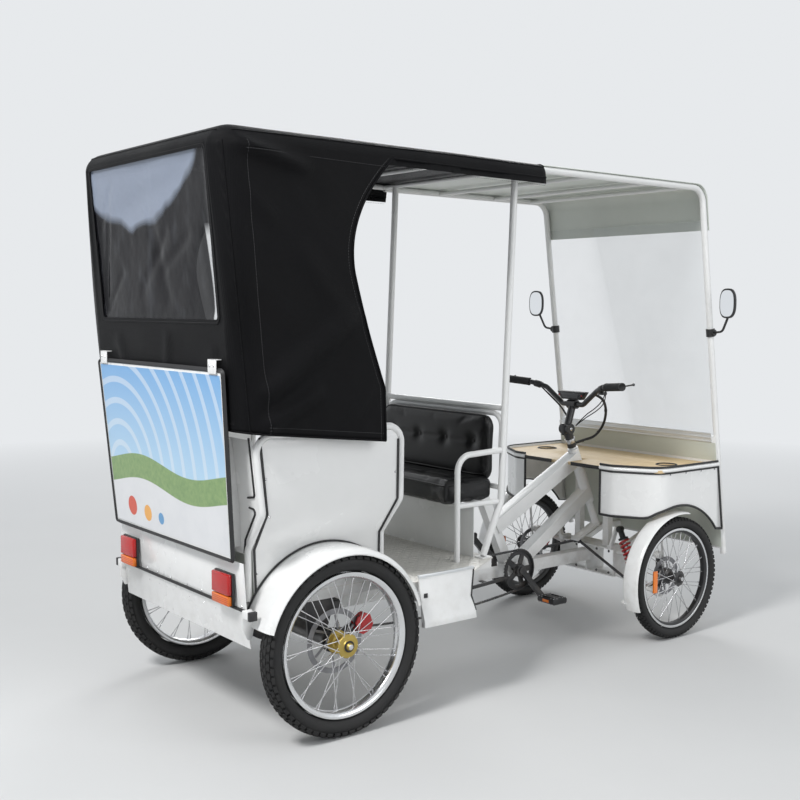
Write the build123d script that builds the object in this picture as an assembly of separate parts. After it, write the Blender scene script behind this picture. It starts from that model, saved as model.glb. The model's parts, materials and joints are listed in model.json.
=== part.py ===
from build123d import *
import math
import os

# Four-wheeled cycle rickshaw, drawn in millimetres.
# X runs forward from the rear axle, Y to the rider's left, Z up from the road.
# On export everything moves back by MIDDLE_X, so that the origin is under the middle.

# Stance
WHEELBASE = 1722.0
REAR_OVERHANG = 398.0
FRONT_OVERHANG = 330.0
REAR_TRACK = 1000.0
FRONT_TRACK = 880.0
MIDDLE_X = (WHEELBASE + FRONT_OVERHANG - REAR_OVERHANG) / 2
RUNNING_GAP = 0.4
SEAT_GAP = 0.3
TUBE_SIDES = 12
BEND_STEP = 32.0

# Wheels: tyre radius, tyre width, rim edge radius, rim depth, rim width
REAR_TYRE_RADIUS = 297.0
REAR_TYRE_WIDTH = 66.0
REAR_RIM_RADIUS = 235.0
REAR_RIM_DEPTH = 20.0
REAR_RIM_WIDTH = 48.0
FRONT_TYRE_RADIUS = 253.0
FRONT_TYRE_WIDTH = 54.0
FRONT_RIM_RADIUS = 208.0
FRONT_RIM_DEPTH = 19.0
FRONT_RIM_WIDTH = 34.0
SPOKE_COUNT = 36
SPOKE_RADIUS = 2.2
SPOKE_LIFT = SPOKE_RADIUS + SEAT_GAP
SPOKE_SWEEP = 45.0
SPOKE_SIDES = 3
SPOKE_STAGGER = 0.25
SPOKE_HEAD_Y = 5.0
RIM_SLOPE = 6.0
HUB_BARREL_RADIUS = 19.0
REAR_HUB_WIDTH = 66.0
REAR_FLANGE_RADIUS = 46.0
FRONT_HUB_WIDTH = 62.0
FRONT_FLANGE_RADIUS = 33.0
FLANGE_THICKNESS = 8.0
REAR_DISC_RADIUS = 110.0
FRONT_DISC_RADIUS = 80.0
DISC_THICKNESS = 2.4
DISC_INSET = 12.0
AXLE_STUB_RADIUS = 10.0
AXLE_STUB_LENGTH = 46.0
AXLE_NUT_RADIUS = 11.0
AXLE_NUT_DEPTH = 14.0
HUB_CAP_THICKNESS = 4.0
TYRE_BEAD_INSET = 2.0
TYRE_WIDEST = 0.38
TYRE_CROWN = 0.5

# Floor and ladder frame
DECK_TOP_Z = 455.0
DECK_THICKNESS = 4.0
DECK_REAR_X = -262.0
DECK_FRONT_X = 760.0
DECK_WING_REAR_X = 292.0
DECK_WING_FRONT_X = 555.0
DECK_WING_Y = 497.0
DECK_INNER_Y = 384.0
RAIL_HEIGHT = 36.0
RAIL_WIDTH = 30.0
RAIL_INSET = 6.0
RAIL_TOE_IN = 10.0
CROSS_TUBE_INSET = 15.0
CROSS_TUBE_X = 20.0
DECK_POST_X = 360.0
DECK_FOOT_X = DECK_FRONT_X - 60

# Rear axle, motor and battery
AXLE_TUBE_RADIUS = 26.0
AXLE_END_GAP = 12.0
AXLE_FLANGE_RADIUS = 40.0
AXLE_FLANGE_THICKNESS = 10.0
HANGER_Y = 348.0
HANGER_TOP = (-45.0, 75.0)
HANGER_LOW = (-34.0, 34.0)
HANGER_LOW_Z = 282.0
AXLE_ARM_Y = 150.0
AXLE_ARM_REACH = 60.0
AXLE_ARM_REAR_Z = (262.0, 332.0)
AXLE_ARM_FRONT_Z = (292.0, 330.0)
AXLE_BRIDGE_Z = 323.0
PLATE_THICKNESS = 8.0
MOTOR_RADIUS = 92.0
MOTOR_Y = (-44.0, 146.0)
GEAR_CASE_RADIUS = 70.0
GEAR_CASE_Y = -58.0
BATTERY_X = -110.0
BATTERY_LENGTH = 170.0
BATTERY_WIDTH = 400.0
BATTERY_HEIGHT = 170.0
CALIPER_ANGLE = 20.0
CALIPER_RADII = (88.0, 148.0)
CALIPER_HEIGHT = 62.0
CALIPER_WALL = 14.0
CALIPER_OUTER_WALL = 8.0
PAD_GAP = 2.5

# Spine: a square beam low on the centre line, with the head tube in front
BEAM_SIDE = 50.0
BEAM_Z = 285.0
BEAM_REAR_X = 175.0
SPINE_TUBE_SIDE = 58.0
DOWN_TUBE_SIDE = 50.0
SEAT_TUBE_SIDE = 42.0
SPINE_LOW_Z = 470.0
SPINE_JOINT = 45.0
DOWN_TUBE_JOINT = 50.0
DOWN_TUBE_REAR = 40.0
BEAM_POST_SIDE = 40.0
HEAD_ANGLE = 24.0
HEAD_TOP_X = WHEELBASE - 153
HEAD_TOP_Z = 762.0
HEAD_LENGTH = 268.0
HEAD_RADIUS = 24.0
STEM_GAP = 8.0
STEM_LENGTH = 95.0
STEM_LOWER_RADIUS = 20.0
STEM_UPPER_RADIUS = 16.0
HINGE_RADIUS = 23.0
HINGE_HALF = 26.0
CLAMP_RADIUS = 20.0
CLAMP_HALF = 24.0
BAR_X = WHEELBASE - 156
BAR_Z = 954.0
BAR_RADIUS = 11.0
GRIP_RADIUS = 17.0
COLUMN_RADIUS = 16.0
COLUMN_LENGTH = 126.0
DROP_ARM_THICKNESS = 10.0
DROP_ARM_INSET = 14.0
CRANK_X = WHEELBASE - 535
CRANK_Z = 291.0
CRANK_LENGTH = 162.0
CRANK_DROP_ANGLE = -49.0
CRANK_SPINDLE_RADIUS = 9.0
CRANK_SHELL_RADIUS = 29.0
CRANK_SHELL_HALF = 36.0
CRANK_ROOT_Y = 88.0
CRANK_TIP_Y = 100.0
CRANK_ARM_THICKNESS = 14.0
CRANK_ARM_WIDTH = 24.0
CRANK_EYE_RADIUS = 13.0
CRANK_BOSS_RADIUS = 17.0
PEDAL_LENGTH = 78.0
PEDAL_WIDTH = 92.0
PEDAL_DEPTH = 24.0
PEDAL_AXLE_RADIUS = 7.0
PEDAL_STEP = 6.0
CHAINRING_RADIUS = 78.0
CHAINRING_THICKNESS = 4.0
CHAINRING_WINDOWS = 5
SPIDER_RADIUS = 24.0
CHAINRING_Y = -68.0
COG_RADIUS = 45.0
CHAIN_WIDTH = 7.0
CHAIN_DEPTH = 8.0
CHAIN_SAG_Z = 176.0
SEAT_TUBE_ANGLE = 25.0
SADDLE_Z = 905.0
SADDLE_DEPTH = 58.0
SADDLE_SHIFT = 62.0
SEAT_TUBE_TOP_Z = 640.0

# Passenger body
PANEL_TOP_Z = 972.0
PANEL_KNEE_Z = 742.0
PANEL_ANKLE_Z = 617.0
PANEL_UPPER_Y = 480.0
PANEL_LOWER_Y = 392.0
PANEL_THICKNESS = 6.0
BODY_REAR_X = -300.0
BODY_FRONT_X = 240.0
BODY_TUBE_RADIUS = 11.0
ARMREST_BEND = 55.0

# Step skirts
SKIRT_RISE = 16.0
SKIRT_THICKNESS = 5.0
SKIRT_KNEE_Z = 370.0
SKIRT_LIP_Z = 318.0
SKIRT_LOW_Z = 296.0
SKIRT_FLARE = 19.0
SKIRT_REAR_INSET = 18.0

# Rear board
BOARD_TOP_Z = 1180.0
BOARD_LOW_Z = 598.0
BOARD_LOW_X = -352.0
BOARD_TOP_HALF = 448.0
BOARD_LOW_HALF = 418.0
BOARD_THICKNESS = 6.0
RIB_Y = 340.0
RIB_THICKNESS = 4.0
VALANCE_BRACKET_Y = 350.0
VALANCE_BRACKET_SIDE = 24.0

# Canopy
CANOPY_REAR_X = -376.0
CANOPY_TOP_Z = 1905.0
CANOPY_FALL = 20.0
CANOPY_FRONT_X = 910.0
CANOPY_SIDE_X = 150.0
CANOPY_TOP_Y = 500.0
CANOPY_HEM_Y = 540.0
CANOPY_TAPER = 31.0
CANOPY_HEM_Z = 1000.0
CANOPY_HEM_FALL = 58.0
CANOPY_THICKNESS = 4.0
CANOPY_EDGE_RADIUS = 22.0
# Side's front edge: distance behind CANOPY_SIDE_X and distance below CANOPY_TOP_Z
CANOPY_EDGE = [(0.0, 745.0), (66.0, 560.0), (109.0, 400.0), (70.0, 205.0), (-60.0, 47.0)]
WINDOW_CORNER = 20.0
WINDOW_LAP = 12.0
WINDOW_THICKNESS = 1.5
WINDOW_WIDTH = 834.0
WINDOW_BOTTOM_Z = 1328.0
WINDOW_TOP_Z = 1840.0
CANOPY_RAIL_RADIUS = 11.0
CANOPY_RAIL_Y = 441.0
POST_Y = 357.0
POST_TOP_X = 868.0
POST_RADIUS = 13.0

# Forward bench
BENCH_BACK_X = 815.0
BENCH_TOP_Z = 1000.0
BENCH_TUBE_RADIUS = 11.0
BENCH_SEAT_Z = 657.0
BENCH_FOOT_X = 728.0
BENCH_FRONT_X = 602.0
BENCH_ARM_Z = 846.0
SEAT_HALF = 366.0
SEAT_THICKNESS = 78.0
BACKREST_THICKNESS = 38.0
BENCH_BAR_OFFSET = 8.0
WALL_THICKNESS = 4.0
SEAT_BOX_FRONT_X = 150.0
SEAT_BOX_HEIGHT = 230.0
CUSHION_EDGE = 14.0
BACKREST_EDGE = 12.0
BENCH_CUSHION_FRONT_X = BENCH_FRONT_X - 42
RISER_X = 700.0
RISER_THICKNESS = 3.0

# Rider's hoop, roof sheet and screen
HOOP_RADIUS = 13.0
HOOP_Y = 450.0
HOOP_LEAN = 7.7
HOOP_FOOT_Z = 335.0
HOOP_TOP_Z = 1860.0
HOOP_BEND = 70.0
ROOF_BEND_EASE = 15.0
HOOP_BAR_RADIUS = 9.0
SHEET_THICKNESS = 3.0
VALANCE_DEPTH = 170.0
VALANCE_BOTTOM_Z = HOOP_TOP_Z - VALANCE_DEPTH
SCREEN_BOTTOM_Z = 826.0
SCREEN_LAP = 40.0
SCREEN_THICKNESS = 2.5

# Front fairing
SHELF_TOP_Z = 712.0
SHELF_THICKNESS = 12.0
FAIRING_Y = 462.0
FAIRING_INNER_Y = 222.0
FAIRING_REAR_WIDTH = 60.0
FAIRING_REAR_X = WHEELBASE - 222
FAIRING_CORNER_X = WHEELBASE - 122
FAIRING_BOTTOM_Z = 512.0
FAIRING_THICKNESS = 4.0
ARCH_RADIUS = 306.0
CUP_HOLE_RADIUS = 41.0
CUP_HOLE_X = WHEELBASE + 46
CUP_HOLE_Y = 352.0

# Front running gear
KINGPIN_Y = 362.0
KINGPIN_RADIUS = 14.0
KINGPIN_TOP_Z = 322.0
KINGPIN_BOTTOM_Z = 184.0
WISHBONE_RADIUS = 9.0
SHOCK_X = WHEELBASE - 59
SHOCK_LOW = (292.0, 232.0)
SHOCK_HIGH = (196.0, 424.0)
SHOCK_EYE_RADIUS = 13.5
SHOCK_SEAT_THICKNESS = 10.0
SHOCK_SEAT_START = 46.0
TOWER_THICKNESS = 10.0
SPRING_TURNS = 7
SPRING_PITCH = 17.0
SPRING_RADIUS = 25.0
AXLE_BOX_LENGTH = 110.0
AXLE_BOX_WIDTH = 320.0
AXLE_BOX_BOTTOM_Z = 208.0
AXLE_BOX_TOP_Z = 330.0
AXLE_BOX_WALL = 6.0
UPRIGHT_SIDE = 30.0
BEARER_SIDE = 20.0
FOOT_ARM_SIDE = 24.0
FOOT_ARM_Y = 120.0
FOOT_ARM_KNEE = 178.0
PITMAN_LENGTH = 132.0
PITMAN_SPREAD = 12.0
PITMAN_EDGE = 10.0
TRACK_ARM_LENGTH = 161.0
ROD_EYE_RADIUS = 9.0
TOWER_WIDTH = 20.0
TRACK_ARM_Z = 216.0
TRACK_ARM_WIDTH = 20.0
TRACK_ARM_THICKNESS = 10.0
UPRIGHT_X = WHEELBASE - 12
UPRIGHT_Y = 83.0
FRONT_GUARD_RADIUS = 276.0
FRONT_GUARD_WIDTH = 74.0
GUARD_THICKNESS = 3.0
GUARD_STAY_Y = 388.5
KNUCKLE_BOSS_RADIUS = 17.0
REAR_GUARD_RADIUS = 309.0
REAR_GUARD_OUTER_Y = 542.0
REAR_GUARD_LIP = 16.0
GUARD_STAY_WIDTH = 12.0
GUARD_RING_RADIUS = 27.0
GUARD_ANGLES = (79.0, 202.0)
GUARD_STAY_ANGLES = (97.0, 196.0)

# Controls on the handlebar
LEVER_CLAMP_RADIUS = 15.0
LEVER_CLAMP_WIDTH = 30.0
LEVER_CLAMP_INSET = 14.0
LEVER_BLADE_WIDTH = 11.0
LEVER_BLADE_THICKNESS = 7.0
LEVER_REACH = 42.0
LEVER_RISE = 8.0
DISPLAY_TOP_WIDTH = 164.0
DISPLAY_LOW_WIDTH = 112.0
DISPLAY_HEIGHT = 36.0
DISPLAY_DEPTH = 34.0

# Lamps and mirrors
LAMP_LOW_Z = 446.0
LAMP_HIGH_Z = 552.0
LAMP_DEPTH = 26.0
LAMP_OUTER_Y = 398.0
LAMP_WIDTH = 118.0
MIRROR_CLAMP_Z = 1268.0
MIRROR_CLAMP_HALF = 16.0
MIRROR_CLAMP_WALL = 6.0
MIRROR_REACH = 104.0
MIRROR_RISE = 122.0
MIRROR_STALK_RADIUS = 5.0
MIRROR_WIDTH = 82.0
MIRROR_HEIGHT = 122.0
MIRROR_CORNER = 38.0
MIRROR_DEPTH = 18.0


def plane_y(y):
    """Work plane whose local x is +X and local y is +Z, at height y on the Y axis."""
    return Plane(origin=(0, y, 0), x_dir=(1, 0, 0), z_dir=(0, -1, 0))


def bar_between(a, b, width, height=None, up=(0, 0, 1)):
    """Square or flat bar with its centre line from a to b."""
    a, b = Vector(*a), Vector(*b)
    run = b - a
    side = Vector(*up).cross(run).normalized()
    section = Plane(origin=a, x_dir=side, z_dir=run)
    return extrude(section * Rectangle(width, height or width), run.length)


def rod_between(a, b, radius):
    """Round rod with its centre line from a to b."""
    a, b = Vector(*a), Vector(*b)
    run = b - a
    return extrude(Plane(origin=a, z_dir=run) * Circle(radius), run.length)


def tube_between(a, b, radius):
    """Frame tube from a to b, drawn with flat sides."""
    a, b = Vector(*a), Vector(*b)
    run = b - a
    return extrude(Plane(origin=a, z_dir=run) * RegularPolygon(radius, TUBE_SIDES), run.length)


def bent_tube(points, radius, bends):
    """Frame tube through points, each inner point rounded by its bend radius in short mitred pieces."""
    corners = [Vector(*point) for point in points]
    route = [corners[0]]
    for before, corner, after, bend in zip(corners, corners[1:], corners[2:], bends):
        into = (corner - before).normalized()
        out = (after - corner).normalized()
        turn = into.get_angle(out)
        kinks = max(1, math.ceil(turn / BEND_STEP))
        centre = corner + (out - into).normalized() * (bend / math.cos(math.radians(turn / 2)))
        spin = Axis((0, 0, 0), into.cross(out))
        reach = bend * math.tan(math.radians(turn / kinks / 2))
        first = corner - into * (bend * math.tan(math.radians(turn / 2)) - reach) - centre
        for kink in range(kinks):
            route.append(centre + first.rotate(spin, turn / kinks * kink))
    route.append(corners[-1])
    path = Polyline(*route)
    section = Plane(origin=path @ 0, z_dir=path % 0) * RegularPolygon(radius, TUBE_SIDES)
    return sweep(section, path=path, transition=Transition.RIGHT)


def y_cylinder(x, z, radius, y_from, y_to):
    """Cylinder lying along Y."""
    return rod_between((x, y_from, z), (x, y_to, z), radius)


def both_sides(shape):
    """The left shape and its mirror image on the right."""
    return [shape, mirror(shape, about=Plane.XZ)]


def ring_about_y(x, y, z, points):
    """Revolve a closed outline of (y offset, radius) points about the Y axis through (x, y, z)."""
    outline = Polyline(*[(dy, r) for dy, r in points], close=True)
    face = Plane(origin=(x, y, z), x_dir=(0, 1, 0), z_dir=(1, 0, 0)) * make_face(outline)
    return revolve(face, axis=Axis((x, y, z), (0, 1, 0)))


# Wheels


def tyre(x, y, radius, width, rim_radius, rim_width):
    """Tyre with a crown, shoulders and sidewalls that close on the rim edge."""
    half = width / 2
    bead = rim_width / 2 - TYRE_BEAD_INSET
    seat = rim_radius + SEAT_GAP
    widest = rim_radius + (radius - rim_radius) * TYRE_WIDEST
    crown = half * TYRE_CROWN
    left = [(-bead, seat), (-half, widest), (-crown, radius)]
    outline = left + [(-dy, r) for dy, r in reversed(left)]
    return ring_about_y(x, y, radius, outline)


def wheel(x, y, axle_z, rim, hub, side, bore):
    """Rim, and hub with two flanges and a brake disc.

    rim is (edge radius, depth, width), hub is (width, flange radius, disc radius),
    side is +1 on the left and -1 on the right, bore is the hole for a stub axle or 0.
    """
    edge, depth, width = rim
    hub_width, flange_radius, disc_radius = hub
    half = width / 2
    bed = edge - depth
    flange = hub_width / 2
    barrel = HUB_BARREL_RADIUS
    rim_ring = ring_about_y(
        x, y, axle_z, [(-half, edge), (-half + RIM_SLOPE, bed), (half - RIM_SLOPE, bed), (half, edge)])
    disc = flange + DISC_INSET
    half_disc = DISC_THICKNESS / 2
    outline = [
        (flange, 0), (flange, flange_radius), (flange - FLANGE_THICKNESS, flange_radius),
        (flange - FLANGE_THICKNESS, barrel), (-flange + FLANGE_THICKNESS, barrel),
        (-flange + FLANGE_THICKNESS, flange_radius), (-flange, flange_radius), (-flange, barrel),
        (-disc + half_disc, barrel), (-disc + half_disc, disc_radius), (-disc - half_disc, disc_radius),
        (-disc - half_disc, 0),
    ]
    hub_body = ring_about_y(x, y, axle_z, [(side * dy, r) for dy, r in outline])
    if bore:
        inner_end, cap = y - side * (disc + DISC_INSET), y + side * (flange - HUB_CAP_THICKNESS)
        hub_body -= y_cylinder(x, axle_z, bore, inner_end, cap)
    return [rim_ring, hub_body]


def wheel_spokes(x, y, axle_z, rim, hub):
    """Crossed spokes seated between the hub's flanges and the rim's bed."""
    edge, depth, _ = rim
    hub_width, flange_radius, _ = hub
    flange = hub_width / 2
    spokes = []
    per_side = SPOKE_COUNT // 2
    root = flange_radius + SPOKE_RADIUS
    tip = edge - depth - SPOKE_RADIUS / 2
    for end in (-1, 1):
        for number in range(per_side):
            a = math.radians(360 / per_side * (number + (SPOKE_STAGGER if end > 0 else 0)))
            sweep_angle = math.radians(SPOKE_SWEEP if number % 2 else -SPOKE_SWEEP)
            lift = SPOKE_LIFT if number % 2 else -SPOKE_LIFT
            foot_y = y + end * (flange - FLANGE_THICKNESS / 2) + lift
            foot = Vector(x + root * math.cos(a), foot_y, axle_z + root * math.sin(a))
            b = a + sweep_angle
            head = Vector(x + tip * math.cos(b), y + end * SPOKE_HEAD_Y, axle_z + tip * math.sin(b))
            run = head - foot
            section = Plane(origin=foot, z_dir=run) * RegularPolygon(SPOKE_RADIUS, SPOKE_SIDES)
            spokes.append(extrude(section, run.length))
    return spokes


REAR_RIM = (REAR_RIM_RADIUS, REAR_RIM_DEPTH, REAR_RIM_WIDTH)
REAR_HUB = (REAR_HUB_WIDTH, REAR_FLANGE_RADIUS, REAR_DISC_RADIUS)
FRONT_RIM = (FRONT_RIM_RADIUS, FRONT_RIM_DEPTH, FRONT_RIM_WIDTH)
FRONT_HUB = (FRONT_HUB_WIDTH, FRONT_FLANGE_RADIUS, FRONT_DISC_RADIUS)


def rear_spokes(side):
    return wheel_spokes(0, side * REAR_TRACK / 2, REAR_TYRE_RADIUS, REAR_RIM, REAR_HUB)


def front_spokes(side):
    return wheel_spokes(WHEELBASE, side * FRONT_TRACK / 2, FRONT_TYRE_RADIUS, FRONT_RIM, FRONT_HUB)


def rear_wheel(side):
    y = side * REAR_TRACK / 2
    pieces = wheel(0, y, REAR_TYRE_RADIUS, REAR_RIM, REAR_HUB, side, 0)
    inner = y - side * (REAR_HUB_WIDTH / 2 + DISC_INSET)
    pieces[1] += y_cylinder(0, REAR_TYRE_RADIUS, AXLE_STUB_RADIUS, inner, inner - side * AXLE_STUB_LENGTH)
    outer = y + side * REAR_HUB_WIDTH / 2
    pieces[1] += y_cylinder(0, REAR_TYRE_RADIUS, AXLE_NUT_RADIUS, outer, outer + side * AXLE_NUT_DEPTH)
    return pieces


def front_wheel(side):
    y = side * FRONT_TRACK / 2
    bore = AXLE_STUB_RADIUS + RUNNING_GAP
    return wheel(WHEELBASE, y, FRONT_TYRE_RADIUS, FRONT_RIM, FRONT_HUB, side, bore)


def rear_tyre(side):
    y = side * REAR_TRACK / 2
    return tyre(0, y, REAR_TYRE_RADIUS, REAR_TYRE_WIDTH, REAR_RIM_RADIUS, REAR_RIM_WIDTH)


def front_tyre(side):
    y = side * FRONT_TRACK / 2
    return tyre(WHEELBASE, y, FRONT_TYRE_RADIUS, FRONT_TYRE_WIDTH, FRONT_RIM_RADIUS, FRONT_RIM_WIDTH)


# Frame


def along_head(distance, offset=0.0):
    """Point on the steering axis, distance down from the head tube's top, offset forward of it."""
    angle = math.radians(HEAD_ANGLE)
    x = HEAD_TOP_X + distance * math.sin(angle) + offset * math.cos(angle)
    z = HEAD_TOP_Z - distance * math.cos(angle) + offset * math.sin(angle)
    return (x, 0, z)


def seat_tube_point(z):
    """Point on the seat tube's centre line at height z."""
    return (CRANK_X - (z - CRANK_Z) * math.tan(math.radians(SEAT_TUBE_ANGLE)), 0, z)


BOX_REAR_X = WHEELBASE - AXLE_BOX_LENGTH / 2
BOX_FRONT_X = WHEELBASE + AXLE_BOX_LENGTH / 2
DECK_BOTTOM_Z = DECK_TOP_Z - DECK_THICKNESS
RAIL_BOTTOM_Z = DECK_BOTTOM_Z - RAIL_HEIGHT
RAIL_MID_Z = DECK_BOTTOM_Z - RAIL_HEIGHT / 2


def main_frame():
    """Low beam, seat tube, spine tube, down tube, head tube and crank shell, welded."""
    body = bar_between((BEAM_REAR_X, 0, BEAM_Z), (BOX_REAR_X - SEAT_GAP, 0, BEAM_Z), BEAM_SIDE)
    body += bar_between(seat_tube_point(CRANK_Z), seat_tube_point(SEAT_TUBE_TOP_Z), SEAT_TUBE_SIDE)
    body += bar_between(seat_tube_point(SPINE_LOW_Z), along_head(SPINE_JOINT), SPINE_TUBE_SIDE)
    down_tube_low = (CRANK_X + DOWN_TUBE_REAR, 0, CRANK_Z)
    body += bar_between(down_tube_low, along_head(HEAD_LENGTH - DOWN_TUBE_JOINT), DOWN_TUBE_SIDE)
    body += rod_between(along_head(0), along_head(HEAD_LENGTH), HEAD_RADIUS)
    body += y_cylinder(CRANK_X, CRANK_Z, CRANK_SHELL_RADIUS, -CRANK_SHELL_HALF, CRANK_SHELL_HALF)
    for x in (DECK_POST_X, DECK_FOOT_X):
        top = (x, 0, RAIL_BOTTOM_Z - SEAT_GAP)
        body += bar_between((x, 0, BEAM_Z), top, BEAM_POST_SIDE, up=(1, 0, 0))
    past = 2 * HEAD_RADIUS
    bore = COLUMN_RADIUS + RUNNING_GAP
    body -= rod_between(along_head(-past), along_head(HEAD_LENGTH + past), bore)
    bore = CRANK_SPINDLE_RADIUS + RUNNING_GAP
    body -= y_cylinder(CRANK_X, CRANK_Z, bore, -2 * CRANK_SHELL_HALF, 2 * CRANK_SHELL_HALF)
    return body


def deck_frame():
    """Ladder of rectangular tube under the floor, with outriggers to the skirts."""
    rail_y = DECK_INNER_Y - RAIL_WIDTH / 2 - RAIL_INSET
    body = None
    for side in (-1, 1):
        rail = bar_between(
            (DECK_REAR_X, side * rail_y, RAIL_MID_Z),
            (DECK_FRONT_X, side * (rail_y - RAIL_TOE_IN), RAIL_MID_Z), RAIL_WIDTH, RAIL_HEIGHT)
        body = rail if body is None else body + rail
    inset = CROSS_TUBE_INSET
    rear_x, wing_x = DECK_REAR_X + inset, DECK_WING_REAR_X + inset
    stations = (rear_x, CROSS_TUBE_X, wing_x, DECK_WING_FRONT_X - 20, DECK_FOOT_X)
    for x in stations:
        reach = DECK_WING_Y - inset + 1 if DECK_WING_REAR_X < x < DECK_WING_FRONT_X else rail_y
        body += bar_between((x, -reach, RAIL_MID_Z), (x, reach, RAIL_MID_Z), RAIL_WIDTH, RAIL_HEIGHT)
    return body


def floor_deck():
    """Checker plate floor: narrow between the rear wheels, wide at the steps."""
    outline = [
        (DECK_REAR_X, DECK_INNER_Y), (DECK_WING_REAR_X, DECK_INNER_Y), (DECK_WING_REAR_X, DECK_WING_Y),
        (DECK_WING_FRONT_X, DECK_WING_Y), (DECK_FRONT_X, POST_Y + POST_RADIUS + 5),
    ]
    points = outline + [(x, -y) for x, y in reversed(outline)]
    face = make_face(Polyline(*points, close=True))
    return extrude(Plane.XY.offset(DECK_BOTTOM_Z) * face, DECK_THICKNESS)


def caliper(inner_end):
    """Left brake caliper: bracket from the axle's end, and a body that straddles the disc."""
    wheel_y = REAR_TRACK / 2
    disc_y = wheel_y - REAR_HUB_WIDTH / 2 - DISC_INSET
    room = DISC_THICKNESS / 2 + PAD_GAP
    inner, outer = CALIPER_RADII
    slot_y = (disc_y - room, disc_y + room)
    body_y = (slot_y[0] - CALIPER_WALL, slot_y[1] + CALIPER_OUTER_WALL)
    turn = Axis((0, 0, REAR_TYRE_RADIUS), (0, -1, 0))
    low_z = REAR_TYRE_RADIUS - CALIPER_HEIGHT / 2

    def block(x, y, height):
        lowest = REAR_TYRE_RADIUS - height / 2
        corner = Align.MIN, Align.MIN, Align.MIN
        return Pos(x[0], y[0], lowest) * Box(x[1] - x[0], y[1] - y[0], height, align=corner)

    body = block((inner, outer), body_y, CALIPER_HEIGHT)
    body = chamfer(body.edges().filter_by(Axis.Y), CALIPER_WALL)
    body -= block((inner - 1, REAR_DISC_RADIUS + PAD_GAP), slot_y, 2 * CALIPER_HEIGHT)
    body += block((0, inner + 1), (inner_end - AXLE_FLANGE_THICKNESS, inner_end - 2), CALIPER_HEIGHT / 2)
    return body.rotate(turn, CALIPER_ANGLE)


def rear_axle():
    """Axle housing with flanged ends, brake calipers and the plates that hang it from the rails."""
    z = REAR_TYRE_RADIUS
    inner_end = REAR_TRACK / 2 - REAR_HUB_WIDTH / 2 - DISC_INSET - AXLE_END_GAP
    body = y_cylinder(0, z, AXLE_TUBE_RADIUS, -inner_end, inner_end)
    rail_z = RAIL_BOTTOM_Z - SEAT_GAP
    half = PLATE_THICKNESS / 2
    front_x = BEAM_REAR_X + AXLE_ARM_REACH
    rear_x = -AXLE_ARM_REACH / 2
    hanger = make_face(Polyline(
        (HANGER_TOP[0], rail_z), (HANGER_TOP[1], rail_z), (HANGER_LOW[1], HANGER_LOW_Z),
        (HANGER_LOW[0], HANGER_LOW_Z), close=True))
    arm = make_face(Polyline(
        (rear_x, AXLE_ARM_REAR_Z[0]), (front_x, AXLE_ARM_FRONT_Z[0]), (front_x, AXLE_ARM_FRONT_Z[1]),
        (rear_x, AXLE_ARM_REAR_Z[1]), close=True))
    bridge_x = front_x - RAIL_WIDTH / 2 - 5
    for side, brake in zip((1, -1), both_sides(caliper(inner_end))):
        flange_y = inner_end - AXLE_FLANGE_THICKNESS
        body += y_cylinder(0, z, AXLE_FLANGE_RADIUS, side * flange_y, side * inner_end)
        body += extrude(plane_y(side * HANGER_Y + half) * hanger, PLATE_THICKNESS)
        body += extrude(plane_y(side * AXLE_ARM_Y + half) * arm, PLATE_THICKNESS)
        start = (bridge_x, side * AXLE_ARM_Y, AXLE_BRIDGE_Z)
        end = (bridge_x, side * (BEAM_SIDE / 2 + SEAT_GAP), AXLE_BRIDGE_Z)
        body += bar_between(start, end, RAIL_WIDTH, VALANCE_BRACKET_SIDE)
        body += brake
    half = CHAINRING_THICKNESS / 2
    body += y_cylinder(0, z, COG_RADIUS, CHAINRING_Y - half, CHAINRING_Y + half)
    bore = AXLE_STUB_RADIUS + RUNNING_GAP
    for side in (-1, 1):
        body -= y_cylinder(0, z, bore, side * (inner_end - AXLE_STUB_LENGTH + 6), side * (inner_end + 5))
    return body


def drive_motor():
    """Differential drive motor round the middle of the axle, one plain block."""
    right_y, left_y = MOTOR_Y
    block = y_cylinder(0, REAR_TYRE_RADIUS, MOTOR_RADIUS, right_y, left_y - SEAT_GAP)
    block += y_cylinder(0, REAR_TYRE_RADIUS, GEAR_CASE_RADIUS, GEAR_CASE_Y, 0)
    return block - y_cylinder(0, REAR_TYRE_RADIUS, AXLE_TUBE_RADIUS + SEAT_GAP, GEAR_CASE_Y - 2, left_y + 2)


def battery_pack():
    """Battery case standing on the floor inside the rear seat box."""
    low_z = DECK_TOP_Z + SEAT_GAP
    case = Box(BATTERY_LENGTH, BATTERY_WIDTH, BATTERY_HEIGHT, align=(Align.CENTER, Align.CENTER, Align.MIN))
    return Pos(BATTERY_X, 0, low_z) * case


# Passenger body


def panel_edge_x(z, front):
    """X of the side panel's rear or front edge at height z: three straight stretches."""
    if front:
        line = [(PANEL_TOP_Z, BODY_FRONT_X), (PANEL_KNEE_Z, BODY_FRONT_X - 3),
                (PANEL_ANKLE_Z, BODY_FRONT_X - 12), (DECK_TOP_Z, BODY_FRONT_X - 16)]
    else:
        line = [(PANEL_TOP_Z, BODY_REAR_X + 6), (PANEL_KNEE_Z, BODY_REAR_X + 32),
                (PANEL_ANKLE_Z, BODY_REAR_X + 36), (DECK_TOP_Z, BODY_REAR_X + 41)]
    for (z_high, x_high), (z_low, x_low) in zip(line, line[1:]):
        if z >= z_low:
            break
    return x_high + (x_low - x_high) * (z_high - z) / (z_high - z_low)


EDGE_OUT = BODY_TUBE_RADIUS + 2 * SEAT_GAP
ARM_TUBE_Z = PANEL_TOP_Z + EDGE_OUT


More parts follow.
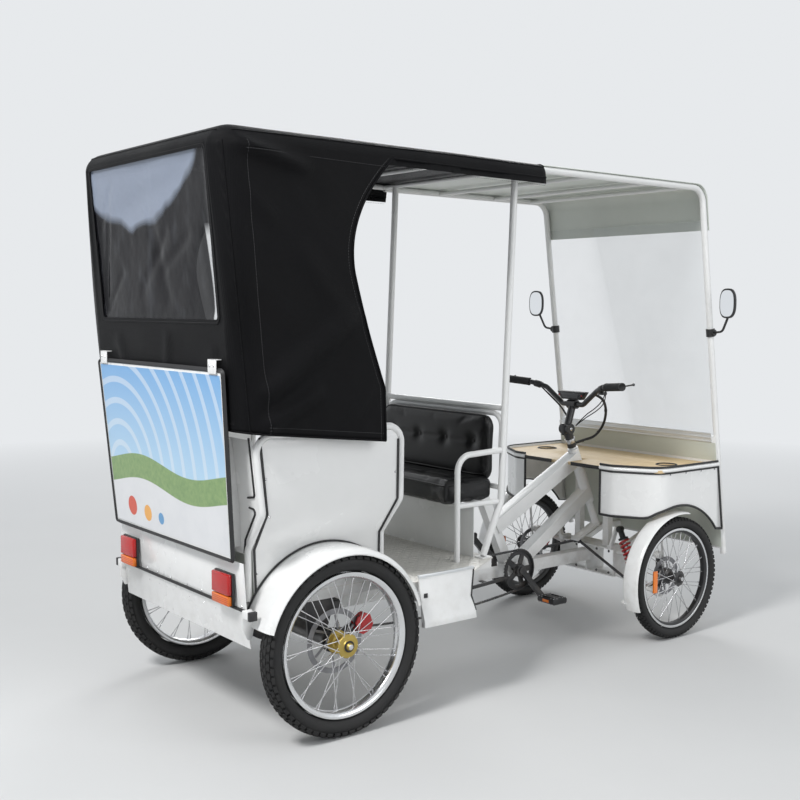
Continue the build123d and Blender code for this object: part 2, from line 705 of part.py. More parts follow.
def side_panel():
    """Left body side: upright above, drawn in over the wheel, upright again down to the floor."""
    foot = DECK_TOP_Z + SEAT_GAP
    slope = PANEL_THICKNESS * 0.55
    outline = [
        (PANEL_UPPER_Y, PANEL_TOP_Z), (PANEL_UPPER_Y, PANEL_KNEE_Z), (PANEL_LOWER_Y, PANEL_ANKLE_Z),
        (PANEL_LOWER_Y, foot), (PANEL_LOWER_Y - PANEL_THICKNESS, foot),
        (PANEL_LOWER_Y - PANEL_THICKNESS, PANEL_ANKLE_Z + slope),
        (PANEL_UPPER_Y - PANEL_THICKNESS, PANEL_KNEE_Z + slope),
        (PANEL_UPPER_Y - PANEL_THICKNESS, PANEL_TOP_Z),
    ]
    section = Plane(origin=(BODY_REAR_X - 10, 0, 0), x_dir=(0, 1, 0), z_dir=(1, 0, 0))
    sheet = extrude(section * make_face(Polyline(*outline, close=True)), BODY_FRONT_X - BODY_REAR_X + 20)
    heights = (PANEL_TOP_Z, PANEL_KNEE_Z, PANEL_ANKLE_Z, DECK_TOP_Z)
    rear = [(panel_edge_x(z, False), z) for z in heights]
    front = [(panel_edge_x(z, True), z) for z in heights]
    side_view = make_face(Polyline(*(rear + front[::-1]), close=True))
    corners = side_view.vertices().sort_by(Axis.Y)[-2:]
    side_view = fillet(corners, ARMREST_BEND - EDGE_OUT)
    return sheet & extrude(plane_y(PANEL_UPPER_Y + 20) * side_view, 140)


def side_frame():
    """Left edge tube of the body: up the rear edge, along the top as an armrest, down the front."""
    upper = PANEL_UPPER_Y - PANEL_THICKNESS / 2
    lower = PANEL_LOWER_Y - BODY_TUBE_RADIUS
    rear_foot_x = panel_edge_x(PANEL_ANKLE_Z, False) - EDGE_OUT
    front_foot_x = panel_edge_x(PANEL_ANKLE_Z, True) + EDGE_OUT
    foot = DECK_TOP_Z + SEAT_GAP
    top_rear_x = panel_edge_x(ARM_TUBE_Z, False) - EDGE_OUT
    top_front_x = panel_edge_x(ARM_TUBE_Z, True) + EDGE_OUT
    return bent_tube(
        [(rear_foot_x, lower, foot), (rear_foot_x, lower, PANEL_ANKLE_Z),
         (panel_edge_x(PANEL_KNEE_Z, False) - EDGE_OUT, upper, PANEL_KNEE_Z), (top_rear_x, upper, ARM_TUBE_Z),
         (top_front_x, upper, ARM_TUBE_Z), (panel_edge_x(PANEL_KNEE_Z, True) + EDGE_OUT, upper, PANEL_KNEE_Z),
         (front_foot_x, lower, PANEL_ANKLE_Z), (front_foot_x, lower, foot)],
        BODY_TUBE_RADIUS, [30, 30, ARMREST_BEND, ARMREST_BEND, 30, 30])


def rear_guard():
    """Left rear mudguard: half ring from the body side out over the tyre, its edge turned down."""
    z = REAR_TYRE_RADIUS
    inner, outer = REAR_GUARD_RADIUS, REAR_GUARD_RADIUS + GUARD_THICKNESS
    from_y, lip_y = PANEL_LOWER_Y + SEAT_GAP, REAR_GUARD_OUTER_Y - GUARD_THICKNESS
    body = ring_about_y(0, 0, z, [
        (from_y, inner), (lip_y, inner), (lip_y, inner - REAR_GUARD_LIP),
        (REAR_GUARD_OUTER_Y, inner - REAR_GUARD_LIP), (REAR_GUARD_OUTER_Y, outer), (from_y, outer)])
    keep = Polyline((0, z + 40), (-420, z + 128), (-420, 700), (420, 700), (420, z + 128), close=True)
    body &= extrude(plane_y(REAR_GUARD_OUTER_Y + 5) * make_face(keep), 260)
    body -= side_panel_clearance()
    return body


def side_panel_clearance():
    """Solid space of the left body side and all inboard of it, grown by the seat gap."""
    outline = [
        (0, PANEL_TOP_Z), (PANEL_UPPER_Y + SEAT_GAP, PANEL_TOP_Z), (PANEL_UPPER_Y + SEAT_GAP, PANEL_KNEE_Z),
        (PANEL_LOWER_Y + SEAT_GAP, PANEL_ANKLE_Z), (PANEL_LOWER_Y + SEAT_GAP, 300), (0, 300),
    ]
    section = Plane(origin=(-500, 0, 0), x_dir=(0, 1, 0), z_dir=(1, 0, 0))
    return extrude(section * make_face(Polyline(*outline, close=True)), 1000)


def skirt():
    """Left step skirt: upright panel whose lower edge flares out into a rolled lip."""
    top = DECK_TOP_Z + SKIRT_RISE
    rear_x, front_x = DECK_WING_REAR_X + SKIRT_REAR_INSET, DECK_WING_FRONT_X
    y, t = DECK_WING_Y + SEAT_GAP, SKIRT_THICKNESS
    section = Plane(origin=(rear_x, 0, 0), x_dir=(0, 1, 0), z_dir=(1, 0, 0))
    lip_y = y + t + SKIRT_FLARE
    outline = [
        (y, top), (y + t, top), (y + t, SKIRT_KNEE_Z), (lip_y, SKIRT_LIP_Z), (lip_y, SKIRT_LOW_Z),
        (y + t, SKIRT_LOW_Z), (y + t, SKIRT_LIP_Z - t), (y, SKIRT_KNEE_Z - t),
    ]
    sheet = extrude(section * make_face(Polyline(*outline, close=True)), front_x - rear_x)
    side_view = Polyline(
        (rear_x, top), (front_x - 2, top), (front_x - 12, SKIRT_KNEE_Z), (front_x, SKIRT_LOW_Z - 6),
        (rear_x + 12, SKIRT_LOW_Z - 6), (rear_x + 12, SKIRT_KNEE_Z), close=True)
    return sheet & extrude(plane_y(y + 2 * SKIRT_FLARE) * make_face(side_view), 4 * SKIRT_FLARE)


def slanted_sheet(line, thickness, half_width):
    """Sheet across the vehicle whose rear face follows a line of (x, z) points."""
    outline = list(line) + [(x + thickness, z) for x, z in reversed(line)]
    return extrude(plane_y(half_width) * make_face(Polyline(*outline, close=True)), 2 * half_width)


VALANCE_LINE = [(-330.0, 590.0), (-320.0, 446.0), (-316.0, 438.0), (-303.0, 321.0)]
VALANCE_HALF = 440.0
VALANCE_THICKNESS = 5.0


def valance_x(z):
    """X of the rear valance's outer face at height z, along its upper stretch."""
    (top_x, top_z), (low_x, low_z) = VALANCE_LINE[:2]
    return top_x + (low_x - top_x) * (top_z - z) / (top_z - low_z)


def rear_valance():
    """Lower rear panel between the mudguards, creased at mid height, on two brackets."""
    body = slanted_sheet(VALANCE_LINE, VALANCE_THICKNESS, VALANCE_HALF)
    crease_x = VALANCE_LINE[2][0]
    for side in (-1, 1):
        y = side * VALANCE_BRACKET_Y
        start, end = (crease_x + VALANCE_THICKNESS, y, RAIL_MID_Z), (DECK_REAR_X - SEAT_GAP, y, RAIL_MID_Z)
        body += bar_between(start, end, VALANCE_BRACKET_SIDE)
    return body


def rear_wall():
    """Inner rear wall of the body, between the rear edge tubes."""
    centre = BODY_TUBE_RADIUS + 2
    heights = (PANEL_TOP_Z - 4, PANEL_KNEE_Z, PANEL_ANKLE_Z, 600)
    line = [(panel_edge_x(z, False) - centre, z) for z in heights]
    sheet = slanted_sheet(line, WALL_THICKNESS, PANEL_UPPER_Y)
    room = BODY_TUBE_RADIUS + SEAT_GAP + 1
    upper = PANEL_UPPER_Y - PANEL_THICKNESS / 2 - room
    lower = PANEL_LOWER_Y - BODY_TUBE_RADIUS - room
    half = [(upper, PANEL_TOP_Z), (upper, PANEL_KNEE_Z + 6), (lower, PANEL_ANKLE_Z + 6), (lower, 590)]
    outline = half + [(-y, z) for y, z in reversed(half)]
    section = Plane(origin=(BODY_REAR_X - 80, 0, 0), x_dir=(0, 1, 0), z_dir=(1, 0, 0))
    return sheet & extrude(section * make_face(Polyline(*outline, close=True)), 200)


def board_x(z):
    """X of the rear board's outer face at height z."""
    return BOARD_LOW_X + (-REAR_OVERHANG - BOARD_LOW_X) * (z - BOARD_LOW_Z) / (BOARD_TOP_Z - BOARD_LOW_Z)


def rear_board():
    """Blank rear board, wider and further back at the top, on two upright ribs."""
    line = [(-REAR_OVERHANG, BOARD_TOP_Z), (BOARD_LOW_X, BOARD_LOW_Z)]
    body = slanted_sheet(line, BOARD_THICKNESS, BOARD_TOP_HALF)
    half = [(BOARD_TOP_HALF, BOARD_TOP_Z + 1), (BOARD_LOW_HALF, BOARD_LOW_Z - 1)]
    outline = half + [(-y, z) for y, z in reversed(half)]
    section = Plane(origin=(-REAR_OVERHANG - 20, 0, 0), x_dir=(0, 1, 0), z_dir=(1, 0, 0))
    body &= extrude(section * make_face(Polyline(*outline, close=True)), 120)
    wall = BODY_TUBE_RADIUS + 2 + SEAT_GAP
    heights = (PANEL_TOP_Z - 6, PANEL_KNEE_Z, PANEL_ANKLE_Z + 6)
    rib = [(board_x(z) + 1, z) for z in heights]
    rib += [(panel_edge_x(z, False) - wall, z) for z in reversed(heights)]
    face = make_face(Polyline(*rib, close=True))
    for side in (-1, 1):
        body += extrude(plane_y(side * RIB_Y + RIB_THICKNESS / 2) * face, RIB_THICKNESS)
    return body


# Canopy


def canopy_along(x):
    """Share of the canopy's length, 0 at the rear wall and 1 at the roof's front edge."""
    return (x - CANOPY_REAR_X) / (CANOPY_FRONT_X - CANOPY_REAR_X)


def canopy_section(x, inset):
    """Outline of the canopy across the vehicle at x, inset inwards by a thickness."""
    top_z = CANOPY_TOP_Z - CANOPY_FALL * canopy_along(x) - inset
    top_y = CANOPY_TOP_Y - CANOPY_TAPER * canopy_along(x) - inset
    low_z = CANOPY_HEM_Z - CANOPY_HEM_FALL - 80
    flare = (CANOPY_HEM_Y - CANOPY_TOP_Y) / (CANOPY_TOP_Z - CANOPY_HEM_Z)
    low_y = top_y + flare * (top_z - low_z)
    face = make_face(Polyline((low_y, low_z), (top_y, top_z), (-top_y, top_z), (-low_y, low_z), close=True))
    top_corners = face.vertices().sort_by(Axis.Y)[-2:]
    face = fillet(top_corners, CANOPY_EDGE_RADIUS - inset)
    return Plane(origin=(x, 0, 0), x_dir=(0, 1, 0), z_dir=(1, 0, 0)) * face


def canopy_cover():
    """Fabric canopy: roof, two sides cut back in a curve, rear wall with the window opening."""
    rear, front = CANOPY_REAR_X, CANOPY_FRONT_X
    outer = loft([canopy_section(rear, 0), canopy_section(front, 0)], ruled=True)
    thick = CANOPY_THICKNESS
    inner = loft([canopy_section(rear + thick, thick), canopy_section(front + 1, thick)], ruled=True)
    body = outer - inner
    wide = CANOPY_HEM_Y + 60
    hem_front_x = CANOPY_SIDE_X + 10
    low_z = CANOPY_HEM_Z - 200
    hem = Polyline(
        (rear - 5, CANOPY_HEM_Z), (hem_front_x, CANOPY_HEM_Z - CANOPY_HEM_FALL), (hem_front_x, low_z),
        (rear - 5, low_z), close=True)
    body -= extrude(plane_y(wide) * make_face(hem), 2 * wide)
    points = [(CANOPY_SIDE_X - back, CANOPY_TOP_Z - drop) for back, drop in CANOPY_EDGE]
    start, belly, waist, neck, top = points
    edge = Line((CANOPY_SIDE_X, low_z), start)
    edge += ThreePointArc(start, belly, waist)
    edge += ThreePointArc(waist, neck, top)
    edge += Polyline(top, (front + 5, top[1] - 12), (front + 5, low_z), (CANOPY_SIDE_X, low_z))
    body -= extrude(plane_y(wide) * make_face(edge), 2 * wide)
    window = RectangleRounded(WINDOW_WIDTH, WINDOW_TOP_Z - WINDOW_BOTTOM_Z, WINDOW_CORNER)
    window_z = (WINDOW_BOTTOM_Z + WINDOW_TOP_Z) / 2
    place = Plane(origin=(rear - 5, 0, window_z), x_dir=(0, 1, 0), z_dir=(1, 0, 0))
    return body - extrude(place * window, 20)


def rear_window():
    """Clear sheet behind the opening in the canopy's rear wall."""
    width, height = WINDOW_WIDTH + 2 * WINDOW_LAP, WINDOW_TOP_Z - WINDOW_BOTTOM_Z + 2 * WINDOW_LAP
    x = CANOPY_REAR_X + CANOPY_THICKNESS + SEAT_GAP
    window_z = (WINDOW_BOTTOM_Z + WINDOW_TOP_Z) / 2
    place = Plane(origin=(x, 0, window_z), x_dir=(0, 1, 0), z_dir=(1, 0, 0))
    sheet = RectangleRounded(width, height, WINDOW_CORNER + WINDOW_LAP / 2)
    return extrude(place * sheet, WINDOW_THICKNESS)


def roof_height(x):
    """Height of the underside of the canopy roof at x."""
    return CANOPY_TOP_Z - CANOPY_FALL * canopy_along(x) - CANOPY_THICKNESS


def canopy_frame():
    """Rear uprights from the armrest tubes, roof rails, roof bars and the two front posts."""
    r = CANOPY_RAIL_RADIUS
    rear_x = CANOPY_REAR_X + CANOPY_THICKNESS + r + 4
    drop = r + SEAT_GAP
    foot_x = panel_edge_x(ARM_TUBE_Z, False) - EDGE_OUT + ARMREST_BEND + 10
    foot_y = PANEL_UPPER_Y - PANEL_THICKNESS / 2
    body = None
    for side in (-1, 1):
        rail = bent_tube(
            [(foot_x, side * foot_y, ARM_TUBE_Z + BODY_TUBE_RADIUS + SEAT_GAP),
             (foot_x, side * foot_y, ARM_TUBE_Z + 70),
             (rear_x, side * CANOPY_RAIL_Y, ARM_TUBE_Z + 200),
             (rear_x, side * CANOPY_RAIL_Y, roof_height(rear_x) - drop),
             (POST_TOP_X, side * CANOPY_RAIL_Y, roof_height(POST_TOP_X) - drop)], r, [60, 60, 50])
        body = rail if body is None else body + rail
    for x in (rear_x + 60, 0, 290, 580, POST_TOP_X):
        z = roof_height(x) - drop - 1
        body += tube_between((x, -CANOPY_RAIL_Y, z), (x, CANOPY_RAIL_Y, z), r - 2)
    for side in (-1, 1):
        top_z = roof_height(POST_TOP_X) - drop - 2
        y, floor_z = side * POST_Y, DECK_TOP_Z + SEAT_GAP
        foot, knee = (BENCH_FOOT_X, y, floor_z + 6), (post_x(BENCH_SEAT_Z), y, BENCH_SEAT_Z)
        body += bent_tube([foot, knee, (POST_TOP_X, y, top_z)], POST_RADIUS, [60])
        socket_top = (BENCH_FOOT_X, y, floor_z + POST_RADIUS)
        body += tube_between((BENCH_FOOT_X, y, floor_z), socket_top, POST_RADIUS + 1)
    return body


def post_x(z):
    """X of the canopy's front posts at height z, above the bench seat."""
    top_z = roof_height(POST_TOP_X)
    return BENCH_BACK_X + (POST_TOP_X - BENCH_BACK_X) * (z - BENCH_SEAT_Z) / (top_z - BENCH_SEAT_Z)


# Rider's hoop


def hoop_x(z):
    """X of the hoop's post centre line at height z."""
    lean = math.radians(HOOP_LEAN)
    return WHEELBASE + FRONT_OVERHANG - HOOP_RADIUS / math.cos(lean) - (z - HOOP_FOOT_Z) * math.tan(lean)


def rail_z(x):
    """Height of the hoop's roof rail centre line at x."""
    rear_x = POST_TOP_X + CANOPY_RAIL_RADIUS + SEAT_GAP
    rear_z = roof_height(POST_TOP_X) - HOOP_RADIUS - SEAT_GAP - 2
    front_x = hoop_x(HOOP_TOP_Z)
    return rear_z + (HOOP_TOP_Z - rear_z) * (x - rear_x) / (front_x - rear_x)


def rider_hoop():
    """Two leaning posts that bend back into roof rails, with cross tubes."""
    rear_x = POST_TOP_X + CANOPY_RAIL_RADIUS + SEAT_GAP
    body = None
    for side in (-1, 1):
        y = side * HOOP_Y
        post = bent_tube(
            [(hoop_x(HOOP_FOOT_Z - 20), y, HOOP_FOOT_Z - 20), (hoop_x(HOOP_TOP_Z), y, HOOP_TOP_Z),
             (rear_x, y, rail_z(rear_x))], HOOP_RADIUS, [HOOP_BEND])
        body = post if body is None else body + post
    body -= Pos(WHEELBASE + FRONT_OVERHANG - 100, 0, HOOP_FOOT_Z - 50) * Box(300, 1000, 100)
    for z in (HOOP_FOOT_Z + 16, SCREEN_BOTTOM_Z - 20):
        body += tube_between((hoop_x(z) + 1, -HOOP_Y, z), (hoop_x(z) + 1, HOOP_Y, z), HOOP_BAR_RADIUS)
    for x in (rear_x + 300, FAIRING_REAR_X, hoop_x(HOOP_TOP_Z) - HOOP_BEND - 30):
        z = rail_z(x) - 3
        body += tube_between((x, -HOOP_Y, z), (x, HOOP_Y, z), HOOP_BAR_RADIUS)
    return body


def rider_roof():
    """Thin roof sheet over the rails, turned down in front as a valance."""
    lift = HOOP_RADIUS + SEAT_GAP
    half = HOOP_Y + HOOP_RADIUS
    lean = math.radians(HOOP_LEAN)
    out = lift / math.cos(lean)
    rear_x = CANOPY_FRONT_X + 2

    def line(gap):
        z = gap - lift
        return [(rear_x, rail_z(rear_x) + gap), (hoop_x(HOOP_TOP_Z) + out + z, HOOP_TOP_Z + gap),
                (hoop_x(VALANCE_BOTTOM_Z) + out + z, VALANCE_BOTTOM_Z)]

    low, high = line(lift), line(lift + SHEET_THICKNESS)
    face = make_face(Polyline(*(low + high[::-1]), close=True))
    bends = [v for v in face.vertices() if v.Y > HOOP_TOP_Z - 20 and v.X > CANOPY_FRONT_X + 100]
    inner, outer = sorted(bends, key=lambda v: v.X)
    face = fillet(inner, HOOP_BEND - ROOF_BEND_EASE + lift)
    outer = face.vertices().sort_by_distance(outer.center())[0]
    face = fillet(outer, HOOP_BEND - ROOF_BEND_EASE + lift + SHEET_THICKNESS)
    return extrude(plane_y(half) * face, 2 * half)


def screen():
    """Clear screen sheet between the posts, from the valance down to the front panel."""
    lean = math.radians(HOOP_LEAN)
    half = HOOP_Y - HOOP_RADIUS - SEAT_GAP
    a = Vector(hoop_x(SCREEN_BOTTOM_Z + 6), 0, SCREEN_BOTTOM_Z + 6)
    b = Vector(hoop_x(VALANCE_BOTTOM_Z + SCREEN_LAP), 0, VALANCE_BOTTOM_Z + SCREEN_LAP)
    mid = (a + b) / 2
    place = Plane(origin=mid, x_dir=(0, 1, 0), z_dir=(math.cos(lean), 0, math.sin(lean)))
    return extrude(place * Rectangle(2 * half, (b - a).length), SCREEN_THICKNESS / 2, both=True)


# Front fairing


def fairing_plan(front_x, inset):
    """Plan of the fairing, set in by a thickness: straight rear, cut corners, straight sides."""
    rear_corner = (FAIRING_REAR_X, FAIRING_INNER_Y + FAIRING_REAR_WIDTH)
    half = [rear_corner, (FAIRING_CORNER_X, FAIRING_Y), (front_x + inset, FAIRING_Y)]
    points = half + [(x, -y) for x, y in reversed(half)]
    face = make_face(Polyline(*points, close=True))
    if inset:
        face = offset(face, amount=-inset, kind=Kind.INTERSECTION)
    return face


def shelf():
    """Plywood shelf with two cup holes and a notch for the head tube."""
    front = hoop_x(SHELF_TOP_Z) - HOOP_RADIUS - 6
    face = fairing_plan(front, FAIRING_THICKNESS + SEAT_GAP)
    body = extrude(Plane.XY.offset(SHELF_TOP_Z - SHELF_THICKNESS) * face, SHELF_THICKNESS)
    for side in (-1, 1):
        body -= Pos(CUP_HOLE_X, side * CUP_HOLE_Y, SHELF_TOP_Z) * Cylinder(CUP_HOLE_RADIUS, 60)
    notch = Pos(FAIRING_REAR_X + 60, 0, SHELF_TOP_Z) * Box(160, 2 * HEAD_RADIUS + 24, 60)
    return body - notch


def fairing_side():
    """Left wing of the fairing: rear face, cut corner and side, with the wheel arch cut out."""
    front = hoop_x(HOOP_FOOT_Z)
    ring = fairing_plan(front, 0) - fairing_plan(front, FAIRING_THICKNESS)
    low, top = HOOP_FOOT_Z + 8, SHELF_TOP_Z + 10
    body = extrude(Plane.XY.offset(low) * ring, top - low)
    edge_low, edge_top = hoop_x(low) - 16, hoop_x(top) - 16
    side_view = Polyline(
        (FAIRING_REAR_X - 5, top), (edge_top, top), (edge_low, low), (WHEELBASE + 180, low),
        (WHEELBASE + 100, FAIRING_BOTTOM_Z), (FAIRING_REAR_X - 5, FAIRING_BOTTOM_Z), close=True)
    body &= extrude(plane_y(FAIRING_Y + 20) * make_face(side_view), FAIRING_Y + 20 - FAIRING_INNER_Y)
    body -= y_cylinder(WHEELBASE, FRONT_TYRE_RADIUS, ARCH_RADIUS, FAIRING_INNER_Y - 40, FAIRING_Y + 40)
    return body


def front_panel():
    """Flat panel across the front, below the screen, on the rear of the hoop's posts."""
    half = FAIRING_Y - FAIRING_THICKNESS - SEAT_GAP
    lean = math.radians(HOOP_LEAN)
    back = (HOOP_RADIUS + SEAT_GAP) / math.cos(lean)
    low, high = HOOP_FOOT_Z + 2, SCREEN_BOTTOM_Z
    outline = Polyline(
        (hoop_x(low) - back, low), (hoop_x(high) - back, high), (hoop_x(high) - back - 3, high),
        (hoop_x(low) - back - 3, low), close=True)
    return extrude(plane_y(half) * make_face(outline), 2 * half)


def front_subframe():
    """Open box between the wishbones, uprights to the shelf, arms forward to the hoop's foot."""
    z_mid = (AXLE_BOX_BOTTOM_Z + AXLE_BOX_TOP_Z) / 2
    height = AXLE_BOX_TOP_Z - AXLE_BOX_BOTTOM_Z
    wall, bearer = AXLE_BOX_WALL, BEARER_SIDE
    body = Pos(WHEELBASE, 0, z_mid) * Box(AXLE_BOX_LENGTH, AXLE_BOX_WIDTH, height)
    room = Box(AXLE_BOX_LENGTH + 2, AXLE_BOX_WIDTH - 2 * wall, height - 2 * wall)
    body -= Pos(WHEELBASE, 0, z_mid) * room
    body += Pos(WHEELBASE, 0, z_mid) * Box(AXLE_BOX_LENGTH, wall, height)
    shelf_low = SHELF_TOP_Z - SHELF_THICKNESS - SEAT_GAP
    for side in (-1, 1):
        y = side * UPRIGHT_Y
        low, high = (UPRIGHT_X, y, AXLE_BOX_TOP_Z - 3), (UPRIGHT_X, y, shelf_low - bearer + 1)
        body += bar_between(low, high, UPRIGHT_SIDE, up=(1, 0, 0))
        arm_y, arm_z = side * FOOT_ARM_Y, HOOP_FOOT_Z + UPRIGHT_SIDE
        start = (BOX_FRONT_X - 4, arm_y, AXLE_BOX_TOP_Z - FOOT_ARM_SIDE / 2 - 2)
        knee_x = WHEELBASE + FOOT_ARM_KNEE
        end_x = hoop_x(arm_z) - HOOP_RADIUS - 3 - 2 * SEAT_GAP - 2
        body += bar_between(start, (knee_x, arm_y, arm_z), FOOT_ARM_SIDE)
        body += bar_between((knee_x - 10, arm_y, arm_z), (end_x, arm_y, arm_z), FOOT_ARM_SIDE)
        tower_y = side * (AXLE_BOX_WIDTH / 2 - 15)
        lug_z = AXLE_BOX_TOP_Z + 8
        lug_end = (SHOCK_X - TOWER_WIDTH / 2, tower_y, lug_z)
        body += bar_between((UPRIGHT_X, tower_y, lug_z), lug_end, FOOT_ARM_SIDE, 18)
        to_eye = Vector(0, SHOCK_HIGH[0] - abs(tower_y), SHOCK_HIGH[1] - lug_z)
        stand_off = SHOCK_EYE_RADIUS + SEAT_GAP + TOWER_THICKNESS / 2
        lean = math.atan2(to_eye.Y, to_eye.Z) - math.asin(stand_off / to_eye.length)
        rise, shift = to_eye.length * math.cos(lean), to_eye.length * math.sin(lean)
        top = (SHOCK_X, side * (abs(tower_y) + shift), lug_z + rise)
        body += bar_between((SHOCK_X, tower_y, lug_z), top, TOWER_THICKNESS, TOWER_WIDTH, up=(1, 0, 0))
    reach = FAIRING_Y - FAIRING_THICKNESS - 2 * SEAT_GAP
    z = shelf_low - bearer / 2
    body += bar_between((UPRIGHT_X, -reach, z), (UPRIGHT_X, reach, z), bearer)
    return body


def wishbones():
    """Upper and lower wishbones on the left, with the eyes that hold the knuckle."""
    eye = KINGPIN_RADIUS + 6
    drop = 12.0
    table = [
        # root height, eye height, half spread at the root
        (AXLE_BOX_BOTTOM_Z + 14, KINGPIN_BOTTOM_Z - drop, 42),
        (AXLE_BOX_TOP_Z - 16, KINGPIN_TOP_Z + drop, 38),
    ]
    arms = []
    for root_z, eye_z, spread in table:
        arm = Pos(WHEELBASE, KINGPIN_Y, eye_z) * Cylinder(eye, 2 * (drop - SEAT_GAP))
        for end in (-1, 1):
            root = (WHEELBASE + end * spread, AXLE_BOX_WIDTH / 2 + 3, root_z)
            arm += tube_between(root, (WHEELBASE + end * 4, KINGPIN_Y - 8, eye_z), WISHBONE_RADIUS)
        arms.append(arm)
    low_y, low_z = SHOCK_LOW
    seat_z = low_z - SHOCK_EYE_RADIUS - SEAT_GAP - SHOCK_SEAT_THICKNESS / 2
    start, end = (WHEELBASE - 8, low_y, seat_z), (SHOCK_X - SHOCK_EYE_RADIUS, low_y, seat_z)
    arms[0] += bar_between(start, end, BEARER_SIDE, SHOCK_SEAT_THICKNESS)
    foot_x = WHEELBASE - 16
    arms[0] += bar_between((foot_x, low_y, KINGPIN_BOTTOM_Z), (foot_x, low_y, seat_z), 16, up=(1, 0, 0))
    return arms


def shock():
    """Left coil-over: body, spring with its turns as rings, and the two end eyes."""
    low = Vector(SHOCK_X, *SHOCK_LOW)
    high = Vector(SHOCK_X, *SHOCK_HIGH)
    run = high - low
    along = run.normalized()
    seat, valley = SHOCK_SEAT_START, SPRING_RADIUS - 7
    profile = [(9, 0), (9, 12), (seat - 6, 12), (seat - 6, 20), (seat, 20)]
    for turn in range(SPRING_TURNS):
        start = seat + SPRING_PITCH * turn
        profile += [(start + SPRING_PITCH / 2, SPRING_RADIUS), (start + SPRING_PITCH, valley)]
    profile += [(profile[-1][0] + 4, 9), (run.length - 9, 9), (run.length - 9, 0)]
    place = Plane(origin=low, x_dir=along, z_dir=(1, 0, 0))
    outline = place * make_face(Polyline(*profile, close=True))
    body = revolve(outline, axis=Axis(low, along))
    for point in (low, high):
        body += rod_between(point - Vector(12, 0, 0), point + Vector(12, 0, 0), SHOCK_EYE_RADIUS)
    return body


def knuckle():
    """Left knuckle: kingpin barrel, stub axle and track arm."""
    z = FRONT_TYRE_RADIUS
    body = Pos(WHEELBASE, KINGPIN_Y, (KINGPIN_TOP_Z + KINGPIN_BOTTOM_Z) / 2) * Cylinder(
        KINGPIN_RADIUS, KINGPIN_TOP_Z - KINGPIN_BOTTOM_Z)
    hub_outer = FRONT_TRACK / 2 + FRONT_HUB_WIDTH / 2 - 6
    body += y_cylinder(WHEELBASE, z, AXLE_STUB_RADIUS, KINGPIN_Y, hub_outer)
    inner_face = FRONT_TRACK / 2 - FRONT_HUB_WIDTH / 2 - DISC_INSET - 4 - RUNNING_GAP
    body += y_cylinder(WHEELBASE, z, KNUCKLE_BOSS_RADIUS, KINGPIN_Y, inner_face)
    arm_end = (WHEELBASE - TRACK_ARM_LENGTH - 12, KINGPIN_Y, TRACK_ARM_Z)
    arm_root = (WHEELBASE, KINGPIN_Y, TRACK_ARM_Z)
    return body + bar_between(arm_root, arm_end, TRACK_ARM_WIDTH, TRACK_ARM_THICKNESS)


def front_guard():
    """Left front mudguard, carried by stays from the knuckle."""
    x, z, y = WHEELBASE, FRONT_TYRE_RADIUS, FRONT_TRACK / 2
    half = FRONT_GUARD_WIDTH / 2
    inner, outer = FRONT_GUARD_RADIUS, FRONT_GUARD_RADIUS + GUARD_THICKNESS
    body = ring_about_y(x, y, z, [(-half, inner), (half, inner), (half, outer), (-half, outer)])
    reach = FRONT_GUARD_RADIUS + 124
    start, end = [math.radians(angle) for angle in GUARD_ANGLES]
    keep = Polyline(
        (x, z), (x + reach * math.cos(start), z + reach * math.sin(start)), (x - reach, z + reach),
        (x + reach * math.cos(end), z + reach * math.sin(end)), close=True)
    body &= extrude(plane_y(y + half + 5) * make_face(keep), FRONT_GUARD_WIDTH + 10)
    for angle in map(math.radians, GUARD_STAY_ANGLES):
        cos, sin = math.cos(angle), math.sin(angle)
        root = GUARD_RING_RADIUS - 5
        foot = (x + root * cos, GUARD_STAY_Y, z + root * sin)
        rim = (x + outer * cos, GUARD_STAY_Y, z + outer * sin)
        body += bar_between(foot, rim, GUARD_THICKNESS, GUARD_STAY_WIDTH, up=(sin, 0, -cos))
        tab_r = (inner + outer) / 2
        tab_x, tab_z = x + tab_r * cos, z + tab_r * sin
        near, far = (tab_x, GUARD_STAY_Y - GUARD_THICKNESS / 2, tab_z), (tab_x, y - half + 2, tab_z)
        body += bar_between(near, far, GUARD_STAY_WIDTH, GUARD_THICKNESS - 0.2, up=(cos, 0, sin))
    ring_y = (GUARD_STAY_Y - 5 * GUARD_THICKNESS / 2, GUARD_STAY_Y + GUARD_THICKNESS / 2)
    body += y_cylinder(x, z, GUARD_RING_RADIUS, *ring_y)
    return body - y_cylinder(x, z, KNUCKLE_BOSS_RADIUS + SEAT_GAP, GUARD_STAY_Y - 20, GUARD_STAY_Y + 20)


# Steering


STEERING_UP = (-math.sin(math.radians(HEAD_ANGLE)), 0, math.cos(math.radians(HEAD_ANGLE)))


def steering_column():
    """Column through the head tube, with the drop arm at its foot."""
    end = HEAD_LENGTH + COLUMN_LENGTH
    body = rod_between(along_head(-STEM_GAP), along_head(end), COLUMN_RADIUS)
    arm_at = end - DROP_ARM_INSET
    tip = along_head(arm_at, -PITMAN_LENGTH - DROP_ARM_INSET)
    width = 2 * (PITMAN_SPREAD + PITMAN_EDGE)
    return body + bar_between(along_head(arm_at), tip, width, DROP_ARM_THICKNESS, up=STEERING_UP)


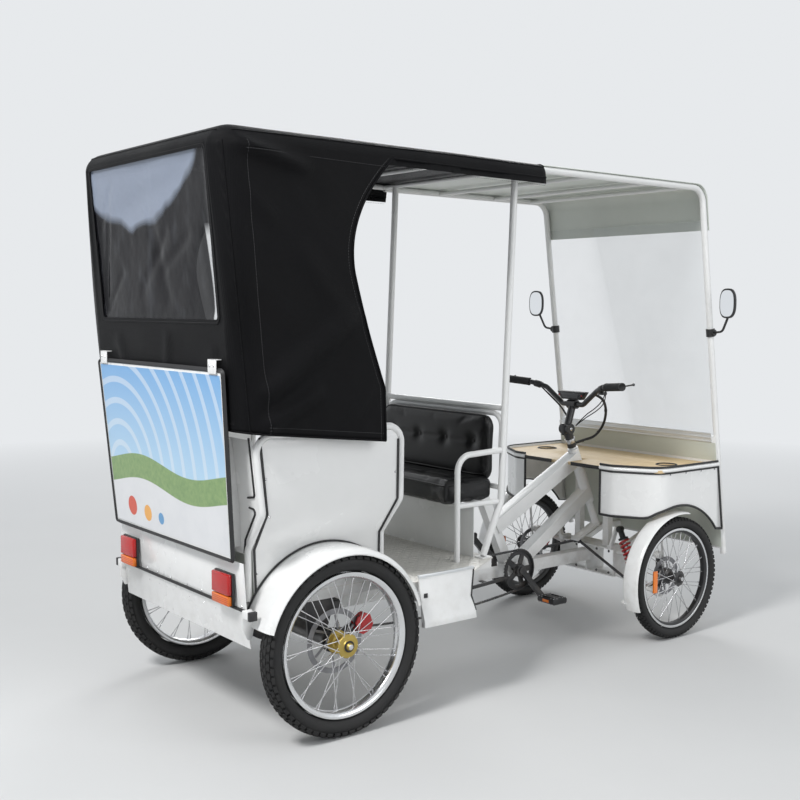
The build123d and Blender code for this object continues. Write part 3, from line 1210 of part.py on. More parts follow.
def tie_rod():
    """Left tie rod: eye under the drop arm, straight rod, eye over the track arm."""
    hub = Vector(*along_head(HEAD_LENGTH + COLUMN_LENGTH - DROP_ARM_INSET, -PITMAN_LENGTH))
    up = Vector(*STEERING_UP)
    inner = hub + Vector(0, PITMAN_SPREAD, 0) - up * (DROP_ARM_THICKNESS / 2 + RUNNING_GAP + 7)
    outer = Vector(WHEELBASE - TRACK_ARM_LENGTH, KINGPIN_Y, TRACK_ARM_Z + 5 + 1.5 + 7)
    body = tube_between(inner, outer, 6)
    body += rod_between(inner - up * 7, inner + up * 7, ROD_EYE_RADIUS)
    body += rod_between(outer - Vector(0, 0, 7), outer + Vector(0, 0, 7), ROD_EYE_RADIUS)
    return body


BAR_POINTS = [
    # X, Y, Z of the left half of the bar's centre line
    (BAR_X, 0, BAR_Z), (BAR_X, 60, BAR_Z), (BAR_X - 10, 150, BAR_Z + 68), (BAR_X - 36, 215, BAR_Z + 86),
    (BAR_X - 71, 335, BAR_Z + 96),
]


def handlebar():
    """Stem with its folding hinge, bar clamp and the raised, swept handlebar."""
    hinge = along_head(-STEM_LENGTH)
    body = rod_between(along_head(-STEM_GAP - SEAT_GAP), hinge, STEM_LOWER_RADIUS)
    body += tube_between(hinge, (BAR_X, 0, BAR_Z), STEM_UPPER_RADIUS)
    body += y_cylinder(hinge[0], hinge[2], HINGE_RADIUS, -HINGE_HALF, HINGE_HALF)
    body += y_cylinder(BAR_X, BAR_Z, CLAMP_RADIUS, -CLAMP_HALF, CLAMP_HALF)
    for side in (-1, 1):
        points = [(x, side * y, z) for x, y, z in BAR_POINTS]
        body += bent_tube(points, BAR_RADIUS, [30, 40, 60])
    return body


def grips():
    """Left grip, over the end of the bar."""
    a, b = Vector(*BAR_POINTS[-2]), Vector(*BAR_POINTS[-1])
    run = (b - a).normalized()
    sleeve = tube_between(a + run * 12, b + run * 6, GRIP_RADIUS)
    return sleeve - rod_between(a, b + run * SEAT_GAP, BAR_RADIUS + SEAT_GAP)


def brake_lever():
    """Left brake lever: clamp on the bar inboard of the grip, and the bent blade in front of the grip."""
    before, corner, tip_end = [Vector(*point) for point in BAR_POINTS[-3:]]
    run, grip_run = (corner - before).normalized(), (tip_end - corner).normalized()
    ahead = grip_run.cross(Vector(0, 0, 1)).normalized()
    end = corner - run * LEVER_CLAMP_INSET
    start = end - run * LEVER_CLAMP_WIDTH
    middle = (start + end) / 2
    pivot = middle + ahead * (LEVER_CLAMP_RADIUS + LEVER_BLADE_WIDTH)
    knee = corner + ahead * (GRIP_RADIUS + LEVER_REACH) + grip_run * LEVER_CLAMP_WIDTH
    tip = tip_end + ahead * (GRIP_RADIUS + LEVER_REACH) + Vector(0, 0, LEVER_RISE)
    lever = tube_between(start, end, LEVER_CLAMP_RADIUS)
    boss_end = pivot + ahead * LEVER_BLADE_WIDTH / 2
    lever += bar_between(middle, boss_end, LEVER_CLAMP_WIDTH - 6, LEVER_BLADE_WIDTH)
    lever += bar_between(pivot, knee, LEVER_BLADE_WIDTH, LEVER_BLADE_THICKNESS)
    lever += bar_between(knee, tip, LEVER_BLADE_WIDTH, LEVER_BLADE_THICKNESS)
    past = run * LEVER_CLAMP_WIDTH
    return lever - rod_between(start - past, end + past, BAR_RADIUS + SEAT_GAP)


def display():
    """Display and lamp housing between the bar's risers, resting on the stem's clamp."""
    low = BAR_Z + CLAMP_RADIUS + SEAT_GAP
    place = Plane(origin=(BAR_X, 0, low), x_dir=(0, 1, 0), z_dir=(1, 0, 0))
    half_top, half_low = DISPLAY_TOP_WIDTH / 2, DISPLAY_LOW_WIDTH / 2
    face = place * make_face(Polyline(
        (-half_top, DISPLAY_HEIGHT), (half_top, DISPLAY_HEIGHT), (half_low, 0), (-half_low, 0), close=True))
    return extrude(face, DISPLAY_DEPTH / 2, both=True)


CABLE_RADIUS = 6.5
CABLE_SIDES = 8
CABLE_POINTS = [
    # X, Y, Z of the bundle from the bar's right riser, round in front, back to the stem's foot
    (BAR_X + 2, -131.8, BAR_Z + 46.8), (BAR_X + 32, -145, BAR_Z + 34), (BAR_X + 77, -125, BAR_Z - 23),
    (BAR_X + 103, -85, BAR_Z - 92), (BAR_X + 86, -52, BAR_Z - 142), (BAR_X + 37, -34, BAR_Z - 157),
    (BAR_X + 9.1, -13.1, BAR_Z - 167.4),
]


def cable_bundle():
    """Brake and display cables in one sleeve, each arc as large as its two runs allow."""
    corners = [Vector(*point) for point in CABLE_POINTS]
    radii = []
    for before, corner, after in zip(corners, corners[1:], corners[2:]):
        turn = (corner - before).get_angle(after - corner)
        shorter = min((corner - before).length, (after - corner).length)
        radii.append(0.45 * shorter / math.tan(math.radians(turn / 2)))
    path = FilletPolyline(*CABLE_POINTS, radius=radii)
    section = Plane(origin=path @ 0, z_dir=path % 0) * RegularPolygon(CABLE_RADIUS, CABLE_SIDES)
    return sweep(section, path=path)


# Crank and chain


def crankset():
    """Spindle, two arms and the chainring."""
    root_y, tip_y = CRANK_ROOT_Y, CRANK_TIP_Y
    half = CRANK_ARM_THICKNESS / 2
    body = y_cylinder(CRANK_X, CRANK_Z, CRANK_SPINDLE_RADIUS, -root_y - 4, root_y + 4)
    angle = math.radians(CRANK_DROP_ANGLE)
    for side in (-1, 1):
        turn = angle if side < 0 else angle + math.pi
        foot = (CRANK_X, side * root_y, CRANK_Z)
        cos, sin = math.cos(turn), math.sin(turn)
        tip = (CRANK_X + CRANK_LENGTH * cos, side * tip_y, CRANK_Z + CRANK_LENGTH * sin)
        body += bar_between(foot, tip, CRANK_ARM_THICKNESS, CRANK_ARM_WIDTH, up=(sin, 0, -cos))
        body += y_cylinder(tip[0], tip[2], CRANK_EYE_RADIUS, side * (tip_y - half), side * (tip_y + half))
        body += y_cylinder(CRANK_X, CRANK_Z, CRANK_BOSS_RADIUS, side * (root_y - 8), side * (root_y + 8))
    face_y = CHAINRING_Y + CHAINRING_THICKNESS / 2
    ring = y_cylinder(CRANK_X, CRANK_Z, CHAINRING_RADIUS, face_y - CHAINRING_THICKNESS, face_y)
    inner, outer = SPIDER_RADIUS + 6, CHAINRING_RADIUS - 14
    for number in range(CHAINRING_WINDOWS):
        middle = 360 / CHAINRING_WINDOWS * (number + 0.5)
        window = []
        for r, a in [(inner, -14), (outer, -25), (outer, 0), (outer, 25), (inner, 14)]:
            turn = math.radians(middle + a)
            window.append((CRANK_X + r * math.cos(turn), CRANK_Z + r * math.sin(turn)))
        cut = make_face(Polyline(*window, close=True))
        ring -= extrude(plane_y(face_y + 1) * cut, CHAINRING_THICKNESS + 2)
    return body + ring + y_cylinder(CRANK_X, CRANK_Z, SPIDER_RADIUS, -root_y, face_y)


def pedal(side):
    """Pedal with its axle, carried in the crank's end."""
    turn = math.radians(CRANK_DROP_ANGLE) + (0 if side < 0 else math.pi)
    x = CRANK_X + CRANK_LENGTH * math.cos(turn)
    z = CRANK_Z + CRANK_LENGTH * math.sin(turn)
    eye_y = CRANK_TIP_Y + CRANK_ARM_THICKNESS / 2 + RUNNING_GAP
    y = side * (eye_y + PEDAL_STEP + PEDAL_WIDTH / 2)
    body = Pos(x, y, z) * Box(PEDAL_LENGTH, PEDAL_WIDTH, PEDAL_DEPTH)
    body = chamfer(body.edges().filter_by(Axis.Y), PEDAL_DEPTH / 4)
    slot_x, slot_width = PEDAL_LENGTH / 2 - 14, PEDAL_WIDTH - 22
    for offset in (-slot_x, slot_x):
        body -= Pos(x + offset, y, z) * Box(16, slot_width, 2 * PEDAL_DEPTH)
    return body + y_cylinder(x, z, PEDAL_AXLE_RADIUS, side * eye_y, y)


def chain():
    """Chain from the crank's ring to the sprocket on the axle, its lower run hanging slack."""
    ring_r = CHAINRING_RADIUS + 1
    cog_r = COG_RADIUS + 1
    half_t = CHAIN_DEPTH / 2
    band = CHAIN_WIDTH

    def loop(offset):
        ra, rb = ring_r + half_t + offset, cog_r + half_t + offset
        top = Line((CRANK_X, CRANK_Z + ra), (0, REAR_TYRE_RADIUS + rb))
        rear = ThreePointArc(
            (0, REAR_TYRE_RADIUS + rb), (-rb, REAR_TYRE_RADIUS), (0, REAR_TYRE_RADIUS - rb))
        bottom = ThreePointArc(
            (0, REAR_TYRE_RADIUS - rb), (CRANK_X / 2, CHAIN_SAG_Z - offset), (CRANK_X, CRANK_Z - ra))
        front = ThreePointArc((CRANK_X, CRANK_Z - ra), (CRANK_X + ra, CRANK_Z), (CRANK_X, CRANK_Z + ra))
        return make_face(top + rear + bottom + front)

    outer = extrude(plane_y(CHAINRING_Y + band / 2) * loop(half_t), band)
    inner = extrude(plane_y(CHAINRING_Y + band / 2 + 1) * loop(-half_t), band + 2)
    return outer - inner


# Seats


def rear_seat_box():
    """Box under the rear seat, open at the top, holding the battery."""
    rear_x = BODY_REAR_X + 56
    half_y = PANEL_LOWER_Y - PANEL_THICKNESS - 16
    z_mid = DECK_TOP_Z + SEAT_GAP + SEAT_BOX_HEIGHT / 2
    x_mid, length = (rear_x + SEAT_BOX_FRONT_X) / 2, SEAT_BOX_FRONT_X - rear_x
    box = Pos(x_mid, 0, z_mid) * Box(length, 2 * half_y, SEAT_BOX_HEIGHT)
    return box - Pos(x_mid, 0, z_mid) * Box(length - 8, 2 * half_y - 8, SEAT_BOX_HEIGHT + 2)


def cushion(x0, x1, half_y, z0, z1, edge):
    """Block cushion with chamfered edges."""
    body = Pos((x0 + x1) / 2, 0, (z0 + z1) / 2) * Box(x1 - x0, 2 * half_y, z1 - z0)
    return chamfer(body.edges(), edge)


def rear_seat():
    """Rear cushion on the box, and the backrest against the rear wall."""
    top = DECK_TOP_Z + SEAT_GAP + SEAT_BOX_HEIGHT
    back_low = top + SEAT_GAP
    wall_face = BODY_TUBE_RADIUS + 2 - WALL_THICKNESS - SEAT_GAP
    line = [(panel_edge_x(z, False) - wall_face, z) for z in (PANEL_TOP_Z - 20, PANEL_KNEE_Z, back_low)]
    back = slanted_sheet(line, BACKREST_THICKNESS, SEAT_HALF)
    upper_edges = back.edges().filter_by(Axis.Y).filter_by(lambda e: e.center().Z > PANEL_KNEE_Z + 1)
    back = chamfer(upper_edges, BACKREST_EDGE)
    rear_x = line[-1][0] + BACKREST_THICKNESS + SEAT_GAP
    seat = cushion(rear_x, SEAT_BOX_FRONT_X + 15, SEAT_HALF, back_low, top + SEAT_THICKNESS, CUSHION_EDGE)
    return [seat, back]


def bench_seat():
    """Forward bench: cushion on the cross bars and backrest against the back rails."""
    low = BENCH_SEAT_Z + BENCH_BAR_OFFSET + SEAT_GAP
    heights = (BENCH_TOP_Z - 12, low + SEAT_THICKNESS + SEAT_GAP)
    rail_face = BENCH_TUBE_RADIUS + SEAT_GAP + BACKREST_THICKNESS
    line = [(post_x(z) - rail_face, z) for z in heights]
    back = slanted_sheet(line, BACKREST_THICKNESS, SEAT_HALF - 26)
    back = chamfer(back.edges(), BACKREST_EDGE)
    rear_x = post_x(low) - BENCH_TUBE_RADIUS - SEAT_GAP
    seat = cushion(BENCH_CUSHION_FRONT_X, rear_x, SEAT_HALF - 22, low, low + SEAT_THICKNESS, CUSHION_EDGE)
    return [seat, back]


def bench_frame():
    """Tube frame of the forward bench: arm hoops, seat rails and cross bars, and the back's two rails."""
    r = BENCH_TUBE_RADIUS
    foot = DECK_TOP_Z + SEAT_GAP
    body = None
    for side in (-1, 1):
        y = side * POST_Y
        arm_end = post_x(BENCH_ARM_Z - r) - POST_RADIUS - SEAT_GAP
        corner = (BENCH_FRONT_X, y, BENCH_ARM_Z - 8)
        arm = bent_tube([(arm_end, y, BENCH_ARM_Z), corner, (BENCH_FRONT_X, y, foot)], r, [60])
        rail_end = post_x(BENCH_SEAT_Z) - POST_RADIUS - 6
        arm += tube_between((rail_end, y, BENCH_SEAT_Z), (BENCH_FRONT_X, y, BENCH_SEAT_Z), r - 1)
        body = arm if body is None else body + arm
    for bar_x in (BENCH_FRONT_X + 28, BENCH_FRONT_X + 118):
        z = BENCH_SEAT_Z + BENCH_BAR_OFFSET - (r - 2)
        body += tube_between((bar_x, -POST_Y, z), (bar_x, POST_Y, z), r - 2)
    half = POST_Y - POST_RADIUS - SEAT_GAP
    rails = [body]
    for z in (BENCH_SEAT_Z + 50, BENCH_TOP_Z):
        rails.append(tube_between((post_x(z), -half, z), (post_x(z), half, z), r))
    return rails


def bench_riser():
    """Stainless kick plate under the forward bench, standing on the floor."""
    z0, z1 = DECK_TOP_Z + SEAT_GAP, BENCH_SEAT_Z - BENCH_TUBE_RADIUS - SEAT_GAP
    return Pos(RISER_X, 0, (z0 + z1) / 2) * Box(RISER_THICKNESS, 2 * (POST_Y - 20), z1 - z0)


def saddle():
    """Rider's saddle: broad tail, narrow nose."""
    x = seat_tube_point(SADDLE_Z)[0] + SADDLE_SHIFT
    half = [(-128, 0), (-128, 56), (-112, 92), (-20, 72), (70, 26), (132, 17), (132, 0)]
    outline = [(x + dx, y) for dx, y in half] + [(x + dx, -y) for dx, y in half[-2:0:-1]]
    plan = make_face(Polyline(*outline, close=True))
    body = extrude(Plane.XY.offset(SADDLE_Z - SADDLE_DEPTH) * plan, SADDLE_DEPTH)
    return chamfer(body.faces().sort_by(Axis.Z)[-1].edges(), 9)


def seat_post():
    """Post standing in line with the seat tube, up to the clamp under the saddle."""
    clamp_z = SADDLE_Z - SADDLE_DEPTH - SEAT_GAP - 7
    low = Vector(*seat_tube_point(SEAT_TUBE_TOP_Z))
    axis = (Vector(*seat_tube_point(clamp_z)) - low).normalized()
    body = rod_between(low + axis * SEAT_GAP, Vector(*seat_tube_point(clamp_z)), 14)
    x = seat_tube_point(clamp_z)[0] + 30
    return body + Pos(x, 0, clamp_z) * Box(110, 44, 14)


# Lamps and mirrors


def tail_lamp():
    """Left tail lamp, its back flat on the rear valance."""
    back = [(valance_x(z) - SEAT_GAP, z) for z in (LAMP_HIGH_Z, LAMP_LOW_Z)]
    outline = back + [(x - LAMP_DEPTH, z) for x, z in reversed(back)]
    return extrude(plane_y(LAMP_OUTER_Y) * make_face(Polyline(*outline, close=True)), LAMP_WIDTH)


def mirror_unit():
    """Left mirror on a bent stalk, clamped to the hoop's post."""
    z = MIRROR_CLAMP_Z
    x = hoop_x(z)
    lean = math.radians(HOOP_LEAN)
    half = Vector(-math.sin(lean), 0, math.cos(lean)) * MIRROR_CLAMP_HALF
    centre = Vector(x, HOOP_Y, z)
    clamp = rod_between(centre - half, centre + half, HOOP_RADIUS + MIRROR_CLAMP_WALL)
    clamp -= rod_between(centre - half * 2, centre + half * 2, HOOP_RADIUS + SEAT_GAP)
    clamp -= Pos(x, HOOP_Y - 38, z) * Box(80, 60, 80)
    reach, rise = HOOP_Y + MIRROR_REACH, z + MIRROR_RISE
    root, elbow = (x, HOOP_Y + HOOP_RADIUS + 3, z), (x - 6, reach - 40, z + 6)
    stalk = bent_tube([root, elbow, (x - 14, reach, rise - 38)], MIRROR_STALK_RADIUS, [26])
    face = Plane(origin=(x - 24, reach, rise), x_dir=(0, 1, 0), z_dir=(1, 0.12, 0))
    head = extrude(face * RectangleRounded(MIRROR_WIDTH, MIRROR_HEIGHT, MIRROR_CORNER), MIRROR_DEPTH)
    return clamp + stalk + head


def save(name, shapes):
    """Write one node; a list holds solids that do not touch."""
    if not isinstance(shapes, list):
        shapes = [shapes]
    solids = [Pos(-MIDDLE_X, 0, 0) * solid for shape in shapes for solid in shape.solids()]
    node = solids[0] if len(solids) == 1 else Compound(children=solids)
    export_step(node, f"parts/{name}.step")


os.makedirs("parts", exist_ok=True)

save("main_frame", main_frame())
save("deck_frame", deck_frame())
save("floor_deck", floor_deck())
save("rear_axle", rear_axle())
save("drive_motor", drive_motor())
save("battery_pack", battery_pack())
save("side_panels", both_sides(side_panel()))
save("side_frames", both_sides(side_frame()))
save("rear_mudguards", both_sides(rear_guard()))
save("step_skirts", both_sides(skirt()))
save("rear_panels", [rear_valance(), rear_wall()])
save("rear_board", rear_board())
save("canopy_cover", canopy_cover())
save("rear_window", rear_window())
save("canopy_frame", canopy_frame())
save("rider_hoop", rider_hoop())
save("rider_roof", rider_roof())
save("screen", screen())
save("shelf", shelf())
save("fairing_sides", both_sides(fairing_side()))
save("front_panel", front_panel())
save("front_subframe", front_subframe())
save("wishbones", [arm for pair in map(both_sides, wishbones()) for arm in pair])
save("shock_absorbers", both_sides(shock()))
save("rear_seat_box", rear_seat_box())
save("rear_seat", rear_seat())
save("bench_seat", bench_seat())
save("bench_frame", bench_frame())
save("bench_riser", bench_riser())
save("saddle", saddle())
save("seat_post", seat_post())
save("tail_lamps", both_sides(tail_lamp()))
save("mirrors", both_sides(mirror_unit()))
save("steering_column", steering_column())
save("handlebar", handlebar())
save("grips", both_sides(grips()))
save("controls", both_sides(brake_lever()) + [display()])
save("cable_bundle", cable_bundle())
save("crankset", crankset())
save("chain", chain())

for side, name in ((1, "left"), (-1, "right")):
    save(f"rear_wheel_{name}", rear_wheel(side))
    save(f"rear_spokes_{name}", rear_spokes(side))
    save(f"rear_tyre_{name}", rear_tyre(side))
    save(f"front_wheel_{name}", front_wheel(side))
    save(f"front_spokes_{name}", front_spokes(side))
    save(f"front_tyre_{name}", front_tyre(side))
    save(f"pedal_{name}", pedal(side))
    save(f"knuckle_{name}", both_sides(knuckle())[side < 0])
    save(f"front_mudguard_{name}", both_sides(front_guard())[side < 0])
    save(f"tie_rod_{name}", both_sides(tie_rod())[side < 0])
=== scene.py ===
# %% [markdown]
# # Four-wheeled cycle rickshaw: looks
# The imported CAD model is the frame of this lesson: it says where everything is, in metres, with +X forward,
# +Y to the rider's left and +Z up. Each cell below dresses one part of it, as paint, cloth, rubber or
# metal.

import bmesh
import bpy
import json
import math
from mathutils import Matrix, Vector, noise
from mathutils.bvhtree import BVHTree

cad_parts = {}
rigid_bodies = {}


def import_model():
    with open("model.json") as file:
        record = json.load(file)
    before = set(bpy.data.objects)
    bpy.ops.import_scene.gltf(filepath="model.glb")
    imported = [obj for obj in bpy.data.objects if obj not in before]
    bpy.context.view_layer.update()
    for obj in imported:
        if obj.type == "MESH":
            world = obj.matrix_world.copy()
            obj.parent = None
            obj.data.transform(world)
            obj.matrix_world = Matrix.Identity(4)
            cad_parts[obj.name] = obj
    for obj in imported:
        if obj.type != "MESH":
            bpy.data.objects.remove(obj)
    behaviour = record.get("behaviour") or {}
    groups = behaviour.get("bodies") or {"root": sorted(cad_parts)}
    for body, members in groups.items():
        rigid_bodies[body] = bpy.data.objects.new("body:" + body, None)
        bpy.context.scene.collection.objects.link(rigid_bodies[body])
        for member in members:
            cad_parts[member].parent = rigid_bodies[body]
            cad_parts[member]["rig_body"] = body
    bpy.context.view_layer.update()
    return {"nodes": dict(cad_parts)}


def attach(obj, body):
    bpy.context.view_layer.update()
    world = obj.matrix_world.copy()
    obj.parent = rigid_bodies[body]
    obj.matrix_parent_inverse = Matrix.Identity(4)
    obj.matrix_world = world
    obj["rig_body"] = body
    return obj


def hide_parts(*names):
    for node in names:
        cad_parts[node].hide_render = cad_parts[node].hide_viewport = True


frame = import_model()
MIDDLE_X = 0.827
print("nodes:", len(frame["nodes"]))

# %% [markdown]
# ## Camera
# The camera stands 1.37 m above the road, behind the right rear wheel, as in the photograph. Its place was
# solved from the wheels and posts, so it is written down as numbers here.

# %% Camera
CAMERA_PLACE = (-2.874, -3.429, 1.373)
CAMERA_TURN = (math.radians(85.31), math.radians(-0.19), math.radians(-37.83))
FOCAL_LENGTH, SENSOR = 51.3, 36.0
camera_data = bpy.data.cameras.new("camera")
camera_data.lens = FOCAL_LENGTH
camera_data.sensor_width = SENSOR
camera = bpy.data.objects.new("camera", camera_data)
camera.location = CAMERA_PLACE
camera.rotation_euler = CAMERA_TURN
bpy.context.scene.collection.objects.link(camera)
bpy.context.scene.camera = camera
bpy.context.scene.view_settings.view_transform = "Standard"
print("camera at", CAMERA_PLACE)

# %% [markdown]
# ## Small helpers for shader nodes
# A finish is a Principled shader whose colour, roughness and bump come from noise read in Object
# coordinates. Every finished piece sits at the origin, so those coordinates are metres in the frame and
# never slide.


# %% Shader helpers
def shader(name):
    """New material with its node tree, the Principled shader and the Object coordinates."""
    material = bpy.data.materials.new(name)
    material.use_nodes = True
    tree = material.node_tree
    principled = tree.nodes["Principled BSDF"]
    coordinates = tree.nodes.new("ShaderNodeTexCoord").outputs["Object"]
    return material, tree, principled, coordinates


def wired(tree, node, values):
    """Fill a node's inputs: sockets are linked, and plain values are set."""
    for name, value in values.items():
        if isinstance(value, bpy.types.NodeSocket):
            tree.links.new(value, node.inputs[name])
        else:
            node.inputs[name].default_value = value


def stretched(tree, coordinates, scale):
    """Coordinates scaled by axis, so that a pattern can run long in one direction."""
    mapping = tree.nodes.new("ShaderNodeMapping")
    wired(tree, mapping, {"Scale": scale, "Vector": coordinates})
    return mapping.outputs["Vector"]


def noise_of(tree, coordinates, scale, detail=4.0, rough=0.55):
    """Noise value, 0 to 1."""
    node = tree.nodes.new("ShaderNodeTexNoise")
    wired(tree, node, {"Scale": scale, "Detail": detail, "Roughness": rough, "Vector": coordinates})
    return node.outputs["Fac"]


def between(tree, value, low, high, out_low=0.0, out_high=1.0):
    """Value moved from the range low..high to out_low..out_high, clamped."""
    node = tree.nodes.new("ShaderNodeMapRange")
    wired(tree, node, {"From Min": low, "From Max": high, "To Min": out_low, "To Max": out_high,
                       "Value": value})
    return node.outputs["Result"]


def maths(tree, operation, first, second=None):
    """One math node; numbers or sockets go in."""
    node = tree.nodes.new("ShaderNodeMath")
    node.operation = operation
    wired(tree, node, {0: first} if second is None else {0: first, 1: second})
    return node.outputs[0]


def blended(tree, share, first, second):
    """Colour between two colours, which are tuples or sockets."""
    node = tree.nodes.new("ShaderNodeMix")
    node.data_type = "RGBA"
    first, second = [(*colour, 1.0) if isinstance(colour, tuple) else colour for colour in (first, second)]
    wired(tree, node, {"Factor": share, 6: first, 7: second})
    return node.outputs[2]


def bumped(tree, principled, height, strength, distance):
    """Height value as a bump on the shader."""
    node = tree.nodes.new("ShaderNodeBump")
    wired(tree, node, {"Strength": strength, "Distance": distance, "Height": height})
    wired(tree, principled, {"Normal": node.outputs["Normal"]})


def height_of(tree, coordinates):
    """The Z coordinate on its own."""
    node = tree.nodes.new("ShaderNodeSeparateXYZ")
    wired(tree, node, {0: coordinates})
    return node.outputs["Z"]


# %% [markdown]
# ## Painted, moulded and bare metal finishes
# Most of the vehicle is powder-coated white. Real paint is never one number: it has a faint orange peel,
# slow changes of tone, and road dust low down. One function makes all of these, and the values tell them
# apart.


# %% Plain finishes
DUST = (0.30, 0.26, 0.21)


def plain_finish(name, colour, rough, metallic=0.0, tone=0.05, peel=0.12, peel_scale=260.0, dust=0.0,
                 coat=0.0):
    """Paint, plastic or metal with slow tone changes, a fine surface and dust near the road."""
    material, tree, principled, coordinates = shader(name)
    slow = noise_of(tree, coordinates, 5.0)
    darker = tuple(channel * (1 - tone) for channel in colour)
    lighter = tuple(min(1.0, channel * (1 + tone)) for channel in colour)
    base = blended(tree, between(tree, slow, 0.35, 0.65), darker, lighter)
    if dust:
        low = between(tree, height_of(tree, coordinates), 0.05, 0.55, 1.0, 0.0)
        patches = between(tree, noise_of(tree, coordinates, 22.0, 6.0), 0.42, 0.72)
        base = blended(tree, maths(tree, "MULTIPLY", maths(tree, "MULTIPLY", low, patches), dust), base, DUST)
    fine = noise_of(tree, coordinates, peel_scale, 2.0)
    bumped(tree, principled, fine, peel, 0.0006)
    wired(tree, principled, {"Base Color": base, "Roughness": between(tree, slow, 0.3, 0.7, rough * 0.85,
                                                                      rough * 1.15), "Metallic": metallic,
                             "Coat Weight": coat, "Coat Roughness": 0.08})
    return material


white_paint = plain_finish("white powder coat", (0.80, 0.80, 0.79), 0.34, tone=0.025, dust=0.5, coat=0.25)
panel_paint = plain_finish("white body panel", (0.83, 0.83, 0.82), 0.26, tone=0.02, peel=0.06, dust=0.35,
                           coat=0.4)
black_paint = plain_finish("black powder coat", (0.022, 0.022, 0.024), 0.38, tone=0.2, dust=0.25, coat=0.2)
black_rubber = plain_finish("black rubber trim", (0.018, 0.018, 0.019), 0.6, tone=0.15, peel=0.3,
                            peel_scale=400)
bright_steel = plain_finish("bright steel", (0.62, 0.62, 0.63), 0.26, metallic=1.0, tone=0.06, peel=0.05)
alloy = plain_finish("polished alloy", (0.74, 0.75, 0.76), 0.22, metallic=1.0, tone=0.04, peel=0.05, dust=0.2)
zinc_gold = plain_finish("gold zinc plating", (0.40, 0.30, 0.085), 0.4, metallic=0.9, tone=0.25)
disc_steel = plain_finish("brake disc steel", (0.24, 0.24, 0.25), 0.4, metallic=0.9, tone=0.15)
strip_alloy = plain_finish("aluminium strip", (0.72, 0.74, 0.75), 0.4, metallic=0.55, tone=0.04, peel=0.05)
dark_metal = plain_finish("dark cast metal", (0.06, 0.06, 0.065), 0.45, metallic=0.6, tone=0.2, peel=0.4,
                          dust=0.4)
red_paint = plain_finish("red spring paint", (0.42, 0.008, 0.012), 0.28, tone=0.12, dust=0.2, coat=0.3)
black_plastic = plain_finish("black moulded plastic", (0.02, 0.02, 0.021), 0.42, tone=0.15, peel=0.25)
roof_plastic = plain_finish("off-white roof sheet", (0.62, 0.65, 0.60), 0.38, tone=0.03, peel=0.08)
grey_print = plain_finish("grey-green inner coat", (0.60, 0.63, 0.57), 0.4, tone=0.03)
print("finishes:", len(bpy.data.materials))

# %% [markdown]
# ## Woven canvas, vinyl, wood, rubber and floor metal
# These need their own patterns. The canvas has a fine weave of two crossing waves and a soft sheen. Seat
# vinyl has a leather-like grain of small cells. Plywood has long stretched grain.


# %% Woven black canvas
def weave_height(tree, coordinates, pitch):
    """Height of a plain weave: waves in three directions, so that it shows on walls and roof alike."""
    total = None
    for axis in ("X", "Y", "Z"):
        wave = tree.nodes.new("ShaderNodeTexWave")
        wave.bands_direction = axis
        wave.inputs["Scale"].default_value = 0.314 / pitch
        tree.links.new(coordinates, wave.inputs["Vector"])
        total = wave.outputs["Fac"] if total is None else maths(tree, "ADD", total, wave.outputs["Fac"])
    return total


def canvas_finish(name, colour):
    material, tree, principled, coordinates = shader(name)
    slow = noise_of(tree, coordinates, 3.5, 6.0)
    base = blended(tree, between(tree, slow, 0.35, 0.7), tuple(c * 0.8 for c in colour),
                   tuple(c * 1.35 for c in colour))
    height = maths(tree, "ADD", weave_height(tree, coordinates, 0.0022), noise_of(tree, coordinates, 90.0,
                                                                                  3.0))
    bumped(tree, principled, height, 0.35, 0.0008)
    wired(tree, principled, {"Base Color": base, "Roughness": between(tree, slow, 0.3, 0.7, 0.38, 0.5),
                             "Sheen Weight": 0.02, "Sheen Roughness": 0.45, "Specular IOR Level": 0.075})
    return material


black_canvas = canvas_finish("black canvas", (0.0032, 0.0032, 0.0038))


# %% Seat vinyl
def vinyl_finish(name, colour):
    material, tree, principled, coordinates = shader(name)
    cells = tree.nodes.new("ShaderNodeTexVoronoi")
    cells.feature = "DISTANCE_TO_EDGE"
    wired(tree, cells, {"Scale": 420.0, "Vector": coordinates})
    slow = noise_of(tree, coordinates, 9.0, 5.0)
    base = blended(tree, between(tree, slow, 0.35, 0.65), tuple(c * 0.8 for c in colour),
                   tuple(c * 1.3 for c in colour))
    bumped(tree, principled, between(tree, cells.outputs["Distance"], 0.0, 0.12), 0.25, 0.0005)
    wired(tree, principled, {"Base Color": base, "Roughness": between(tree, slow, 0.3, 0.7, 0.27, 0.36),
                             "Specular IOR Level": 0.3, "Coat Weight": 0.15, "Coat Roughness": 0.3})
    return material


seat_vinyl = vinyl_finish("black seat vinyl", (0.0065, 0.0065, 0.007))


# %% Plywood, tyre rubber and floor metal
def plywood_finish():
    material, tree, principled, coordinates = shader("plywood")
    grain = noise_of(tree, stretched(tree, coordinates, (3.0, 45.0, 45.0)), 3.0, 8.0, 0.6)
    fine = noise_of(tree, stretched(tree, coordinates, (14.0, 420.0, 420.0)), 2.0, 3.0)
    colour = blended(tree, between(tree, grain, 0.35, 0.68), (0.66, 0.48, 0.26), (0.80, 0.63, 0.39))
    colour = blended(tree, between(tree, fine, 0.55, 0.75, 0.0, 0.35), colour, (0.42, 0.27, 0.13))
    bumped(tree, principled, fine, 0.15, 0.0005)
    wired(tree, principled, {"Base Color": colour, "Roughness": between(tree, grain, 0.3, 0.7, 0.42, 0.55)})
    return material


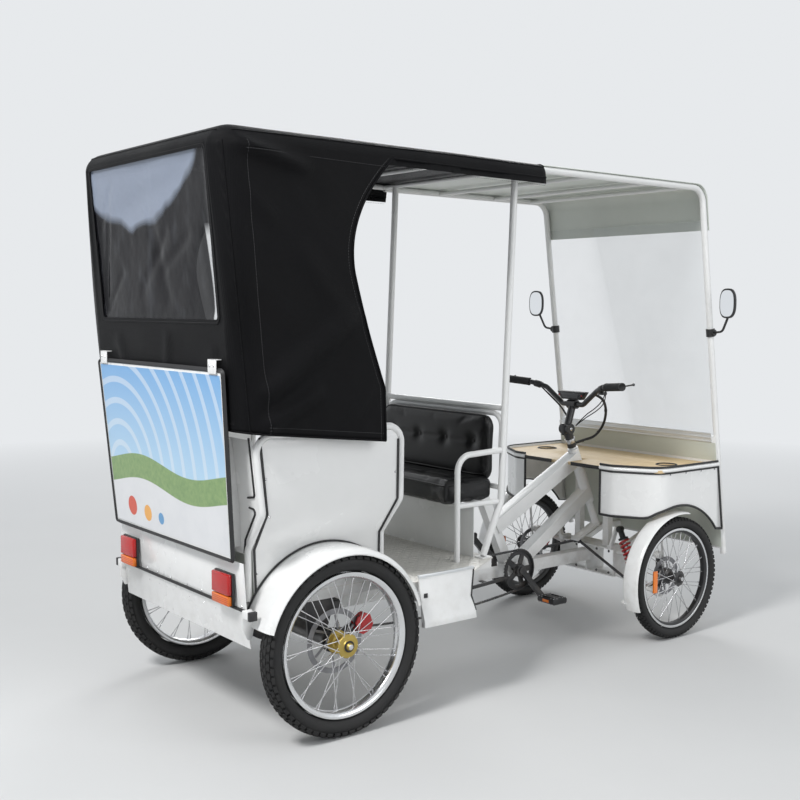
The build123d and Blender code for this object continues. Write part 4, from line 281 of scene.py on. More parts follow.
def tyre_finish():
    material, tree, principled, coordinates = shader("tyre rubber")
    patches = noise_of(tree, coordinates, 14.0, 6.0)
    fine = noise_of(tree, coordinates, 500.0, 2.0)
    colour = blended(tree, between(tree, patches, 0.4, 0.75), (0.0065, 0.0065, 0.007),
                     (0.021, 0.0205, 0.0195))
    wired(tree, principled, {"Base Color": colour, "Roughness": between(tree, patches, 0.3, 0.7, 0.62, 0.85)})
    bumped(tree, principled, fine, 0.3, 0.0008)
    return material


def brushed_finish(name, colour, long_axis, metallic):
    material, tree, principled, coordinates = shader(name)
    scale = [260.0, 260.0, 260.0]
    scale[long_axis] = 4.0
    lines = noise_of(tree, stretched(tree, coordinates, tuple(scale)), 2.0, 4.0)
    bumped(tree, principled, lines, 0.08, 0.0004)
    wired(tree, principled, {"Base Color": blended(tree, lines, tuple(c * 0.85 for c in colour), colour),
                             "Roughness": between(tree, lines, 0.3, 0.7, 0.24, 0.4), "Metallic": metallic})
    return material


plywood = plywood_finish()
tyre_rubber = tyre_finish()
floor_metal = brushed_finish("checker plate aluminium", (0.74, 0.72, 0.67), 0, 0.15)


# %% [markdown]
# ## Clear sheets
# The windscreen is a thin clear sheet. Seen face on it shows almost nothing, and at a glancing angle it
# mirrors. Alpha that grows with Fresnel does that, and light still passes through to what is behind. The
# rear window is a thin vinyl sheet whose colour holds painted shade of the dark inside, a painted sky
# reflection and painted streaks.


# %% Clear sheets
def clear_finish(name, colour, least, most, rough, ripple):
    material, tree, principled, coordinates = shader(name)
    weight = tree.nodes.new("ShaderNodeLayerWeight")
    wired(tree, weight, {"Blend": 0.35})
    haze = between(tree, noise_of(tree, coordinates, 7.0, 5.0), 0.35, 0.75, 0.0, 0.025)
    alpha = between(tree, weight.outputs["Fresnel"], 0.0, 0.8, least, most)
    wired(tree, principled, {"Alpha": maths(tree, "ADD", alpha, haze),
                             "Base Color": blended(tree, haze, colour, (0.8, 0.82, 0.84)),
                             "Roughness": rough, "Specular IOR Level": 0.6})
    bumped(tree, principled, noise_of(tree, coordinates, 9.0, 3.0), ripple, 0.01)
    return material


def window_finish():
    """Painted shade of the dark inside, a painted sky reflection and streaks, paler where doubled at the
    right.
    """
    material, tree, principled, coordinates = shader("clear window vinyl")
    split = tree.nodes.new("ShaderNodeSeparateXYZ")
    tree.links.new(coordinates, split.inputs[0])
    y, z = split.outputs["Y"], split.outputs["Z"]
    # Painted sky reflection: pale blue above a wandering bowl-shaped line across the upper window.
    wander = between(tree, noise_of(tree, coordinates, 5.0, 2.0), 0.3, 0.7, -0.02, 0.02)
    bowl = maths(tree, "MULTIPLY", maths(tree, "ADD", y, -0.12), maths(tree, "ADD", y, -0.12))
    line = maths(tree, "ADD", maths(tree, "ADD", maths(tree, "MULTIPLY", bowl, 0.9), 1.63), wander)
    painted_sky_reflection = between(tree, maths(tree, "SUBTRACT", z, line), -0.012, 0.022)
    strip = between(tree, maths(tree, "ADD", y, maths(tree, "MULTIPLY", maths(tree, "SUBTRACT", z, 1.33),
                                                      -0.06)), -0.378, -0.384)
    strip = maths(tree, "MULTIPLY", strip, between(tree, z, 1.62, 1.58))
    # Painted reflection streaks: faint pale stripes in the colour.
    streaks = noise_of(tree, stretched(tree, coordinates, (1.0, 9.0, 3.0)), 2.0, 6.0)
    painted_streaks = between(tree, streaks, 0.55, 0.72, 0.0, 0.22)
    # The near-black base and high alpha are painted shade of the dark canopy inside, seen through clear
    # vinyl.
    colour = blended(tree, painted_streaks, (0.008, 0.008, 0.010), (0.13, 0.14, 0.16))
    colour = blended(tree, maths(tree, "MULTIPLY", painted_sky_reflection, 0.62), colour, (0.40, 0.46, 0.58))
    colour = blended(tree, maths(tree, "MULTIPLY", strip, 0.85), colour, (0.66, 0.67, 0.68))
    pale = maths(tree, "MAXIMUM", painted_sky_reflection, strip)
    wired(tree, principled, {"Base Color": colour, "Alpha": between(tree, pale, 0.0, 1.0, 0.80, 0.93),
                             "Roughness": 0.06, "Specular IOR Level": 0.2})
    bumped(tree, principled, noise_of(tree, coordinates, 9.0, 3.0), 0.35, 0.012)
    return material


clear_vinyl = window_finish()
clear_screen = clear_finish("clear screen", (0.66, 0.70, 0.71), 0.015, 0.25, 0.03, 0.012)
print("materials:", len(bpy.data.materials))

# %% [markdown]
# ## Floor and light
# A pale floor with a soft shadow, and three large soft lamps. The white of the background comes from the
# world as the camera sees it, so that no extra light falls on the white paint.


# %% Floor, world and lamps
BACKDROP = (0.80, 0.82, 0.84, 1.0)


def seen_directly(tree):
    """One for the camera's own rays and for those that mirror or pass through, none for soft light."""
    path = tree.nodes.new("ShaderNodeLightPath")
    mirrored = maths(tree, "MAXIMUM", path.outputs["Is Glossy Ray"], path.outputs["Is Transmission Ray"])
    return maths(tree, "MAXIMUM", path.outputs["Is Camera Ray"], mirrored)


def make_floor():
    material, tree, principled, coordinates = shader("studio floor")
    tone = noise_of(tree, coordinates, 1.2, 4.0)
    wired(tree, principled, {"Base Color": blended(tree, tone, (0.60, 0.60, 0.595), (0.64, 0.64, 0.635)),
                             "Roughness": 0.9, "Specular IOR Level": 0.1})
    distance = tree.nodes.new("ShaderNodeVectorMath")
    distance.operation = "LENGTH"
    tree.links.new(coordinates, distance.inputs[0])
    far = between(tree, distance.outputs["Value"], 2.2, 8.0)
    glow, mix = tree.nodes.new("ShaderNodeEmission"), tree.nodes.new("ShaderNodeMixShader")
    wired(tree, glow, {"Color": BACKDROP})
    wired(tree, mix, {"Fac": maths(tree, "MULTIPLY", far, seen_directly(tree)), 1: principled.outputs[0],
                      2: glow.outputs[0]})
    side, clear, both = (tree.nodes.new(f"ShaderNode{kind}") for kind in ("NewGeometry", "BsdfTransparent",
                                                                          "MixShader"))
    wired(tree, both, {"Fac": side.outputs["Backfacing"], 1: mix.outputs[0], 2: clear.outputs[0]})
    tree.links.new(both.outputs[0], tree.nodes["Material Output"].inputs["Surface"])
    mesh = bpy.data.meshes.new("studio_floor")
    reach = 40.0
    mesh.from_pydata([(-reach, -reach, 0), (reach, -reach, 0), (reach, reach, 0), (-reach, reach, 0)], [],
                     [(0, 1, 2, 3)])
    mesh.materials.append(material)
    floor = bpy.data.objects.new("studio_floor", mesh)
    bpy.context.scene.collection.objects.link(floor)


def make_world():
    world = bpy.data.worlds.new("studio")
    bpy.context.scene.world = world
    world.use_nodes = True
    tree = world.node_tree
    lit = tree.nodes["Background"]
    wired(tree, lit, {"Color": (0.90, 0.95, 1.0, 1.0), "Strength": 0.52})
    seen = tree.nodes.new("ShaderNodeBackground")
    wired(tree, seen, {"Color": BACKDROP, "Strength": 1.0})
    mix = tree.nodes.new("ShaderNodeMixShader")
    wired(tree, mix, {"Fac": seen_directly(tree), 1: lit.outputs[0], 2: seen.outputs[0]})
    tree.links.new(mix.outputs[0], tree.nodes["World Output"].inputs["Surface"])


def make_lamp(name, place, target, size, power):
    data = bpy.data.lights.new(name, "AREA")
    data.shape = "DISK"
    data.size = size
    data.energy = power
    lamp = bpy.data.objects.new(name, data)
    lamp.location = place
    lamp.rotation_euler = (Vector(target) - Vector(place)).to_track_quat("-Z", "Y").to_euler()
    bpy.context.scene.collection.objects.link(lamp)


make_floor()
make_world()
make_lamp("key", (-4.5, -1.2, 5.2), (0, 0, 0.6), 1.6, 285)
make_lamp("fill", (1.5, -6.0, 3.4), (0, 0, 0.9), 4.0, 120)
make_lamp("rim", (3.5, 4.0, 4.0), (0, 0, 0.8), 3.0, 110)

# %% [markdown]
# ## From a CAD node to a finished piece
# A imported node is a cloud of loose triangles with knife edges. A copy of it is welded, its flat faces are
# joined again, its edges get a small bevel that catches the light, and the copy then stands for the node.
# The node itself is never touched.


# %% Dressing helpers
EDGE_BEVEL, WELD, SHARP_EDGE = 0.0008, 0.00002, 38


def own_object(name, mesh, material, body):
    """Put a mesh in the scene as a piece that rides on a body."""
    mesh.materials.clear()
    mesh.materials.append(material)
    piece = bpy.data.objects.new(name, mesh)
    bpy.context.scene.collection.objects.link(piece)
    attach(piece, body)
    return piece


def shade(mesh, limit):
    """Smooth faces, with edges sharper than the limit kept sharp."""
    build = bmesh.new()
    build.from_mesh(mesh)
    for face in build.faces:
        face.smooth = True
    for edge in build.edges:
        edge.smooth = len(edge.link_faces) == 2 and edge.calc_face_angle(math.pi) < limit
    build.to_mesh(mesh)
    build.free()


def bevelled(build, width, limit, slide=False):
    """Round the edges that turn by more than the limit."""
    sharp = [e for e in build.edges
             if len(e.link_faces) == 2 and e.calc_face_angle(0.0) > math.radians(limit)]
    bmesh.ops.bevel(build, geom=sharp, offset=width, segments=2, profile=0.5, affect="EDGES",
                    clamp_overlap=True, loop_slide=slide)


def welded_copy(node):
    """Copy of a node's mesh, welded, with flat faces joined and edges bevelled."""
    mesh = frame["nodes"][node].data.copy()
    build = bmesh.new()
    build.from_mesh(mesh)
    bmesh.ops.remove_doubles(build, verts=build.verts, dist=WELD)
    bmesh.ops.dissolve_limit(build, angle_limit=math.radians(1.0), verts=build.verts, edges=build.edges)
    bevelled(build, EDGE_BEVEL, 40, True)
    build.to_mesh(mesh)
    build.free()
    shade(mesh, math.radians(SHARP_EDGE))
    return mesh


def dress(node, material):
    """Welded copy that stands for the node."""
    piece = own_object(f"{node}_finish", welded_copy(node), material, frame["nodes"][node]["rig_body"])
    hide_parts(node)


# %% [markdown]
# ## Tubes, lathed shapes and sheets in mesh code
# Bent tubes are a ring of points carried along a route whose corners are rounded. Wheels, tyres and
# mudguards are a profile turned about the Y axis. Both give clean quads that can be smoothed and that face
# outwards.


# %% Path helpers
BEND_STEP = math.radians(8)
AHEAD, LEFT, UP = Vector((1, 0, 0)), Vector((0, 1, 0)), Vector((0, 0, 1))
SIDES = (("left", 1), ("right", -1))


def at(x, y, z):
    """Point measured from the rear axle, moved into the frame."""
    return Vector((x - MIDDLE_X, y, z))


def rounded(points, bends):
    """Route whose inner corners are arcs of the bend radii."""
    route = [points[0].copy()]
    for before, corner, after, bend in zip(points, points[1:], points[2:], bends):
        into, out = (corner - before).normalized(), (after - corner).normalized()
        turn = into.angle(out)
        if bend <= 0 or turn < 0.001:
            route.append(corner.copy())
            continue
        centre = corner + (out - into).normalized() * (bend / math.cos(turn / 2))
        spin = into.cross(out)
        start = corner - into * (bend * math.tan(turn / 2)) - centre
        count = max(2, math.ceil(turn / BEND_STEP))
        for number in range(count + 1):
            route.append(centre + Matrix.Rotation(turn * number / count, 3, spin) @ start)
    route.append(points[-1].copy())
    return route


def circle_section(radius, sides):
    return [(radius * math.cos(math.tau * k / sides), radius * math.sin(math.tau * k / sides))
            for k in range(sides)]


def skin(rings, closed=False):
    """Vertices and faces through rings of equal count, joined end to start or capped at both ends."""
    count, sides = len(rings), len(rings[0])
    faces = []
    for k in range(count if closed else count - 1):
        low, high = k * sides, (k + 1) % count * sides
        faces += [(low + j, low + (j + 1) % sides, high + (j + 1) % sides, high + j) for j in range(sides)]
    if not closed:
        faces.append(tuple(range(sides))[::-1])
        faces.append(tuple(range((count - 1) * sides, count * sides)))
    return [point for ring in rings for point in ring], faces


def bar_section(half_width, half_height):
    return [(-half_width, -half_height), (half_width, -half_height), (half_width, half_height),
            (-half_width, half_height)]


def carried(route, section, up=None, closed=False):
    """Vertices and faces of a section carried along a route without twist."""
    count = len(route)
    tangents = []
    for k, point in enumerate(route):
        before = route[k - 1] if k or closed else point
        after = route[(k + 1) % count] if k + 1 < count or closed else point
        tangents.append((after - before).normalized())
    side = (up.cross(tangents[0]) if up else tangents[0].orthogonal()).normalized()
    rings = []
    for point, tangent in zip(route, tangents):
        side = (up.cross(tangent) if up else side - tangent * side.dot(tangent)).normalized()
        top = tangent.cross(side)
        rings.append([point + side * u + top * v for u, v in section])
    return skin(rings, closed)


def around_y(radius, angle, y=0.0):
    """Vector at an angle round the Y axis."""
    return Vector((radius * math.cos(angle), y, radius * math.sin(angle)))


def lathed(centre, profile, steps, start=0.0, end=math.tau):
    """Closed profile of (y, radius) points turned about the Y axis from start to end."""
    whole = abs(end - start - math.tau) < 0.001
    angles = [start + (end - start) * k / steps for k in range(steps if whole else steps + 1)]
    return skin([[centre + around_y(r, angle, y) for y, r in profile] for angle in angles], whole)


def box_part(low, high):
    """Plain block between two corners, to be joined and bevelled with others."""
    verts = [Vector((x, y, z)) for x in (low[0], high[0]) for y in (low[1], high[1])
             for z in (low[2], high[2])]
    faces = [(0, 1, 3, 2), (4, 6, 7, 5), (0, 4, 5, 1), (2, 3, 7, 6), (0, 2, 6, 4), (1, 5, 7, 3)]
    return verts, faces


def joined_mesh(name, parts, bevel, limit):
    """One mesh from several parts, with outward faces, and its sharp edges bevelled."""
    build = bmesh.new()
    for verts, faces in parts:
        made = [build.verts.new(v) for v in verts]
        for face in faces:
            build.faces.new([made[k] for k in face])
    bmesh.ops.recalc_face_normals(build, faces=build.faces)
    if bevel:
        bevelled(build, bevel, limit)
    mesh = bpy.data.meshes.new(name)
    build.to_mesh(mesh)
    build.free()
    shade(mesh, math.radians(limit))
    return mesh


def piece_of(name, parts, material, body, replaced=(), bevel=0.0, limit=SHARP_EDGE):
    """Joined mesh as a riding piece that may stand for CAD nodes."""
    piece = own_object(name, joined_mesh(name, parts, bevel, limit), material, body)
    if replaced:
        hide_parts(*replaced)
    return piece


def tube(points, radius, bends=(), sides=18):
    return carried(rounded([at(*p) for p in points], bends), circle_section(radius, sides))


def side_block(s, x, y, z):
    """Block between two values on each axis, given for the left side and put on side s."""
    near, far = sorted((s * y[0], s * y[1]))
    return box_part(at(x[0], near, z[0]), at(x[1], far, z[1]))


def flipped(points):
    """The same points on the right side."""
    return [(x, -y, z) for x, y, z in points]


def sides_of(points):
    return (points, flipped(points))


# %% [markdown]
# ## Things that repeat
# Spokes, tread blocks, chain links, screws and the lozenges of the checker plate repeat hundreds of times.
# A small Geometry Nodes tree puts one shape on every point of a list, turned and sized by the point's own
# attributes. The result is turned into a plain mesh, so nothing live is left in the file.


# %% Repeating tree
def repeat_tree(shape):
    """Tree: one primitive on every point, with named sizes, realized and given its material."""
    tree = bpy.data.node_groups.new(f"repeat {shape}", "GeometryNodeTree")
    face = tree.interface
    face.new_socket("Places", in_out="INPUT", socket_type="NodeSocketGeometry")
    for size in ("Length", "Width", "Height"):
        face.new_socket(size, in_out="INPUT", socket_type="NodeSocketFloat")
    face.new_socket("Sides", in_out="INPUT", socket_type="NodeSocketInt")
    face.new_socket("Finish", in_out="INPUT", socket_type="NodeSocketMaterial")
    face.new_socket("Result", in_out="OUTPUT", socket_type="NodeSocketGeometry")
    node, link = tree.nodes.new, tree.links.new
    into, out = node("NodeGroupInput"), node("NodeGroupOutput")
    if shape == "block":
        solid = node("GeometryNodeMeshCube")
        size = node("ShaderNodeCombineXYZ")
        for k, name in enumerate(("Length", "Width", "Height")):
            link(into.outputs[name], size.inputs[k])
        link(size.outputs[0], solid.inputs["Size"])
    else:
        solid = node("GeometryNodeMeshCone")
        link(into.outputs["Sides"], solid.inputs["Vertices"])
        link(into.outputs["Width"], solid.inputs["Radius Bottom"])
        link(into.outputs["Height"], solid.inputs["Radius Top"])
        link(into.outputs["Length"], solid.inputs["Depth"])
        back, shift = node("ShaderNodeMath"), node("ShaderNodeCombineXYZ")
        centred = node("GeometryNodeTransform")
        back.operation = "MULTIPLY"
        back.inputs[1].default_value = -0.5
        link(into.outputs["Length"], back.inputs[0])
        link(back.outputs[0], shift.inputs["Z"])
        link(solid.outputs["Mesh"], centred.inputs["Geometry"])
        link(shift.outputs[0], centred.inputs["Translation"])
        solid = centred
    turn, size = node("GeometryNodeInputNamedAttribute"), node("GeometryNodeInputNamedAttribute")
    for attribute, name in ((turn, "turn"), (size, "size")):
        attribute.data_type = "FLOAT_VECTOR"
        attribute.inputs["Name"].default_value = name
    spread = node("GeometryNodeInstanceOnPoints")
    link(into.outputs["Places"], spread.inputs["Points"])
    link(solid.outputs[0], spread.inputs["Instance"])
    link(turn.outputs["Attribute"], spread.inputs["Rotation"])
    link(size.outputs["Attribute"], spread.inputs["Scale"])
    real, paint = node("GeometryNodeRealizeInstances"), node("GeometryNodeSetMaterial")
    link(spread.outputs[0], real.inputs[0])
    link(real.outputs[0], paint.inputs["Geometry"])
    link(into.outputs["Finish"], paint.inputs["Material"])
    link(paint.outputs[0], out.inputs[0])
    return tree


TREES = {"block": repeat_tree("block"), "rod": repeat_tree("rod")}


def repeated(name, places, shape, sizes, material, body, sides=6):
    """Places are (point, z direction, x direction or None, scale). sizes are Length, Width and Height."""
    mesh = bpy.data.meshes.new(name)
    mesh.from_pydata([p[0] for p in places], [], [])
    turn = mesh.attributes.new("turn", "FLOAT_VECTOR", "POINT")
    size = mesh.attributes.new("size", "FLOAT_VECTOR", "POINT")
    for k, (_, up, ahead, scale) in enumerate(places):
        up = up.normalized()
        ahead = (ahead or up.orthogonal())
        ahead = (ahead - up * ahead.dot(up)).normalized()
        matrix = Matrix((ahead, up.cross(ahead), up)).transposed()
        turn.data[k].vector = matrix.to_euler()
        size.data[k].vector = scale if isinstance(scale, tuple) else (scale, scale, scale)
    holder = bpy.data.objects.new(name + "_places", mesh)
    bpy.context.scene.collection.objects.link(holder)
    modifier = holder.modifiers.new("repeat", "NODES")
    modifier.node_group = TREES[shape]
    values = dict(zip(("Length", "Width", "Height"), sizes), Sides=sides, Finish=material)
    for item in TREES[shape].interface.items_tree:
        if item.name in values:
            modifier[item.identifier] = values[item.name]
    result = bpy.data.meshes.new_from_object(holder.evaluated_get(bpy.context.evaluated_depsgraph_get()))
    bpy.data.objects.remove(holder)
    for attribute in ("turn", "size"):
        if attribute in result.attributes:
            result.attributes.remove(result.attributes[attribute])
    result.name = name
    shade(result, math.radians(50))
    print(name, "repeats", len(places), "times,", len(result.polygons), "faces")
    return own_object(name, result, material, body)


# %% [markdown]
# ## White tube frame
# The hoop over the rider, the canopy's rails and posts, the bench's arms and the body's edge tubes are all
# round tube with smooth bends. The CAD draws them with flat sides, so each is swept again along the same
# route.

# %% Tube frames
THICK, MEDIUM, THIN = 0.013, 0.011, 0.009
HOOP_POST = [(2.0416, 0.45, 0.315), (1.8327, 0.45, 1.86), (0.8793, 0.45, 1.8664)]
hoop = [tube(side, THICK, [0.07]) for side in sides_of(HOOP_POST)]
for x, z in ((2.0377, 0.351), (1.9762, 0.806), (1.1793, 1.8614), (1.5, 1.8592), (1.7327, 1.8577)):
    hoop.append(tube([(x, -0.45, z), (x, 0.45, z)], THIN))
piece_of("rider_hoop_tubes", hoop, white_paint, "chassis", ["rider_hoop"])

CANOPY_RAIL = [(-0.2419, 0.477, 0.9949), (-0.2419, 0.477, 1.0536), (-0.357, 0.441, 1.1836),
               (-0.357, 0.441, 1.8894), (0.868, 0.441, 1.8704)]
FRONT_POST = [(0.728, 0.357, 0.4613), (0.815, 0.357, 0.657), (0.868, 0.357, 1.8684)]
canopy_tubes = [tube(side, MEDIUM, [0.06, 0.06, 0.05]) for side in sides_of(CANOPY_RAIL)]
canopy_tubes += [tube(side, THICK, [0.06]) for side in sides_of(FRONT_POST)]
for x, z in ((-0.297, 1.8875), (0.0, 1.8829), (0.29, 1.8783), (0.58, 1.8738), (0.868, 1.8694)):
    canopy_tubes.append(tube([(x, -0.441, z), (x, 0.441, z)], THIN))
for y in (-0.357, 0.357):
    canopy_tubes.append(box_part(at(0.706, y - 0.022, 0.4553), at(0.752, y + 0.022, 0.4603)))
piece_of("canopy_tubes", canopy_tubes, white_paint, "chassis", ["canopy_frame"])

BENCH_ARM = [(0.8094, 0.357, 0.846), (0.602, 0.357, 0.838), (0.602, 0.357, 0.4553)]
bench_tubes = [tube(side, MEDIUM, [0.06]) for side in sides_of(BENCH_ARM)]
REST_FRAME = [(0.8235, -0.345, 0.846), (0.829, -0.345, 0.9785), (0.829, 0.345, 0.9785),
              (0.8235, 0.345, 0.846)]
bench_tubes.append(tube(REST_FRAME, 0.0105, [0.05, 0.05]))
bench_tubes += [tube(side, 0.01) for side in sides_of([(0.796, 0.357, 0.657), (0.602, 0.357, 0.657)])]
for x, z, radius, reach in ((0.63, 0.656, THIN, 0.357), (0.72, 0.656, THIN, 0.357),
                            (0.8172, 0.707, MEDIUM, 0.3437), (0.8298, 1.0, MEDIUM, 0.3437)):
    bench_tubes.append(tube([(x, -reach, z), (x, reach, z)], radius))
piece_of("bench_tubes", bench_tubes, white_paint, "chassis", ["bench_frame"])

BODY_EDGE = [(-0.2756, 0.381, 0.4553), (-0.2756, 0.381, 0.617), (-0.2796, 0.477, 0.742),
             (-0.3069, 0.477, 0.9836), (0.2518, 0.477, 0.9836), (0.2486, 0.477, 0.742),
             (0.2396, 0.381, 0.617), (0.2396, 0.381, 0.4553)]
edge_tubes = [tube(side, MEDIUM, [0.03, 0.03, 0.055, 0.055, 0.03, 0.03]) for side in sides_of(BODY_EDGE)]
piece_of("body_edge_tubes", edge_tubes, white_paint, "chassis", ["side_frames"])

# %% [markdown]
# ## Wheels
# Rear wheels have silver motorcycle-type rims with crossed spokes and a gold hub; the front wheels have
# black rims with a machined edge. The same functions make the parts of all four.

# %% Wheel parts
REAR_RADIUS, FRONT_RADIUS, WHEELBASE, FRONT_TRACK = 0.297, 0.253, 1.722, 0.44
ROUND, TYRE_STEPS, SPOKES = 120, 26, 36
BEAD_ANGLE, TYRE_SWEEP = math.radians(62), math.radians(304)
RIM_PROFILE = [(-0.5, 0.0), (-0.5, -0.006), (-0.44, -0.013), (-0.3, -0.0185), (0.0, -0.0205),
               (0.3, -0.0185), (0.44, -0.013), (0.5, -0.006), (0.5, 0.0), (0.45, 0.0012), (0.41, -0.001),
               (0.39, -0.009), (0.25, -0.014), (0.0, -0.0155), (-0.25, -0.014), (-0.39, -0.009),
               (-0.41, -0.001), (-0.45, 0.0012)]


def tyre_profile(radius, width, rim_radius):
    """Round carcass from bead to bead, as a closed line."""
    crown = radius - 0.003
    middle = (crown + rim_radius) / 2
    tall = (crown - rim_radius) / 2
    outline = []
    for k in range(TYRE_STEPS + 1):
        a = -BEAD_ANGLE + TYRE_SWEEP * k / TYRE_STEPS
        y = math.cos(a) * width / 2
        r = middle + math.sin(a) * tall
        outline.append((y, r))
    outline = [(y, max(r, rim_radius + 0.001)) for y, r in outline]
    return outline[::-1]


def hub_parts(centre, width, flange, side):
    """Barrel, two flanges and outer cap; the brake disc on the inner side comes from disc_parts."""
    half = width / 2
    line = [(-half, 0.006), (-half, 0.017), (-half + 0.001, flange - 0.002), (-half + 0.0035, flange),
            (-half + 0.006, flange - 0.002), (-half + 0.008, 0.024), (-half + 0.014, 0.019),
            (half - 0.014, 0.019), (half - 0.008, 0.024), (half - 0.006, flange - 0.002),
            (half - 0.0035, flange), (half - 0.001, flange - 0.002), (half, 0.022), (half + 0.003, 0.02),
            (half + 0.004, 0.013), (half + 0.009, 0.012), (half + 0.0135, 0.009), (half + 0.0138, 0.006)]
    return lathed(centre, [(side * y, r) for y, r in line], 48)


def disc_parts(centre, width, side, radius):
    inner = -(width / 2 + 0.012)
    plate = [(inner - 0.0012, radius - 0.018), (inner - 0.0012, radius), (inner + 0.0012, radius),
             (inner + 0.0012, radius - 0.018)]
    carrier = [(inner - 0.0015, 0.012), (inner - 0.0015, 0.034), (inner + 0.0105, 0.03),
               (inner + 0.0105, 0.012)]
    parts = [lathed(centre, [(side * y, r) for y, r in outline], 64) for outline in (plate, carrier)]
    for k in range(6):
        a = math.tau * k / 6
        foot = centre + around_y(0.03, a, side * inner)
        tip = centre + around_y(radius - 0.02, a + 0.5, side * inner)
        parts.append(carried([foot, tip], bar_section(0.004, 0.001), LEFT))
    return parts


def spoke_places(centre, edge, hub_width, flange):
    """Spokes from the flanges to the rim, every other one leaning the other way, and their nipples."""
    spokes, nipples = [], []
    per_side = SPOKES // 2
    tip = edge - 0.0195
    for end in (-1, 1):
        for number in range(per_side):
            a = math.tau / per_side * (number + (0.25 if end > 0 else 0.0))
            b = a + math.radians(40 if number % 2 else -40)
            lift = 0.002 if number % 2 else -0.002
            foot = centre + around_y(flange - 0.004, a, end * (hub_width / 2 - 0.004) + lift)
            head = centre + around_y(tip, b, end * 0.005)
            run = head - foot
            spokes.append(((foot + head) / 2, run, None, (1, 1, run.length)))
            nipples.append((head - run.normalized() * 0.007, run, None, 1))
    return spokes, nipples


def tread_places(centre, radius, width, rows, count):
    """Tread blocks on the crown: rows are (share of half width, share of a pitch, drop)."""
    places = []
    for share, shift, drop in rows:
        for k in range(count):
            a = math.tau * (k + shift) / count
            out = around_y(1, a)
            lean = (out * math.cos(math.radians(62 * share)) + LEFT * math.sin(math.radians(62 * share)))
            point = centre + out * (radius - drop) + Vector((0, share * width / 2, 0))
            places.append((point, lean, Vector((-math.sin(a), 0, math.cos(a))), 1))
    return places


WHEELS = {"rear": dict(x=0.0, track=0.5, radius=REAR_RADIUS, width=0.066, rim=0.235, rim_width=0.048,
                       hub=0.066, flange=0.039, disc=0.106), "front": dict(x=WHEELBASE, track=FRONT_TRACK,
                                                                           radius=FRONT_RADIUS, width=0.054,
                                                                           rim=0.208, rim_width=0.034,
                                                                           hub=0.062, flange=0.033,
                                                                           disc=0.080),}
REAR_ROWS = [(-0.92, 0.0, 0.0105), (-0.6, 0.5, 0.0035), (-0.2, 0.0, 0.0008), (0.2, 0.5, 0.0008),
             (0.6, 0.0, 0.0035), (0.92, 0.5, 0.0105)]
FRONT_ROWS = [(-0.8, 0.0, 0.0062), (-0.4, 0.5, 0.0018), (0.0, 0.0, 0.0005), (0.4, 0.5, 0.0018),
              (0.8, 0.0, 0.0062)]
for end, w in WHEELS.items():
    rear = end == "rear"
    for name, side in SIDES:
        body = f"{end}_wheel_{name}"
        centre = at(w["x"], side * w["track"], w["radius"])
        rim = [(u * w["rim_width"], w["rim"] + v) for u, v in RIM_PROFILE]
        piece_of(f"{end}_rim_{name}", [lathed(centre, rim, ROUND)], alloy if rear else black_plastic, body,
                 [f"{end}_wheel_{name}"])
        if not rear:
            ring = [(side * 0.0172, 0.2076), (side * 0.0178, 0.2045), (side * 0.0178, 0.1995),
                    (side * 0.0168, 0.1985), (side * 0.0165, 0.2076)]
            piece_of(f"front_rim_edge_{name}", [lathed(centre, ring, ROUND)], alloy, body)
        piece_of(f"{end}_hub_{name}", [hub_parts(centre, w["hub"], w["flange"], side)], zinc_gold if rear
                 else black_paint, body)
        piece_of(f"{end}_disc_{name}", disc_parts(centre, w["hub"], side, w["disc"]), disc_steel, body)
        reach = w["hub"] / 2
        collar = [(reach + 0.0005, 0.012), (reach + 0.0005, 0.019), (reach + 0.0052, 0.0185),
                  (reach + 0.0052, 0.012)]
        piece_of(f"{end}_hub_collar_{name}", [lathed(centre, [(side * y, r) for y, r in collar], 40)],
                 black_rubber, body)
        nut = [centre + Vector((0, side * (reach + y), 0)) for y in (0.004, 0.0142)]
        piece_of(f"{end}_hub_nut_{name}", [carried(nut, circle_section(0.0095, 6))], bright_steel, body,
                 bevel=0.0008)
        piece_of(f"{end}_tyre_{name}_carcass",
                 [lathed(centre, tyre_profile(w["radius"], w["width"], w["rim"]), ROUND)], tyre_rubber,
                 body, [f"{end}_tyre_{name}"])
        spokes, nipples = spoke_places(centre, w["rim"], w["hub"], w["flange"])
        fan = repeated(f"{end}_spoke_fan_{name}", spokes, "rod", (1.0, 0.0015, 0.0015), bright_steel, body,
                       8)
        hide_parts(f"{end}_spokes_{name}")
        repeated(f"{end}_nipples_{name}", nipples, "rod", (0.013, 0.0022, 0.0018), bright_steel, body,
                 6)
        rows, count = (REAR_ROWS, 62) if rear else (FRONT_ROWS, 76)
        sizes = (0.0205, 0.0105, 0.0065) if rear else (0.0125, 0.0075, 0.004)
        repeated(f"{end}_tread_{name}", tread_places(centre, w["radius"] - sizes[2] / 2, w["width"], rows,
                                                     count), "block", sizes, tyre_rubber, body)

# %% [markdown]
# ## Mudguards
# Rear: a half ring standing out from the body side, with its outer edge turned down and rolled. Front: a
# crowned strip on two stays that turns with the knuckle.

# %% Mudguards
def guard_profile(inner, outer, radius):
    """Section of the rear mudguard from the body out to its rolled edge, as (y, radius)."""
    top = [(inner, radius), (inner + 0.02, radius + 0.0022), (outer - 0.03, radius + 0.0022),
           (outer - 0.012, radius), (outer - 0.003, radius - 0.005), (outer, radius - 0.012)]
    bead = [(outer + 0.0035, radius - 0.0155), (outer + 0.002, radius - 0.0195),
            (outer - 0.002, radius - 0.0195), (outer - 0.0035, radius - 0.016),
            (outer - 0.0025, radius - 0.012)]
    under = [(outer - 0.006, radius - 0.0065), (outer - 0.014, radius - 0.0025), (outer - 0.03, radius),
             (inner + 0.02, radius), (inner, radius - 0.002)]
    return top + bead + under


